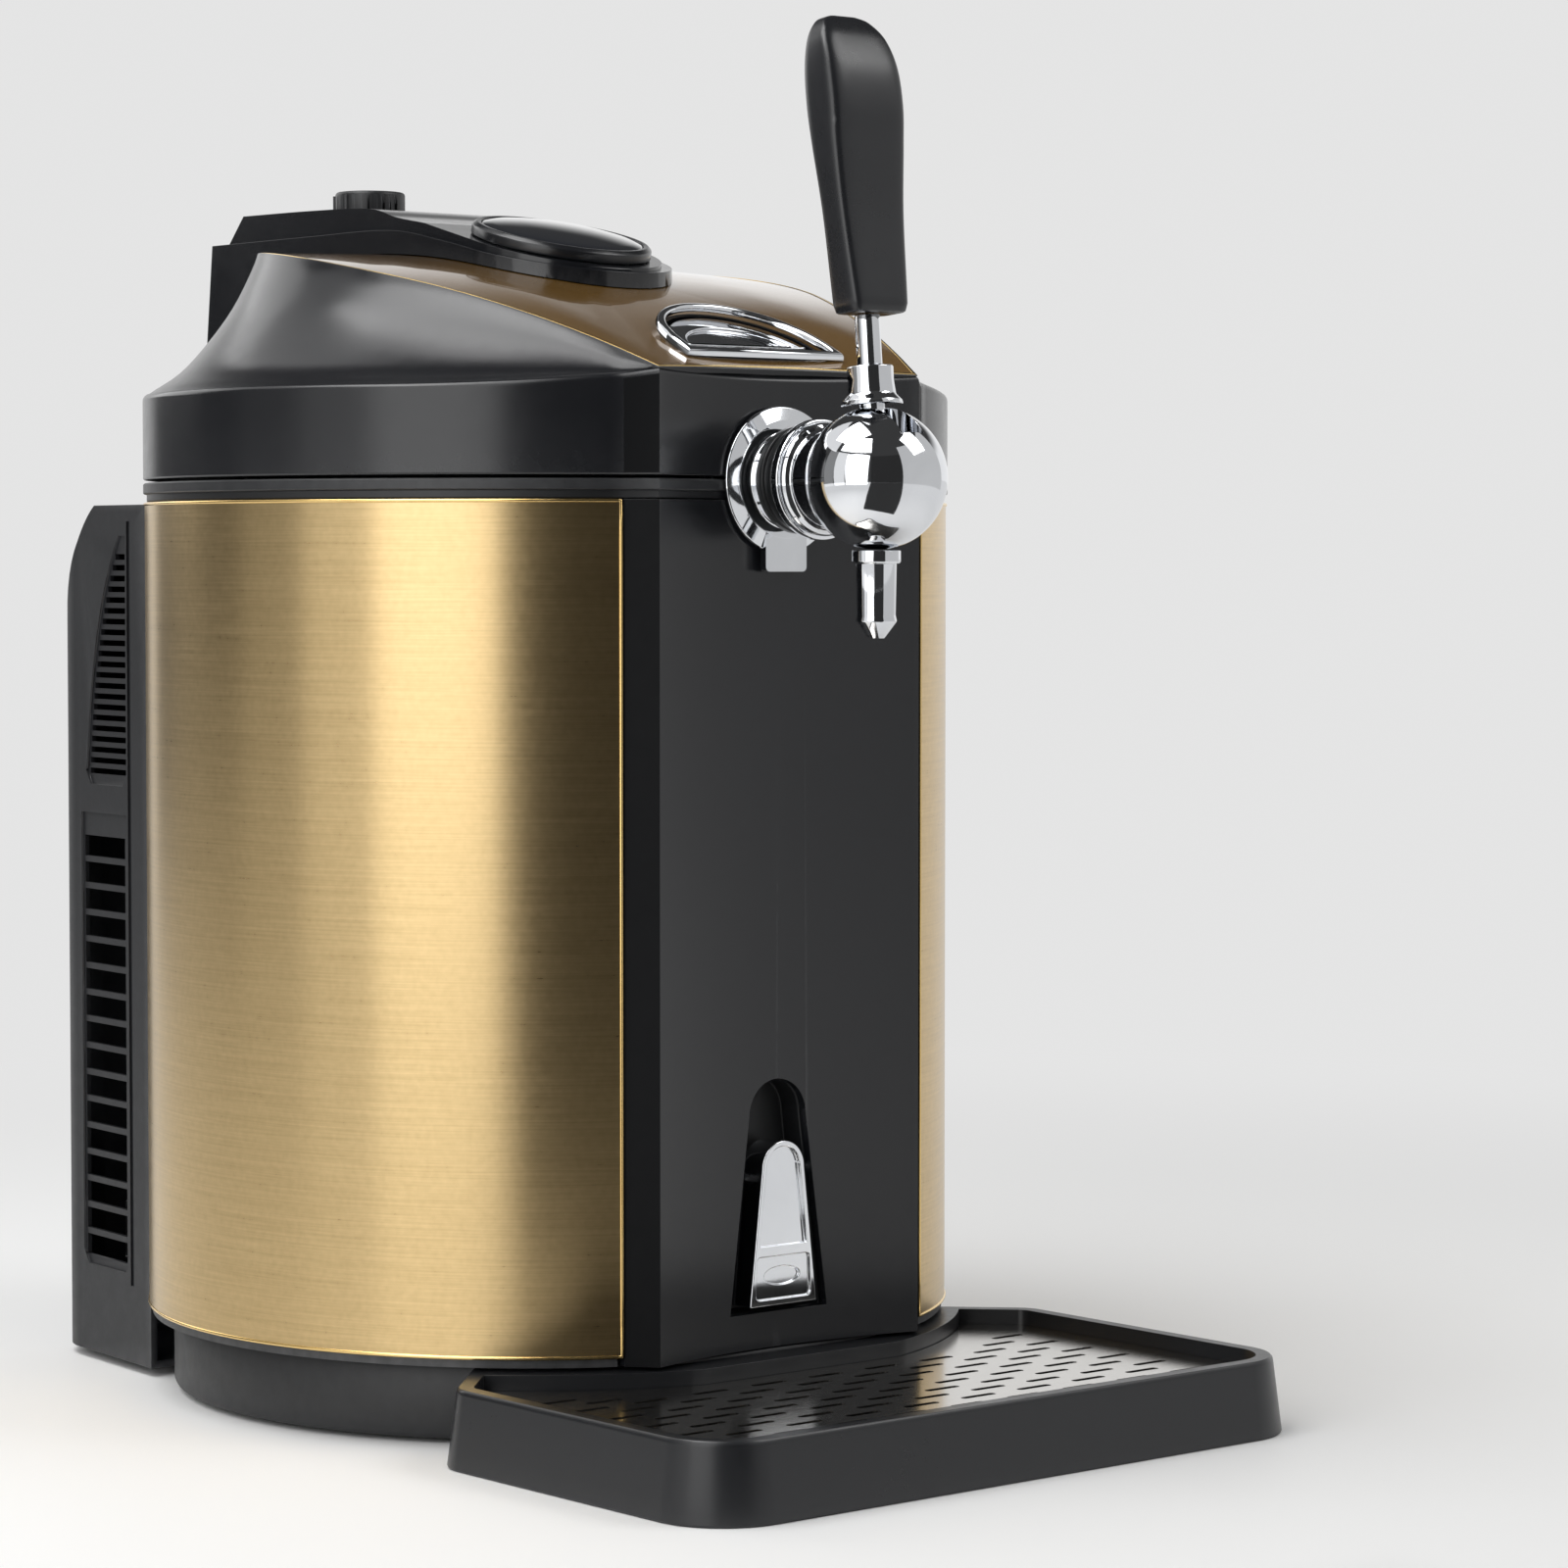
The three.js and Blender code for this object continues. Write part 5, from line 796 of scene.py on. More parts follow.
blade_rows = []
for i in range(13):
    reach = 13.5 + (39.5 - 13.5) * i / 12
    tilt = math.radians(52 - 20 * i / 12)
    chord = 5.6 + 0.25 * i
    row = []
    for k, side in ((0, 1), (1, 1), (2, 1), (3, 1), (3, -1), (2, -1), (1, -1), (0, -1)):
        along = chord * (k / 3 - 0.5) * 2
        thick = 0.7 * side * math.sin(math.pi * (k + 0.6) / 4.2)
        bow = 1.1 * (1 - (k / 1.5 - 1) ** 2)
        row.append((reach, along * math.cos(tilt) * 0.52, along * math.sin(tilt) + thick + bow))
    blade_rows.append(row)


def moved(form, x=0, y=0, z=0):
    """A form carried by some millimetres."""
    return [(a + x, b + y, c + z) for a, b, c in form[0]], form[1]


blades = made("fan_blades", moved(skin(blade_rows), y=-AXIS_BACK), fan_black)
grown(blades, around_tree, count=7, centre=spot(0, 154.9, FAN_HEIGHT), finish=fan_black)
cleaned(blades, 50)
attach(blades, "fan")
hub_profile = rounded([(0, 151, 0), (15, 151, 0.8), (15, 158.8, 1.5), (0, 158.8, 0)])
carried(made("fan_hub", rearward(turned(hub_profile, 64), z=FAN_HEIGHT), fan_black), "fan", "fan_rotor")

rings_tree, rings_in, rings_end = growth("guard_rings", "Count", "Inner", "Outer", "Wire", "Centre")
last_ring = rings_in["Count"] - 1.0
gap_each = (rings_in["Outer"] - rings_in["Inner"]) / last_ring
ring_size = out(rings_tree, "GeometryNodeInputIndex") * gap_each + rings_in["Inner"]
ring_seeds = out(rings_tree, "GeometryNodePoints",
                 {"Count": rings_in["Count"], "Position": rings_in["Centre"]})
unit_ring = out(rings_tree, "GeometryNodeCurvePrimitiveCircle", {"Resolution": 64, "Radius": 1.0})
ring_scale = vector(rings_tree, ring_size, ring_size, 1.0)
ring_copies = out(rings_tree, "GeometryNodeInstanceOnPoints",
                  {"Points": ring_seeds, "Instance": unit_ring, "Rotation": (math.pi / 2, 0, 0),
                   "Scale": ring_scale})
ring_lines = out(rings_tree, "GeometryNodeRealizeInstances", {0: ring_copies})
ring_wire = out(rings_tree, "GeometryNodeCurvePrimitiveCircle",
                {"Resolution": 10, "Radius": rings_in["Wire"]})
ended(rings_tree,
      out(rings_tree, "GeometryNodeCurveToMesh", {"Curve": ring_lines, "Profile Curve": ring_wire}),
      rings_in["Finish"], rings_end)
guard = grown(put("guard_rings", bpy.data.meshes.new("guard_rings")), rings_tree, count=6, inner=0.0095,
              outer=0.0401, wire=0.0008, centre=spot(0, 164.0, FAN_HEIGHT), finish=pin_steel)
carried(cleaned(guard, 60), "base", "fan_guard")
for turn in (0, 90):
    spoke = made("guard_spoke_%d" % turn, sideways(drum(0.8, -41, 41, 12)), pin_steel, 50)
    spoke.data.transform(swung((0, 163.0, FAN_HEIGHT), turn, "Y"))
    carried(spoke, "base", "fan_guard")

# Louvred rear housing.
# One deep moulded hood with two round rear corners and a back that curves forwards at its top.
# Each side has a sunk field of fine louvres above a plain notch and a column of large windows.
housing_black = finished("housing_moulding", moulded, {"Grain": 1000.0}, "#141518", "#1f2023",
                         (0.4, 0.54), 0.22, wear=0.35)

HOOD_REAR, HOOD_BEND, HOOD_TOP = 165.0, 190, 301.7


def slab(outline, half):
    """A side outline of (y, z) drawn out to both sides."""
    return skin([[(-half, y, z) for y, z in outline], [(half, y, z) for y, z in outline]])


def housing_half(y, inset=0.0):
    """Half the hood's width at a depth."""
    return 100.3 - inset + (148 - y) * 0.103


def housing_back(z):
    """Depth of the hood's back at a height; it curves forwards at the top."""
    if z <= HOOD_BEND:
        return HOOD_REAR
    return HOOD_REAR - 50 * (1 - math.sqrt(max(0.0, 1 - ((z - HOOD_BEND) / 115) ** 2)))


def housing_plan(inset, steps=16):
    """The hood from above, with its two round rear corners."""
    corner = 25 - inset
    middle_y = HOOD_REAR - inset - corner
    middle_x = housing_half(middle_y, inset) - corner
    right = [(housing_half(0, inset), 0)]
    for i in range(steps + 1):
        a = math.pi / 2 * i / steps
        right.append((middle_x + corner * math.cos(a), middle_y + corner * math.sin(a)))
    return right + [(-x, y) for x, y in reversed(right)]


def housing_side(inset, steps=28):
    """The hood from the side."""
    top, bottom = HOOD_TOP - inset, 3 + inset
    outline = [(0, bottom), (HOOD_REAR - inset, bottom)]
    for i in range(steps + 1):
        z = HOOD_BEND + (top - HOOD_BEND) * math.sin(math.pi / 2 * i / steps)
        outline.append((housing_back(z) - inset, z))
    return outline + [(0, top)]


def hood(name, inset):
    """The hood's solid form, drawn in by an inset."""
    body = made(name, prism(housing_plan(inset), -2, 307), housing_black)
    return carved(body, [made("hood_side", slab(housing_side(inset), 140), housing_black)], "INTERSECT")


housing = hood("louvred_housing", 0)
eased_edges(housing, 1.2, 3, 40)
rear_trim = made("sheet_way", drum(137.8, -2, 307, 200), housing_black)
carved(rear_trim, [made("sheet_end", block(-137.5, 0, -2, 137.5, 86.8, 310), housing_black)], "INTERSECT")
carved(housing,
       [hood("hood_hollow", 2.5), made("barrel_way", drum(136.2, PANEL_FOOT, 307, 200), housing_black),
        made("pan_way", drum(128.95, -2, 26.6, 160), housing_black), rear_trim], crease=30)


def side_field(name, low, high, front, margin, sunk):
    """A shallow field sunk in both side walls, its rear edge following the curved back."""
    plans = []
    for side in (-1, 1):
        plans.append([(side * (housing_half(front) - sunk), front), (side * 140, front),
                      (side * 140, HOOD_REAR), (side * (housing_half(HOOD_REAR) - sunk), HOOD_REAR)])
    outline = [(front, low + 3), (front + 3, low), (HOOD_REAR - margin - 4, low),
               (HOOD_REAR - margin, low + 5)]
    steps = 16
    for i in range(steps + 1):
        z = low + 6 + (high - low - 6) * i / steps
        outline.append((max(front + 0.5, housing_back(z) - margin), z))
    outline.append((front, high))
    tools = []
    for side, plan in zip("ab", plans):
        tool = made(name + side, prism(plan, -2, 307), housing_black)
        tools.append(carved(tool, [made(name + "_trim" + side, slab(outline, 150), housing_black)],
                            "INTERSECT"))
    return tools


carved(housing,
       side_field("louvre_field", 204, 291, 103.2, 30.5, 0.9)
       + side_field("window_field", 34, 194, 103.2, 26.5, 0.9), crease=30)
grooves = [made("groove",
                block(side * 112 if side < 0 else 98, 99.6, 30, -98 if side < 0 else 112, 102.0, 296),
                housing_black) for side in (-1, 1)]
for groove, side in zip(grooves, (-1, 1)):
    groove.data.transform(Matrix.Translation((side * (housing_half(100.8) - 98 - 0.9) / 1000, 0, 0)))
carved(housing, grooves, crease=30)

slot_tree, slot_in, slot_end = growth("slots_up_the_side", "Count", "First Height", "Pitch", "Opening",
                                      "Front", "Rear", "Curve Start", "Curve Rise", "Curve Depth",
                                      "Reach")
first_place = vector(slot_tree, z=slot_in["First Height"])
step_place = vector(slot_tree, z=slot_in["Pitch"])
slot_line = out(slot_tree, "GeometryNodeMeshLine",
                {"Count": slot_in["Count"], "Start Location": first_place, "Offset": step_place})
slot_z = places(slot_tree)[2]
slot_rise = reckoned("MAXIMUM", slot_z - slot_in["Curve Start"], 0.0) / slot_in["Curve Rise"]
slot_round = reckoned("SQRT", reckoned("MAXIMUM", 1.0 - slot_rise * slot_rise, 0.0))
slot_back = slot_in["Rear"] - slot_in["Curve Depth"] * (1.0 - slot_round)
slot_long = slot_back - slot_in["Front"]
slot_middle = slot_long * 0.5 + slot_in["Front"]
slot_short = out(slot_tree, "FunctionNodeCompare", {0: slot_long, 1: 0.002}, data_type="FLOAT",
                 operation="LESS_THAN")
slot_kept = out(slot_tree, "GeometryNodeDeleteGeometry", {"Geometry": slot_line, "Selection": slot_short})
slot_kept = out(slot_tree, "GeometryNodeSetPosition",
                {"Geometry": slot_kept, "Offset": vector(slot_tree, y=slot_middle)})
slot_block = out(slot_tree, "GeometryNodeMeshCube", {"Size": (1.0, 1.0, 1.0)})
slot_reach = places(slot_tree)[1]
slot_size = vector(slot_tree, slot_in["Reach"], (slot_reach - slot_in["Front"]) * 2.0, slot_in["Opening"])
slot_cutters = out(slot_tree, "GeometryNodeInstanceOnPoints",
                   {"Points": slot_kept, "Instance": slot_block, "Scale": slot_size})
slot_cutters = out(slot_tree, "GeometryNodeRealizeInstances", {0: slot_cutters})
slot_cut = node(slot_tree, "GeometryNodeMeshBoolean", {0: slot_in["Geometry"]}, operation="DIFFERENCE")
joined(slot_cutters, slot_cut.inputs[1])
ended(slot_tree, slot_cut.outputs[0], slot_in["Finish"], slot_end)
grown(housing, slot_tree, count=21, first_height=0.2087, pitch=0.00375, opening=0.002,
      front=spot(0, 104.6, 0)[1], rear=spot(0, 133, 0)[1], curve_start=0.19, curve_rise=0.115,
      curve_depth=0.05, reach=0.3, finish=housing_black)
baked(housing)
grown(housing, slot_tree, count=16, first_height=0.0407, pitch=0.00943, opening=0.0073,
      front=spot(0, 106, 0)[1], rear=spot(0, 137, 0)[1], curve_start=1.0, curve_rise=0.115,
      curve_depth=0.05, reach=0.3, finish=housing_black)
baked(housing)
back_tools = [made("inlet_way", block(-55 - 13.8, 155, 29.7, -55 + 13.8, 170, 50.3), housing_black),
              made("switch_way", block(55 - 10.8, 155, 32.2, 55 + 10.8, 170, 47.8), housing_black),
              made("fan_way", rearward(drum(42, 155, 170, 96), z=FAN_HEIGHT), housing_black)]
SCREWS = [(-62, 16), (62, 16), (-62, 182), (62, 182)]
for x, z in SCREWS:
    back_tools.append(made("socket", rearward(drum(3.5, 163.5, 170, 32), x, z), housing_black))
carved(housing, back_tools, crease=30)
carried(housing, "base", "rear_housing")

# Housing screws.
# Four pan-head screws with a cross recess hold the hood to bosses on the body.
head_profile = rounded([(0, 163.8, 0), (3.2, 163.8, 0), (3.2, 164.6, 0.5), (0, 165.0, 0)])
head = made("pan_head", rearward(turned(head_profile, 32)), pin_steel)
cross = [made("cross_a", block(-1.9, 164.2, -0.4, 1.9, 166, 0.4), pin_steel),
         made("cross_b", block(-0.4, 164.2, -1.9, 0.4, 166, 1.9), pin_steel)]
carved(head, cross, crease=40)
four_tree, four_in, four_end = growth("four_corners", "Spread", "Low", "High")
four_grid = out(four_tree, "GeometryNodeMeshGrid",
                {"Size X": 1.0, "Size Y": 1.0, "Vertices X": 2, "Vertices Y": 2})
four_place = places(four_tree)
four_x = four_place[0] * (four_in["Spread"] * 2.0)
four_z = (four_place[1] + 0.5) * (four_in["High"] - four_in["Low"]) + four_in["Low"]
four_points = out(four_tree, "GeometryNodeSetPosition",
                  {"Geometry": four_grid, "Position": vector(four_tree, x=four_x, z=four_z)})
ended(four_tree,
      out(four_tree, "GeometryNodeInstanceOnPoints",
          {"Points": four_points, "Instance": four_in["Geometry"]}), four_in["Finish"], four_end)
grown(head, four_tree, spread=0.062, low=0.016, high=0.182, finish=pin_steel)
carried(cleaned(head, 40), "base", "screw_lower_left", "screw_lower_right", "screw_upper_left",
        "screw_upper_right")

# Mains parts.
# A power supply stands on the housing's floor; its inlet and its rocker switch clip into the back.
dressed("power_supply", raw_aluminium)
for name, body in (("power_inlet", "base"), ("switch_frame", "base"), ("rocker_switch", "rocker")):
    refined(name, body, fan_black, 0.35)

# Hinge bracket and pin.
# Two ears behind the top ring carry a steel pin, round which the lid's rear leg turns.
refined("hinge_bracket", "base", satin_black, 0.5, angle=40)
refined("hinge_pin", "base", pin_steel, 0.3, angle=50, crease=45)

# Lid shell.
# A black moulding whose band rises from the split line; above its shoulder the flanks climb in a
# hollow curve to the ridge that frames the top plate, nearly flat behind and steep at the front.
RIDGE, TOP, DROP, VERTEX, CROWN = 98.0, 388.5, 44.3, 60.0, 2.5

FLANK = [(-0.12, -0.1), (0, 0), (0.285, 0.151), (0.541, 0.3685), (0.764, 0.608), (0.923, 0.849), (1, 1),
         (1.05, 1.14)]


def crossing(corner, touch, a):
    """Distance at which a direction crosses the straight run to the front corner."""
    run = (touch[0] - corner[0], touch[1] - corner[1])
    return (corner[0] * run[1] - corner[1] * run[0]) / (math.sin(a) * run[1] - math.cos(a) * run[0])


def ridge_plan(grow=0.0, rows=28, steps=150):
    """The ridge round the top plate, running to the front corners."""
    radius = RIDGE + grow
    corner = Vector((FACE_HALF - 0.5, FACE_DEPTH - 1))
    corner = corner * ((corner.length + grow) / corner.length)
    touch_angle = math.atan2(corner.x, corner.y) + math.acos(min(1, radius / corner.length))
    touch = (radius * math.sin(touch_angle), radius * math.cos(touch_angle))
    plan = face_points(1 - grow, rows)
    for x, y in body_plan(0, rows, steps)[rows + 1:]:
        a = math.atan2(abs(x), -y)
        reach = radius if a >= touch_angle else crossing(corner, touch, a)
        plan.append((math.copysign(reach * math.sin(a), x), -reach * math.cos(a)))
    return plan


def top_at(x, y):
    """Height of the lid's arched top."""
    back = y - face_sag(x) * (VERTEX - y) / (VERTEX + FACE_DEPTH)
    return TOP - DROP * ((VERTEX - back) / (VERTEX + FACE_DEPTH)) ** 2 - CROWN * (x / RIDGE) ** 2


def shoulder_at(y):
    """Height of the shoulder, which rises a little to the front."""
    along = max(0.0, (-y - FACE_DEPTH / 2) / (FACE_DEPTH / 2))
    return 338.6 + 4.9 * min(1.0, along) ** 3


def shoulder_ring(inset, lift):
    return [(x, y, shoulder_at(edge_y) + lift) for (x, y), (_, edge_y) in zip(body_plan(inset), body_plan())]


def ridge_ring(grow, lift):
    return [(x, y, top_at(x, y) + lift) for x, y in ridge_plan(grow)]


shoulder, crest = shoulder_ring(1.9, 0), ridge_ring(0.3, 0)
shell_rings = layers(body_plan, ((1, 309.6), (0.3, 309.75), (0, 310.3)))
shell_rings += [shoulder_ring(*step) for step in ((0, -2.1), (0.14, -1.3), (0.55, -0.62), (1.15, -0.18))]


def eased_at(four, t):
    """The point at share t between the middle two of four points, on a smooth curve through them."""
    return tuple(0.5 * (2 * b + (c - a) * t + (2 * a - 5 * b + 4 * c - d) * t * t
                        + (3 * b - a - 3 * c + d) * t ** 3) for a, b, c, d in zip(*four))


def flank_shares(rows=4):
    """The flank's hollow curve, eased through its measured points."""
    shares = [eased_at(FLANK[i - 1:i + 3], k / rows) for i in range(1, len(FLANK) - 2) for k in range(rows)]
    return shares[1:]


def between(low, high, shares):
    """Rings between two rings, each at a share across and a share up."""
    return [[tuple(p[c] + (q[c] - p[c]) * (across if c < 2 else up) for c in range(3))
             for p, q in zip(low, high)] for across, up in shares]


shell_rings += [shoulder] + between(shoulder, crest, flank_shares())
shell_rings += [ridge_ring(*step)
                for step in ((0.5, -0.35), (0.3, 0.05), (0.08, 0.0), (0.05, -2.1), (-5.5, -2.4),
                             (-5.5, -5.2))]
lining, crest_lining = shoulder_ring(2.8, -2.8), ridge_ring(-2.8, -4.9)
shell_rings += between(lining, crest_lining, [(0.85, 0.72), (0.6, 0.34), (0.3, 0.12)])
shell_rings += [lining] + layers(body_plan, ((2.8, 310.4), (2.2, 309.6)))
lid_black = finished("lid_moulding", moulded, {"Grain": 1900.0, "Drift": 7.0}, "#131417", "#1c1d20",
                     (0.2, 0.28), 0.05, wear=0.25)
lid = made("hollow_flanked_lid", skin(shell_rings, closed=True), lid_black, 28)
carved(lid, [shank_way(lid_black)], crease=28)
# The lid's chamfers take the same matt finish, whose darker tint is painted shade.
matt_shaded_chamfers(lid)
carried(lid, "lid", "lid_shell")

# Lid top plate.
# A glossy plate in smoked gold is glued into the shell's ridge; a fine polished line runs round it.
smoked_gold = finished("smoked_gold_gloss", chrome_marks, {"Scale": 12.0}, "#7a5826", "#947034",
                       (0.16, 0.24), 0.01, Metallic=0.35, Coat_Weight=1.0, Coat_Roughness=0.03)
LATCH_SLOPE, LATCH_Y = 26, -114
LATCH_LIFT = top_at(0, LATCH_Y)

shares = [0.985, 0.93, 0.85, 0.75, 0.65, 0.55, 0.45, 0.35, 0.25, 0.15, 0.06]


def top_ring_at(share, lift):
    """The top plate's rim, drawn in to a share of its size and laid on the arched top."""
    plan = ridge_plan(-1.1)
    middle = sum(y for x, y in plan) / len(plan)
    return [(x * share, middle + (y - middle) * share,
             top_at(x * share, middle + (y - middle) * share) + lift) for x, y in plan]


plate_rings = [top_ring_at(s, -1.8) for s in reversed(shares)]
plate_rings += [ridge_ring(*step)
                for step in ((-0.2, -1.8), (-0.05, -0.1), (-0.15, 0.12), (-1.0, 0.12), (-1.15, -0.05))]
plate_rings += [top_ring_at(s, -0.05) for s in shares]
plate_form = skin(plate_rings)
per_ring = len(plate_rings[0])
marks = [1 if len(shares) <= k // per_ring < len(shares) + 4 else 0 for k in range(len(plate_form[1]))]
plate = made("smoked_gold_plate", (plate_form[0], plate_form[1], marks), [smoked_gold, gold_bead], 40)


def latch_outline(grow=0.0, steps=48):
    """The latch opening in its own plane: a straight front edge and a round back."""
    outline = [(-30 - grow, -grow), (30 + grow, -grow)]
    for i in range(1, steps):
        a = math.pi * i / steps
        outline.append(((30 + grow) * math.cos(a), (34 + grow) * math.sin(a) ** 0.8))
    return outline


def leaning(form, slope, y, z):
    """Tilts a flat-lying form up to the rear by a slope and carries it to a place."""
    c, s = math.cos(math.radians(slope)), math.sin(math.radians(slope))
    return [(i, j * c - k * s + y, j * s + k * c + z) for i, j, k in form[0]], form[1]


def on_slope(form):
    """Puts a form drawn in the latch's own plane on the lid's front slope."""
    return leaning(form, LATCH_SLOPE, LATCH_Y, LATCH_LIFT)


carved(plate, [made("latch_way", on_slope(prism(latch_outline(1.9), -20, 13)), smoked_gold)], crease=40)
carried(plate, "lid", "lid_top_plate")

# Lid liner and gasket.
# A grey pan lines the lid over the keg, and a rubber seal sits round the keg's mouth; both are cut
# away in front for the tap's shank and the latch.
liner = made("grey_liner",
             turned(rounded([(100, 311, 0.4), (104, 311, 0.4), (104, 333, 3), (0, 333, 0), (0, 329, 0),
                             (100, 329, 4)]), 128), grey_plastic)
carved(liner, [made("liner_way", block(-25.5, -140, 306, 25.5, -43.5, 322.9), grey_plastic)])
carried(liner, "lid", "lid_liner")
gap = math.degrees(math.asin(25.5 / 100))
seal_rings = []
for i in range(129):
    a = math.radians(gap + (360 - 2 * gap) * i / 128)
    seal_rings.append([(r * math.sin(a), -r * math.cos(a), z)
                       for r, z in ((100, 308.9), (104, 308.9), (104, 309.9), (103, 310.65),
                                    (101, 310.65), (100, 309.9))])
carried(made("keg_seal", skin(seal_rings), soft_rubber, 50), "lid", "lid_gasket")

# Spine cover with its round panel and knob.
# A black cover runs from behind the top plate's crown to the hinge leg. It steps in near its top, its
# front is tilted for a round panel under a dark lens, and a small knob stands on its flat.
spine_black = finished("spine_moulding", moulded, {"Grain": 1800.0, "Drift": 10.0}, "#101114",
                       "#191a1d", (0.12, 0.2), 0.04, wear=0.25)

DISC_SLOPE, DISC_Y, DISC_LIFT = 14.5, -8, 389.6

LOW = 318.6
LEG_HALF, HINGE_Y, HINGE_Z, KNOB_Y = 23.5, 147, 312, 104
front_y = DISC_Y - 38 - 5


def smooth_run(points, rows=6):
    """A polyline eased into a smooth curve through its points."""
    ends = [points[0]] + points + [points[-1]]
    run = [eased_at(ends[i - 1:i + 3], k / rows) for i in range(1, len(ends) - 2) for k in range(rows)]
    return run + [points[-1]]


crown_run = [(front_y, 378), (-20, 384.6), (10, 391.2), (40, 396), (90, 396.2), (149, 396)]
lower_side = [(front_y, LOW), (front_y, 378)] + smooth_run(crown_run) + [(153, 358), (153, LOW)]


def disc_plane(y):
    """Height of the tilted front of the cover."""
    return DISC_LIFT + (y - DISC_Y) * math.tan(math.radians(DISC_SLOPE))


upper_side = [(front_y, LOW), (front_y, disc_plane(front_y)), (24, disc_plane(24))]
upper_side += smooth_run([(24, disc_plane(24)), (40, 400.6), (56, 404.4), (90, 405.6), (134, 406)])[1:]
upper_side += [(143.5, 396), (143.5, LOW)]
spine = made("stepped_spine", slab(lower_side, 43), spine_black)


def spine_plan(half, rear, steps=40):
    """The cover from above: straight sides and a round front."""
    outline = [(half, rear), (-half, rear)]
    for i in range(steps + 1):
        a = math.pi * i / steps
        outline.append((-half * math.cos(a), DISC_Y - half * math.sin(a)))
    return outline


carved(spine, [made("spine_sides", prism(spine_plan(38, 153), LOW, 406), spine_black)], "INTERSECT")
eased_edges(spine, 1.8, 3, 34)
upper = made("spine_upper", slab(upper_side, 38), spine_black)
carved(upper, [made("upper_sides", prism(spine_plan(34.5, 143.5), LOW, 411), spine_black)], "INTERSECT")
eased_edges(upper, 1.5, 3, 34)
carved(spine, [upper], "UNION")
trims = []
for side in (-1, 1):
    trims.append(made("leg_trim",
                      front_prism([(side * LEG_HALF, 300), (side * 76, 300), (side * 76, 355),
                                   (side * 38.3, 355), (side * 38.3, 350), (side * LEG_HALF, 325.2)],
                                  -158, -68), spine_black))
carved(spine, trims)
leg = made("hinge_leg", block(-LEG_HALF, 132.5, HINGE_Z, LEG_HALF, 153.6, 350), spine_black)
knuckle = made("knuckle", sideways(drum(6.6, -LEG_HALF, LEG_HALF, 48), HINGE_Y, HINGE_Z), spine_black)
carved(spine, [leg, knuckle], "UNION")


def on_disc(form):
    """Puts a form drawn round the panel's own axis on the cover's tilted front."""
    return leaning(form, DISC_SLOPE, DISC_Y, DISC_LIFT)


def lid_room():
    """The room that the lid and its plate take up under the cover."""
    low, high = shoulder_ring(-0.3, 0.3), ridge_ring(0.3, 0.3)
    rings = layers(body_plan, [(-0.3, 309.6)]) + [low] + between(low, high, flank_shares(2)) + [high]
    return skin(rings + [[(x, y, z + 0.3) for x, y, z in top_ring_at(s, 0)] for s in shares])


carved(spine,
       [made("lid_room", lid_room(), spine_black),
        made("stem_way", moved(drum(3.6, 392, 411, 32), y=KNOB_Y), spine_black),
        made("panel_pocket", on_disc(drum(28, -1.7, 5, 64)), spine_black),
        made("pin_way", sideways(drum(2.9, -30, 30, 48), HINGE_Y, HINGE_Z), spine_black),
        made("spine_hollow", block(-26.5, 20, 338.6, 26.5, 134.7, 392), spine_black)], crease=30)
carried(spine, "lid", "spine_cover")

carried(made("panel_bezel",
             on_disc(turned(rounded([(28, 0.3, 0.2), (31, 0.3, 0.5), (31, 3.4, 1.2), (29.6, 4.6, 0.6),
                                     (28, 4.6, 0.4)]), 96)), lid_black), "lid", "display_bezel")
smoked_glass = finished("smoked_lens", chrome_marks, {"Scale": 16.0}, "#1b1d21", "#26282d",
                        (0.04, 0.09), 0.01, Coat_Weight=1.0, Coat_Roughness=0.02)
carried(made("domed_lens",
             on_disc(turned([(0, 0.3), (27.7, 0.3), (27.7, 4.1), (27.2, 4.5), (24, 5.2), (20, 5.85),
                             (15, 6.5), (10, 6.9), (5, 7.13), (0, 7.2)], 96)), smoked_glass, 40), "lid",
        "display_lens")
circuit_green = finished("circuit_board", moulded, {"Grain": 900.0}, "#1a4d31", "#236040", (0.4, 0.55), 0.1)
dressed("display_board", circuit_green)

knob = made("regulator_cap",
            moved(turned(rounded([(0, 394.4, 0), (3.2, 394.4, 0.4), (3.2, 406.4, 0), (12.5, 406.4, 0.5),
                                  (12.5, 414.4, 1.2), (0, 414.4, 0)]), 96), y=KNOB_Y), fan_black)
flute_tree, flute_in, flute_end = growth("flutes_round_knob", "Count", "Radius", "Width", "Height", "Centre")
flute_ring = out(flute_tree, "GeometryNodeMeshCircle",
                 {"Vertices": flute_in["Count"], "Radius": flute_in["Radius"]})
flute_ring = out(flute_tree, "GeometryNodeTransform",
                 {"Geometry": flute_ring, "Translation": flute_in["Centre"]})
flute_bar = out(flute_tree, "GeometryNodeMeshCylinder",
                {"Vertices": 10, "Radius": flute_in["Width"], "Depth": flute_in["Height"]})
flute_bars = out(flute_tree, "GeometryNodeInstanceOnPoints", {"Points": flute_ring, "Instance": flute_bar})
flute_cut = node(flute_tree, "GeometryNodeMeshBoolean", {0: flute_in["Geometry"]}, operation="DIFFERENCE")
joined(out(flute_tree, "GeometryNodeRealizeInstances", {0: flute_bars}), flute_cut.inputs[1])
ended(flute_tree, flute_cut.outputs[0], flute_in["Finish"], flute_end)
grown(knob, flute_tree, count=28, radius=0.01275, width=0.0006, height=0.0062, centre=spot(0, KNOB_Y, 410),
      finish=fan_black)
carried(cleaned(knob, 40), "regulator", "regulator_knob")

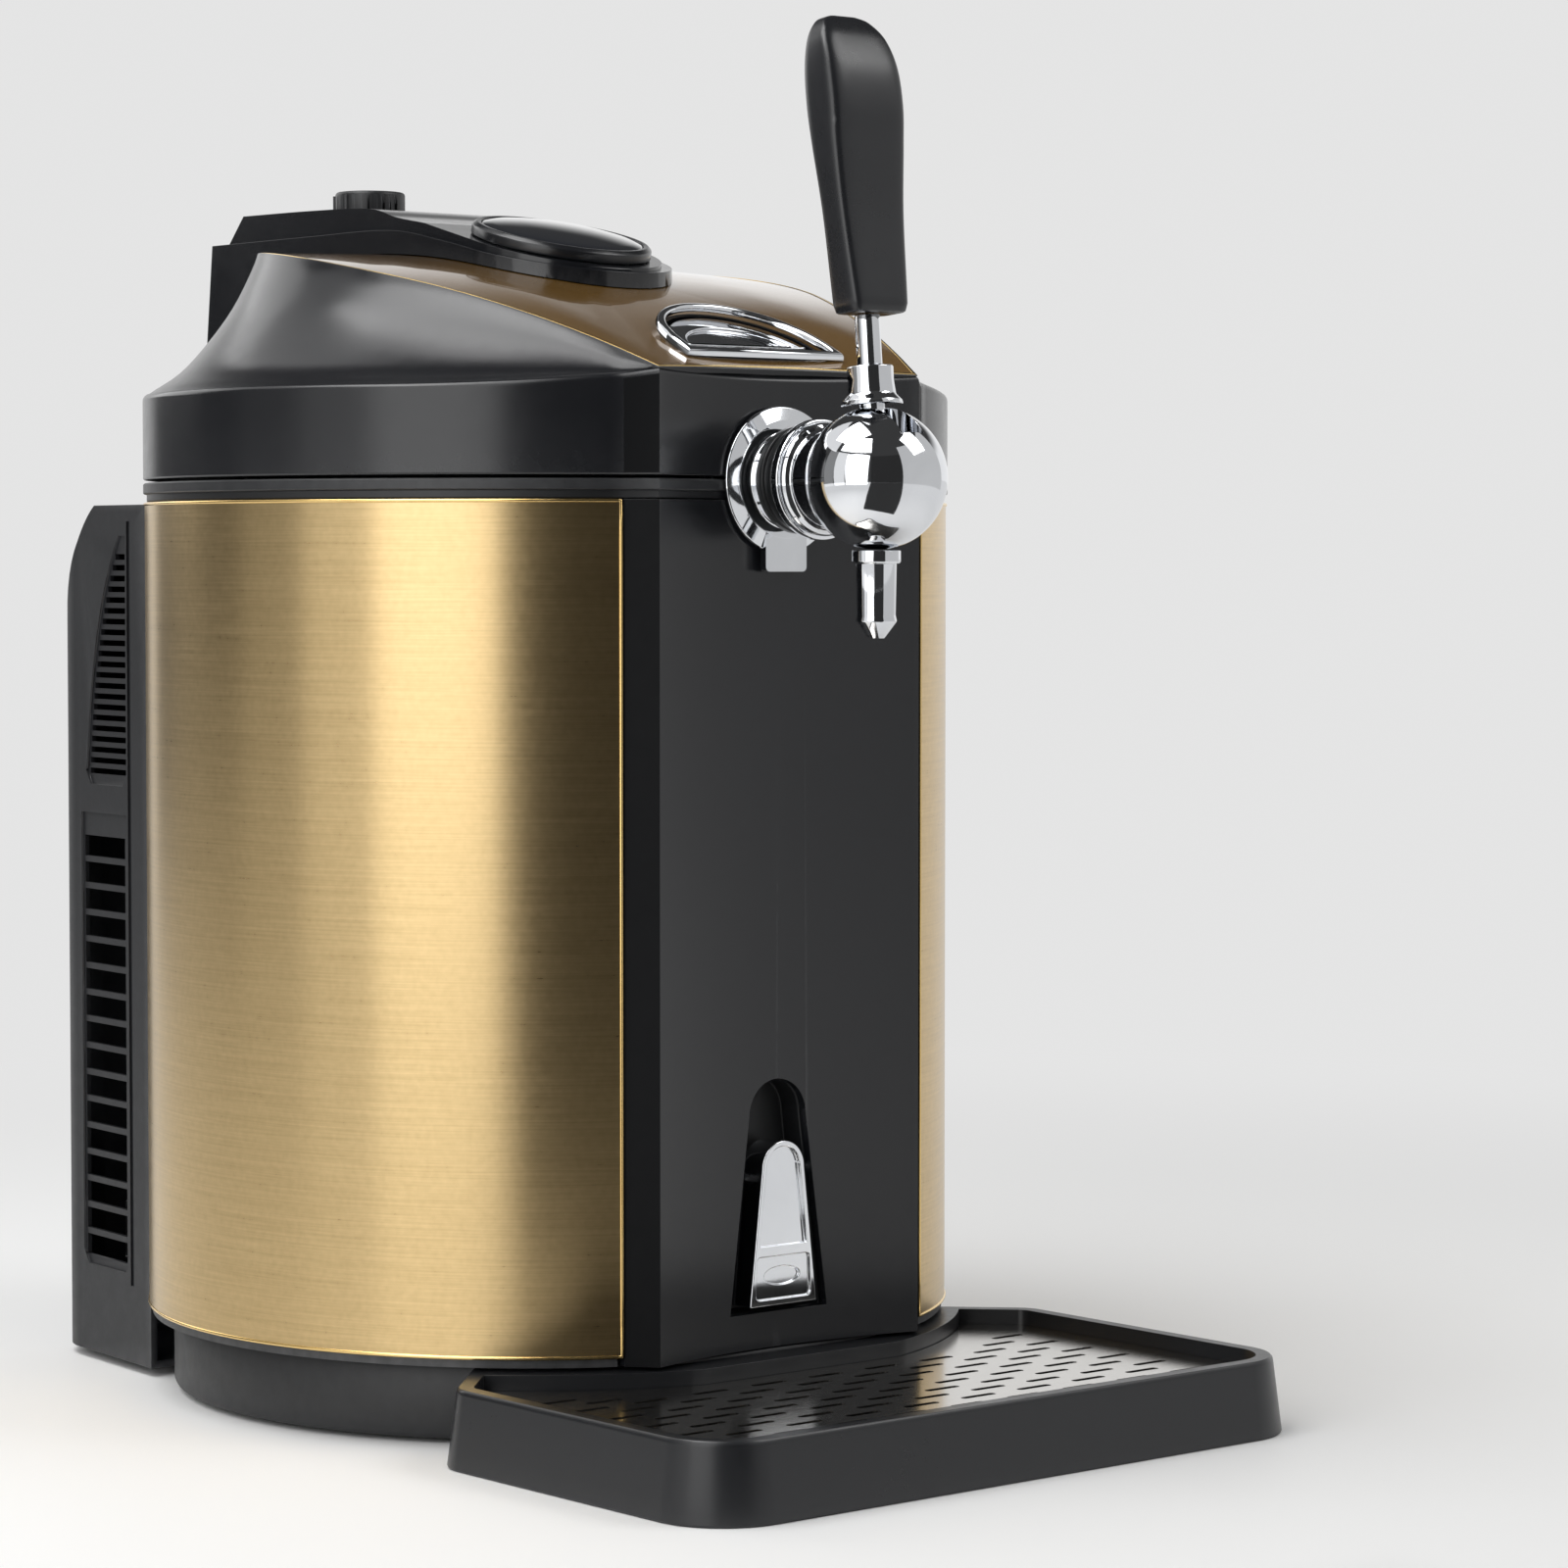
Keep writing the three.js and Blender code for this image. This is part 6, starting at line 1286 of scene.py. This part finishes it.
# Lid latch.
# A black cup is let into the top plate behind a chromed rim. Fingers press the chromed lever in it,
# whose two steel hooks reach down through the lid into the top ring.
cup_form = made("latch_cup_fine", on_slope(prism(latch_outline(1.6), -14.6, -0.3)), spine_black)
tools = [made("cup_hollow", on_slope(prism(latch_outline(0), -13, 5)), spine_black)]
for x in (-20, 20):
    tools.append(made("hook_slot", on_slope(block(x - 2.3, -5, -23, x + 2.3, 23.7, -5.2)), spine_black))
carved(cup_form, tools)
carried(cup_form, "lid", "latch_cup")
rim_levels = [(0.15, 1.25), (0.0, 1.6), (0.1, 2.9), (0.5, 3.5), (1.2, 3.65), (2.2, 3.4), (2.8, 2.6),
              (3.0, 1.25)]
rim_rings = layers(lambda grow: latch_outline(grow, 64), rim_levels)
carried(made("chrome_latch_rim", on_slope(skin(rim_rings, closed=True)), chrome, 50), "lid", "latch_bezel")
plate_tools = [made("lever_front", block(-60, -10, -30, 60, 10.2, 30), chrome)]
lever_plate = made("latch_press_plate", prism(latch_outline(-1.6), -7.2, -0.3), chrome)
carved(lever_plate, plate_tools)
dish_form = made("press_dish",
                 prism([(x * 0.8, 14 + (y - 14) * 0.62) for x, y in latch_outline(-3) if y > 8], -1.5,
                       3), chrome)
carved(lever_plate, [dish_form])
eased_edges(lever_plate, 0.5, 3)
lever_plate.data.transform(swung((0, LATCH_Y, LATCH_LIFT), LATCH_SLOPE, "X"))
carried(lever_plate, "latch", "latch_lever")
for name, body in (("latch_hook", "latch"), ("latch_pin", "lid")):
    refined(name, body, pin_steel, 0.25, 1, 45, 40)

# Tap: shank, flange, nut, rings, ball and spout.
# A plated brass tap is clamped in the saddle between body and lid: a flange with an index tab, a
# black ringed nut, a polished ring, and a ball-shaped body with a short tapered spout.
deep_black = finished("nut_rubber", moulded, {"Grain": 1200.0}, "#0c0d0e", "#151618", (0.3, 0.42), 0.12)
flange_near = FACE_CENTRE + (FACE_SAG - face_sag(23.8)) + 0.3


def on_tap(name, profile, finish, steps=96, crease=40):
    """A turned part on the tap's axis."""
    return made(name, forward(turned(profile, steps)), finish, crease)


carried(on_tap("bored_shank",
               rounded([(3.2, 106, 0.3), (8, 106, 0.6), (8, 159.6, 0.3), (3.2, 159.6, 0.3)]), chrome,
               48), "base", "tap_shank")
seat = flange_near
flange = on_tap("domed_flange",
                rounded([(SHANK_BORE, seat, 0), (23.8, seat, 0.4), (23.8, seat + 1.3, 0.7),
                         (19, seat + 2.9, 3), (15.2, seat + 3.1, 0.9), (14.5, seat + 7, 1.2),
                         (SHANK_BORE, seat + 7, 0)], 5), chrome)
tab = made("index_tab",
           front_prism(rounded([(-8.6, -29.5, 1.6), (8.6, -29.5, 1.6), (8.6, -12, 0), (-8.6, -12, 0)],
                               5), seat + 0.1, seat + 2.9), chrome)
tab.data.transform(Matrix.Translation((0, 0, TAP_HEIGHT / 1000)))
carved(flange, [tab], "UNION", 38)
carried(flange, "base", "tap_flange")
seat += 7.3
nut_profile = [(SHANK_BORE, seat, 0), (15.4, seat, 0.4), (17.3, seat + 0.9, 0.5), (17.3, seat + 3.7, 0.5),
               (15.8, seat + 4.5, 0.4), (17.3, seat + 5.3, 0.5), (17.3, seat + 8.1, 0.5),
               (15.4, seat + 9, 0.4), (SHANK_BORE, seat + 9, 0)]
carried(on_tap("ringed_nut", rounded(nut_profile), deep_black), "base", "shank_nut")
seat += 9.3
carried(on_tap("polished_ring",
               rounded([(SHANK_BORE, seat, 0), (17.2, seat, 0.4), (19.4, seat + 1.5, 0.8),
                        (19.4, seat + 4.6, 0.8), (SHANK_BORE, seat + 4.6, 0)]), chrome), "base",
        "shank_ring")
refined("back_nut", "base", pin_steel, 0.4, crease=30)

BALL, BALL_Y = 22.68, 171.0
ball_profile = [(0, BALL_Y - BALL)] + [(BALL * math.sin(math.pi * i / 72),
                                        BALL_Y - BALL * math.cos(math.pi * i / 72))
                                       for i in range(1, 72)] + [(0, BALL_Y + BALL)]
ball = on_tap("tap_ball", ball_profile, chrome, 128)
seat += 4.9
collar = on_tap("ball_collar",
                rounded([(0, seat, 0), (18.6, seat, 0.5), (17.6, seat + 1.5, 0.6),
                         (16.2, seat + 2.6, 1), (17.2, BALL_Y, 0), (0, BALL_Y, 0)]), chrome)
carved(ball, [collar], "UNION", 40)
lever_gap = 4.4
fan_outline = [(lever_gap * math.cos(math.radians(5)), -lever_gap * math.sin(math.radians(5)))]
margin = math.asin(lever_gap / 27.7)
for i in range(17):
    a = math.radians(5) + margin + (math.radians(-45) - 2 * margin) * i / 16
    fan_outline.append((27.7 * math.sin(a), 27.7 * math.cos(a)))
fan_outline.append((-lever_gap * math.cos(math.radians(-40)), lever_gap * math.sin(math.radians(-40))))
fan_points, fan_faces = slab([(y - BALL_Y, z + TAP_HEIGHT) for y, z in fan_outline], lever_gap)
ways = [made("lever_way", (fan_points, fan_faces), chrome),
        made("chamber", moved(drum(6.8, -6.4, 6.4, 48), y=-BALL_Y, z=TAP_HEIGHT), chrome),
        shank_way(chrome, 140, 160),
        made("spout_bore", moved(drum(1.6, -45, 0, 24), y=-BALL_Y, z=TAP_HEIGHT), chrome),
        made("spout_seat", moved(drum(8.1, -45, -22.4, 64), y=-BALL_Y, z=TAP_HEIGHT), chrome)]
carved(ball, ways, crease=40)
carried(ball, "base", "tap_body")
spout_profile = [(1.6, -50.5, 0.2), (2.6, -50.5, 0.3), (6.6, -45.1, 0.7), (6.2, -43.2, 0.6),
                 (6.5, -26.9, 0.2), (7.4, -26.8, 0.3), (7.8, -26.2, 0.3), (7.8, -22.7, 0.3),
                 (1.6, -22.7, 0)]
carried(made("tapered_spout", moved(turned(rounded(spout_profile), 96), y=-BALL_Y, z=TAP_HEIGHT),
             chrome, 36), "base", "spout")

# Tap lever: collar, shaft and handle.
# A spindle with a ball end sits in the tap; above it a flared collar, a short polished shaft and a
# black paddle handle. Pulling the handle forward opens the tap.
tilt = swung((0, -BALL_Y, TAP_HEIGHT), -5, "X")

spindle_ball = [(6 * math.sin(math.pi * i / 24), -6 * math.cos(math.pi * i / 24)) for i in range(0, 19)]
bell = rounded([(4, 23.1, 0), (10, 23.1, 0.4), (9.6, 24.5, 0.5), (7.8, 26.4, 2), (7.3, 31, 0),
                (7.4, 35.5, 0.6), (0, 35.5, 0)], 5)


def on_lever(name, form, finish, crease=40):
    """A part of the lever, drawn upright round the ball's centre and leant forwards."""
    piece = made(name, form, finish, crease)
    piece.data.transform(tilt)
    return piece


carried(on_lever("flared_collar", turned(spindle_ball + bell, 72), chrome), "tap_lever", "lever_collar")
rod_profile = rounded([(0, 35.8, 0), (4, 35.8, 0.3), (4, 51.8, 0.3), (0, 51.8, 0)])
carried(on_lever("polished_shaft", turned(rod_profile, 64), chrome), "tap_lever", "lever_shaft")

HANDLE = [(0, 0.7, 0.82, -0.12), (0.03, 0.74, 0.85, -0.12), (0.33, 0.86, 0.78, -0.06),
          (0.56, 0.97, 0.9, -0.02), (0.69, 1, 1, 0), (0.82, 0.98, 0.93, 0.05), (0.92, 0.86, 0.7, 0.14),
          (0.98, 0.62, 0.42, 0.24), (1, 0.36, 0.24, 0.29)]
handle_black = finished("handle_moulding", moulded, {"Grain": 1500.0, "Drift": 18.0}, "#17181b",
                        "#222326", (0.24, 0.34), 0.07, wear=0.3)
levels = []
for i in range(len(HANDLE) - 1):
    four = [HANDLE[max(0, i - 1)], HANDLE[i], HANDLE[i + 1], HANDLE[min(len(HANDLE) - 1, i + 2)]]
    rows = 10 if i > 0 else 3
    levels += [eased_at(four, k / rows) for k in range(rows)]
levels.append(HANDLE[-1])
levels = [row for row in levels if row[0] > 0.008]
levels = [(0.0, 0.65, 0.75, -0.12), (0.004, 0.69, 0.8, -0.12)] + levels + [(1.0, 0.12, 0.08, 0.32)]
handle_rings = []
for up_share, wide, deep, back in levels:
    ring_points = []
    for i in range(96):
        a = 2 * math.pi * i / 96
        x = math.copysign(abs(math.cos(a)) ** 0.38, math.cos(a))
        y = math.copysign(abs(math.sin(a)) ** 0.38, math.sin(a))
        ring_points.append((15.6 * wide * x, 8.2 * deep * y + 16.4 * back, 52.1 + 95 * up_share))
    handle_rings.append(ring_points)
carried(on_lever("paddle_handle", skin(handle_rings), handle_black, 60), "tap_lever", "lever_handle")

# Beer line, keg adapter and clip.
# A short clear hose runs from the shank over the well's mouth to the keg adapter, which is parked in
# a clip on the well's wall while no keg is in.
start = -105.7
bend = [(start + 0.3, TAP_HEIGHT), (start + 23.4, TAP_HEIGHT), (start + 30, 300.7), (start + 30, 278.5)]
run_points = []
for i in range(33):
    t = i / 32
    run_points.append(tuple((1 - t) ** 3 * a + 3 * (1 - t) ** 2 * t * b + 3 * (1 - t) * t * t * c
                            + t ** 3 * d for a, b, c, d in zip(*bend)))
run_points = [(start, TAP_HEIGHT)] + run_points + [(start + 30, 275.5), (start + 30, 272.5)]
hose_rings = []
for i, (y, z) in enumerate(run_points):
    q, r = run_points[max(0, i - 1)], run_points[min(len(run_points) - 1, i + 1)]
    along_y, along_z = r[0] - q[0], r[1] - q[1]
    size = math.hypot(along_y, along_z)
    hose_rings.append([(3.2 * math.cos(a), y - 3.2 * math.sin(a) * along_z / size,
                        z + 3.2 * math.sin(a) * along_y / size)
                       for a in (2 * math.pi * k / 24 for k in range(24))])
clear_hose = finished("clear_hose", chrome_marks, {}, "#dfe4e5", "#eef1f2", (0.12, 0.2), 0.01,
                      Transmission_Weight=0.7, IOR=1.45)
carried(made("clear_beer_line", skin(hose_rings), clear_hose, 60), "base", "beer_line")
LINE_Y, LINE_Z = start + 30, 272.2
carried(made("ribbed_adapter",
             moved(turned(rounded([(0, -30, 0), (4.8, -30, 0.5), (8, -24, 1), (8, -14, 0.3),
                                   (7.2, -13.4, 0.3), (7.2, -11.6, 0.3), (8, -11, 0.3), (8, -3.6, 1),
                                   (4.8, 0, 0.6), (0, 0, 0)]), 72), y=LINE_Y, z=LINE_Z), grey_plastic),
        "base", "keg_adapter")
refined("adapter_clip", "base", grey_plastic, 0.4)

# Drip tray.
# A loose black tray with flared walls and round front corners; its rear ends slant in to the plinth,
# which its hollow back hugs, and a ledge inside it carries the grille.
tray_black = finished("tray_moulding", moulded, {"Grain": 1400.0, "Drift": 11.0}, "#141518", "#1d1e21",
                      (0.26, 0.38), 0.1, wear=0.3)
tray_levels = [(2.1, 0), (2.7, 0.25), (3.0, 0.9), (2.2, 7), (0.12, 23.4), (-0.15, 24.5), (-0.8, 25.1)]


def tray_plan(grow, steps=20):
    """The tray from above, with slanting rear ends."""
    half_width, tray_front, rear = 123.4 + grow, 240 + grow, 106 - grow
    front_corner, rear_corner = 22 + grow, max(12 + grow, 3)
    right = []
    for i in range(steps + 1):
        a = math.pi / 2 * i / steps
        right.append((half_width - front_corner + front_corner * math.sin(a),
                      -tray_front + front_corner - front_corner * math.cos(a)))
    for i in range(9):
        a = math.pi / 4 * i / 8
        right.append((half_width - rear_corner + rear_corner * math.cos(a),
                      -rear - rear_corner + rear_corner * math.sin(a)))
    end_x, end_y = right[-1]
    right.append((end_x - 26, end_y + 26))
    return right + [(-x, y) for x, y in reversed(right)]


tray = made("flared_tray", skin(layers(tray_plan, tray_levels)), tray_black, 30)
hollow = made("tray_upper", prism(tray_plan(-5.5), 18.6, 32), tray_black)


def tray_back(inset, low, high):
    """What hollows the tray's back round the plinth."""
    return prism(cut_circle(129.65 + inset, 123.5 + inset, 0, 160), low, high)


carved(hollow, [made("upper_back", tray_back(12.4, 10, 40), tray_black)])
basin = made("tray_basin", prism(tray_plan(-8.5), 3, 25), tray_black)
carved(basin, [made("basin_back", tray_back(15.4, 0, 40), tray_black)])
carved(tray, [made("tray_back", tray_back(0, -5, 40), tray_black), hollow, basin], crease=30)
eased_edges(tray, 0.7, 3, 50)
carried(tray, "drip_tray", "drip_tray")

# Drip grille.
# A thin sheet of brushed steel with staggered rows of short slots lies on the tray's ledge.
plate_tree, plate_in, plate_end = growth("slotted_sheet", "Slot Length", "Slot Width", "Pitch", "Row",
                                         "Margin", "Middle", "Thickness")
slot_grid = out(plate_tree, "GeometryNodeMeshGrid",
                {"Size X": plate_in["Pitch"] * 10.0, "Size Y": plate_in["Row"] * 14.0, "Vertices X": 11,
                 "Vertices Y": 15})
slot_row_number = reckoned("ROUND", places(plate_tree)[1] / plate_in["Row"])
odd = reckoned("PINGPONG", slot_row_number, 1.0)
stagger = vector(plate_tree, odd * (plate_in["Pitch"] * 0.5))
slot_seeds = out(plate_tree, "GeometryNodeSetPosition",
                 {"Geometry": slot_grid,
                  "Offset": out(plate_tree, "ShaderNodeVectorMath", {0: stagger, 1: plate_in["Middle"]},
                                operation="ADD")})
half_slot = plate_in["Slot Length"] * 0.5
here = out(plate_tree, "GeometryNodeInputPosition")
ok = []
for sign in (-1.0, 1.0):
    tip_offset = vector(plate_tree, half_slot * sign)
    tip = out(plate_tree, "ShaderNodeVectorMath", {0: here, 1: tip_offset}, operation="ADD")
    near = node(plate_tree, "GeometryNodeProximity", {0: plate_in["Geometry"]}, target_element="EDGES")
    joined(tip,
           near.inputs["Sample Position"] if "Sample Position" in near.inputs
           else near.inputs["Source Position"])
    near_far = out(plate_tree, "FunctionNodeCompare",
                   {0: near.outputs["Distance"], 1: plate_in["Margin"]}, data_type="FLOAT",
                   operation="LESS_THAN")
    ray = node(plate_tree, "GeometryNodeRaycast",
               {0: plate_in["Geometry"], "Ray Direction": (0, 0, -1.0), "Ray Length": 0.1})
    joined(out(plate_tree, "ShaderNodeVectorMath", {0: tip, 1: (0, 0, 0.02)}, operation="ADD"),
           ray.inputs["Source Position"])
    missed = out(plate_tree, "FunctionNodeBooleanMath", {0: ray.outputs["Is Hit"]}, operation="NOT")
    ok.append(out(plate_tree, "FunctionNodeBooleanMath", {0: near_far, 1: missed}, operation="OR"))
outside = out(plate_tree, "FunctionNodeBooleanMath", {0: ok[0], 1: ok[1]}, operation="OR")
slot_seeds = out(plate_tree, "GeometryNodeDeleteGeometry", {"Geometry": slot_seeds, "Selection": outside})
slot_shape = out(plate_tree, "GeometryNodeCurvePrimitiveQuadrilateral",
                 {0: plate_in["Slot Length"], 1: plate_in["Slot Width"]})
slot_shape = out(plate_tree, "GeometryNodeFilletCurve",
                 {"Curve": slot_shape, "Radius": plate_in["Slot Width"] * 0.49, "Count": 4,
                  "Limit Radius": True}, mode="POLY")
slot_face = out(plate_tree, "GeometryNodeFillCurve", {0: slot_shape}, mode="NGONS")
deep = plate_in["Thickness"] * 6.0
slot_top = out(plate_tree, "GeometryNodeExtrudeMesh", {"Mesh": slot_face, "Offset Scale": deep})
slot_foot = out(plate_tree, "GeometryNodeFlipFaces", {0: slot_face})
slot_solid = node(plate_tree, "GeometryNodeJoinGeometry", {0: slot_top})
joined(slot_foot, slot_solid.inputs[0])
slot_solid = out(plate_tree, "GeometryNodeMergeByDistance",
                 {"Geometry": slot_solid.outputs[0], "Distance": 1e-6})
slot_solid = out(plate_tree, "GeometryNodeTransform",
                 {"Geometry": slot_solid, "Translation": vector(plate_tree, z=deep * -0.5)})
slot_cutters = out(plate_tree, "GeometryNodeRealizeInstances",
                   {0: out(plate_tree, "GeometryNodeInstanceOnPoints",
                           {"Points": slot_seeds, "Instance": slot_solid})})
sheet_top = out(plate_tree, "GeometryNodeExtrudeMesh",
                {"Mesh": plate_in["Geometry"], "Offset Scale": plate_in["Thickness"]})
sheet_solid = node(plate_tree, "GeometryNodeJoinGeometry", {0: sheet_top})
joined(out(plate_tree, "GeometryNodeFlipFaces", {0: plate_in["Geometry"]}), sheet_solid.inputs[0])
sheet_solid = out(plate_tree, "GeometryNodeMergeByDistance",
                  {"Geometry": sheet_solid.outputs[0], "Distance": 1e-6})
sheet_cut = node(plate_tree, "GeometryNodeMeshBoolean", {0: sheet_solid}, operation="DIFFERENCE")
joined(slot_cutters, sheet_cut.inputs[1])
ended(plate_tree, sheet_cut.outputs[0], plate_in["Finish"], plate_end)

brushed_steel = finished("brushed_steel_sheet", brushed,
                         {"Run X": 10.0, "Run Y": 1500.0, "Run Z": 1500.0}, "#b3b0ab", "#d2cfca",
                         (0.14, 0.22), 0.04, depth=0.04, Metallic=1.0)
flat_sheet = made("grille_blank", prism(tray_plan(-5.9), 10, 30), brushed_steel)
carved(flat_sheet, [made("grille_back", tray_back(12.8, 0, 40), brushed_steel)])
cut_level = spot(0, 0, 18.9)[2]
work = bmesh.new()
work.from_mesh(flat_sheet.data)
bmesh.ops.bisect_plane(work, geom=work.verts[:] + work.edges[:] + work.faces[:],
                       plane_co=(0, 0, cut_level), plane_no=(0, 0, 1), clear_inner=True,
                       clear_outer=True)
bmesh.ops.remove_doubles(work, verts=work.verts, dist=1e-6)
bmesh.ops.contextual_create(work, geom=work.edges)
for face in work.faces:
    if face.normal.z < 0:
        face.normal_flip()
work.to_mesh(flat_sheet.data)
work.free()
flat_sheet.name = "slotted_grille"
grown(flat_sheet, plate_tree, slot_length=0.014, slot_width=0.0028, pitch=0.024, row=0.0085,
      margin=0.006, middle=spot(0, -181, 18.9), thickness=0.0012, finish=brushed_steel)
carried(cleaned(flat_sheet, 30), "grille", "drip_grille")

# Studio.
# A pale floor runs into a pale backdrop. A broad softbox stands on the left with two weaker ones
# feathering it to the back, another hangs over the lid, and cards shape what the metal reflects.
camera = put("camera", bpy.data.cameras.new("camera"))
camera.data.sensor_width = 36
camera.data.lens = 107.8
camera.data.clip_end = 60
camera.location = (-0.98327, -1.24645, 0.28333)
ahead = Vector((0.6459, 0.7611, -0.0478)).normalized()
aside = Vector((0.7628, -0.6466, 0)).normalized()
above = aside.cross(ahead)
aim = Matrix((aside, above, -ahead)).transposed().to_4x4()
camera.matrix_world = Matrix.Translation(camera.location) @ aim
bpy.context.scene.camera = camera

# How bright the backdrop looks, and how bright the room is for soft light.
BACKDROP, AMBIENT = 0.78, 0.42
world = bpy.data.worlds.new("studio")
bpy.context.scene.world = world
world.use_nodes = True
room = world.node_tree
paths = node(room, "ShaderNodeLightPath").outputs
looked = reckoned("MAXIMUM", paths["Is Camera Ray"], paths["Is Transmission Ray"])
rise = node(room, "ShaderNodeSeparateXYZ",
            {0: node(room, "ShaderNodeTexCoord").outputs["Generated"]}).outputs[2]
mirrored = out(room, "ShaderNodeMapRange",
               {"Value": rise, "From Min": 0.24, "From Max": 0.5, "To Min": 0.95, "To Max": 0.05},
               interpolation_type="SMOOTHSTEP")
level = looked * (BACKDROP - AMBIENT) + AMBIENT
level = out(room, "ShaderNodeMix", {0: paths["Is Glossy Ray"], 2: level, 3: mirrored})
sky = room.nodes["Background"]
sky.inputs["Color"].default_value = (1, 1, 1, 1)
joined(level, sky.inputs["Strength"])

floor_mesh = bpy.data.meshes.new("floor")
floor_mesh.from_pydata([(-30, -30, 0), (30, -30, 0), (30, 30, 0), (-30, 30, 0)], [], [(0, 1, 2, 3)])
floor = put("floor", floor_mesh)
pale = bpy.data.materials.new("pale_floor")
pale.use_nodes = True
sweep = pale.node_tree
paint = sweep.nodes["Principled BSDF"]
paint.inputs["Base Color"].default_value = (0.86, 0.86, 0.855, 1)
paint.inputs["Roughness"].default_value = 0.6
reach = node(sweep, "ShaderNodeVectorMath", {0: node(sweep, "ShaderNodeTexCoord").outputs["Object"]},
             operation="LENGTH").outputs["Value"]
fade = out(sweep, "ShaderNodeMapRange", {"Value": reach, "From Min": 0.3, "From Max": 1.1},
           interpolation_type="SMOOTHSTEP")
path = node(sweep, "ShaderNodeLightPath").outputs
soft = reckoned("MAXIMUM", reckoned("MAXIMUM", path["Is Camera Ray"], path["Is Glossy Ray"]),
                path["Is Transmission Ray"])
glow = out(sweep, "ShaderNodeEmission", {"Strength": soft * (BACKDROP - AMBIENT) + AMBIENT})
blend = out(sweep, "ShaderNodeMixShader", {0: fade, 1: paint.outputs[0], 2: glow})
joined(blend, sweep.nodes["Material Output"].inputs["Surface"])
floor_mesh.materials.append(pale)


def card(name, first, last, low, high, level):
    """A card that only reflections meet, between two angles from the front and two (radius, height) rims."""
    points = []
    for i in range(25):
        a = math.radians(first + (last - first) * i / 24)
        points += [(r * math.sin(a), -r * math.cos(a), z) for r, z in (low, high)]
    faces = [(2 * i, 2 * i + 2, 2 * i + 3, 2 * i + 1) for i in range(24)]
    mesh = bpy.data.meshes.new(name)
    mesh.from_pydata(points, [], faces)
    cloth = bpy.data.materials.new(name)
    cloth.use_nodes = True
    tree = cloth.node_tree
    shown = out(tree, "ShaderNodeEmission", {"Strength": level})
    gone = out(tree, "ShaderNodeBsdfTransparent")
    glossy = node(tree, "ShaderNodeLightPath").outputs["Is Glossy Ray"]
    joined(out(tree, "ShaderNodeMixShader", {0: glossy, 1: gone, 2: shown}),
           tree.nodes["Material Output"].inputs["Surface"])
    mesh.materials.append(cloth)
    obj = put(name, mesh)


card("high_card", -108, -46, (1.2, 1.25), (0.8, 1.85), 3.3)
card("rear_high_card", -182, -118, (1.4, 1.26), (0.8, 1.75), 0.9)
card("dark_card", -48, 2, (2.4, 0.01), (2.4, 1.9), 0.03)
card("dark_floor_card", -48, 2, (0.34, 0.004), (2.4, 0.008), 0.04)
card("rear_left_card", -182, -48, (2.6, 0.01), (2.6, 1.9), 0.06)
card("pale_card", 2, 84, (2.2, 0.01), (2.2, 2.5), 0.6)


def softbox(name, place, target, width, height, power):
    """A rectangular lamp aimed at a target."""
    lamp = bpy.data.lights.new(name, "AREA")
    lamp.shape = "RECTANGLE"
    lamp.size, lamp.size_y, lamp.energy = width, height, power
    stand = put(name, lamp)
    stand.location = place
    stand.rotation_euler = (Vector(target) - Vector(place)).to_track_quat("-Z", "Y").to_euler()


for name, angle, width, power in (("left_softbox", -69, 0.98, 8.8), ("left_feather", -98.5, 0.54, 1.8),
                                  ("rear_feather", -120, 0.54, 0.45)):
    turn = math.radians(angle)
    softbox(name, (1.45 * math.sin(turn), -1.45 * math.cos(turn), 0.64), (0, 0, 0.32), width, 1.25, power)
softbox("top_softbox", (-0.5, 0.2, 1.45), (-0.06, 0, 0.3), 0.82, 0.74, 9.6)
softbox("front_softbox", (0.95, -1.05, 1.6), (0, -0.1, 0.2), 0.9, 0.9, 9)
softbox("rear_softbox", (-0.35, 1.6, 0.95), (0, 0, 0.25), 1.0, 1.0, 6)

bpy.context.scene.view_settings.view_transform = "Standard"
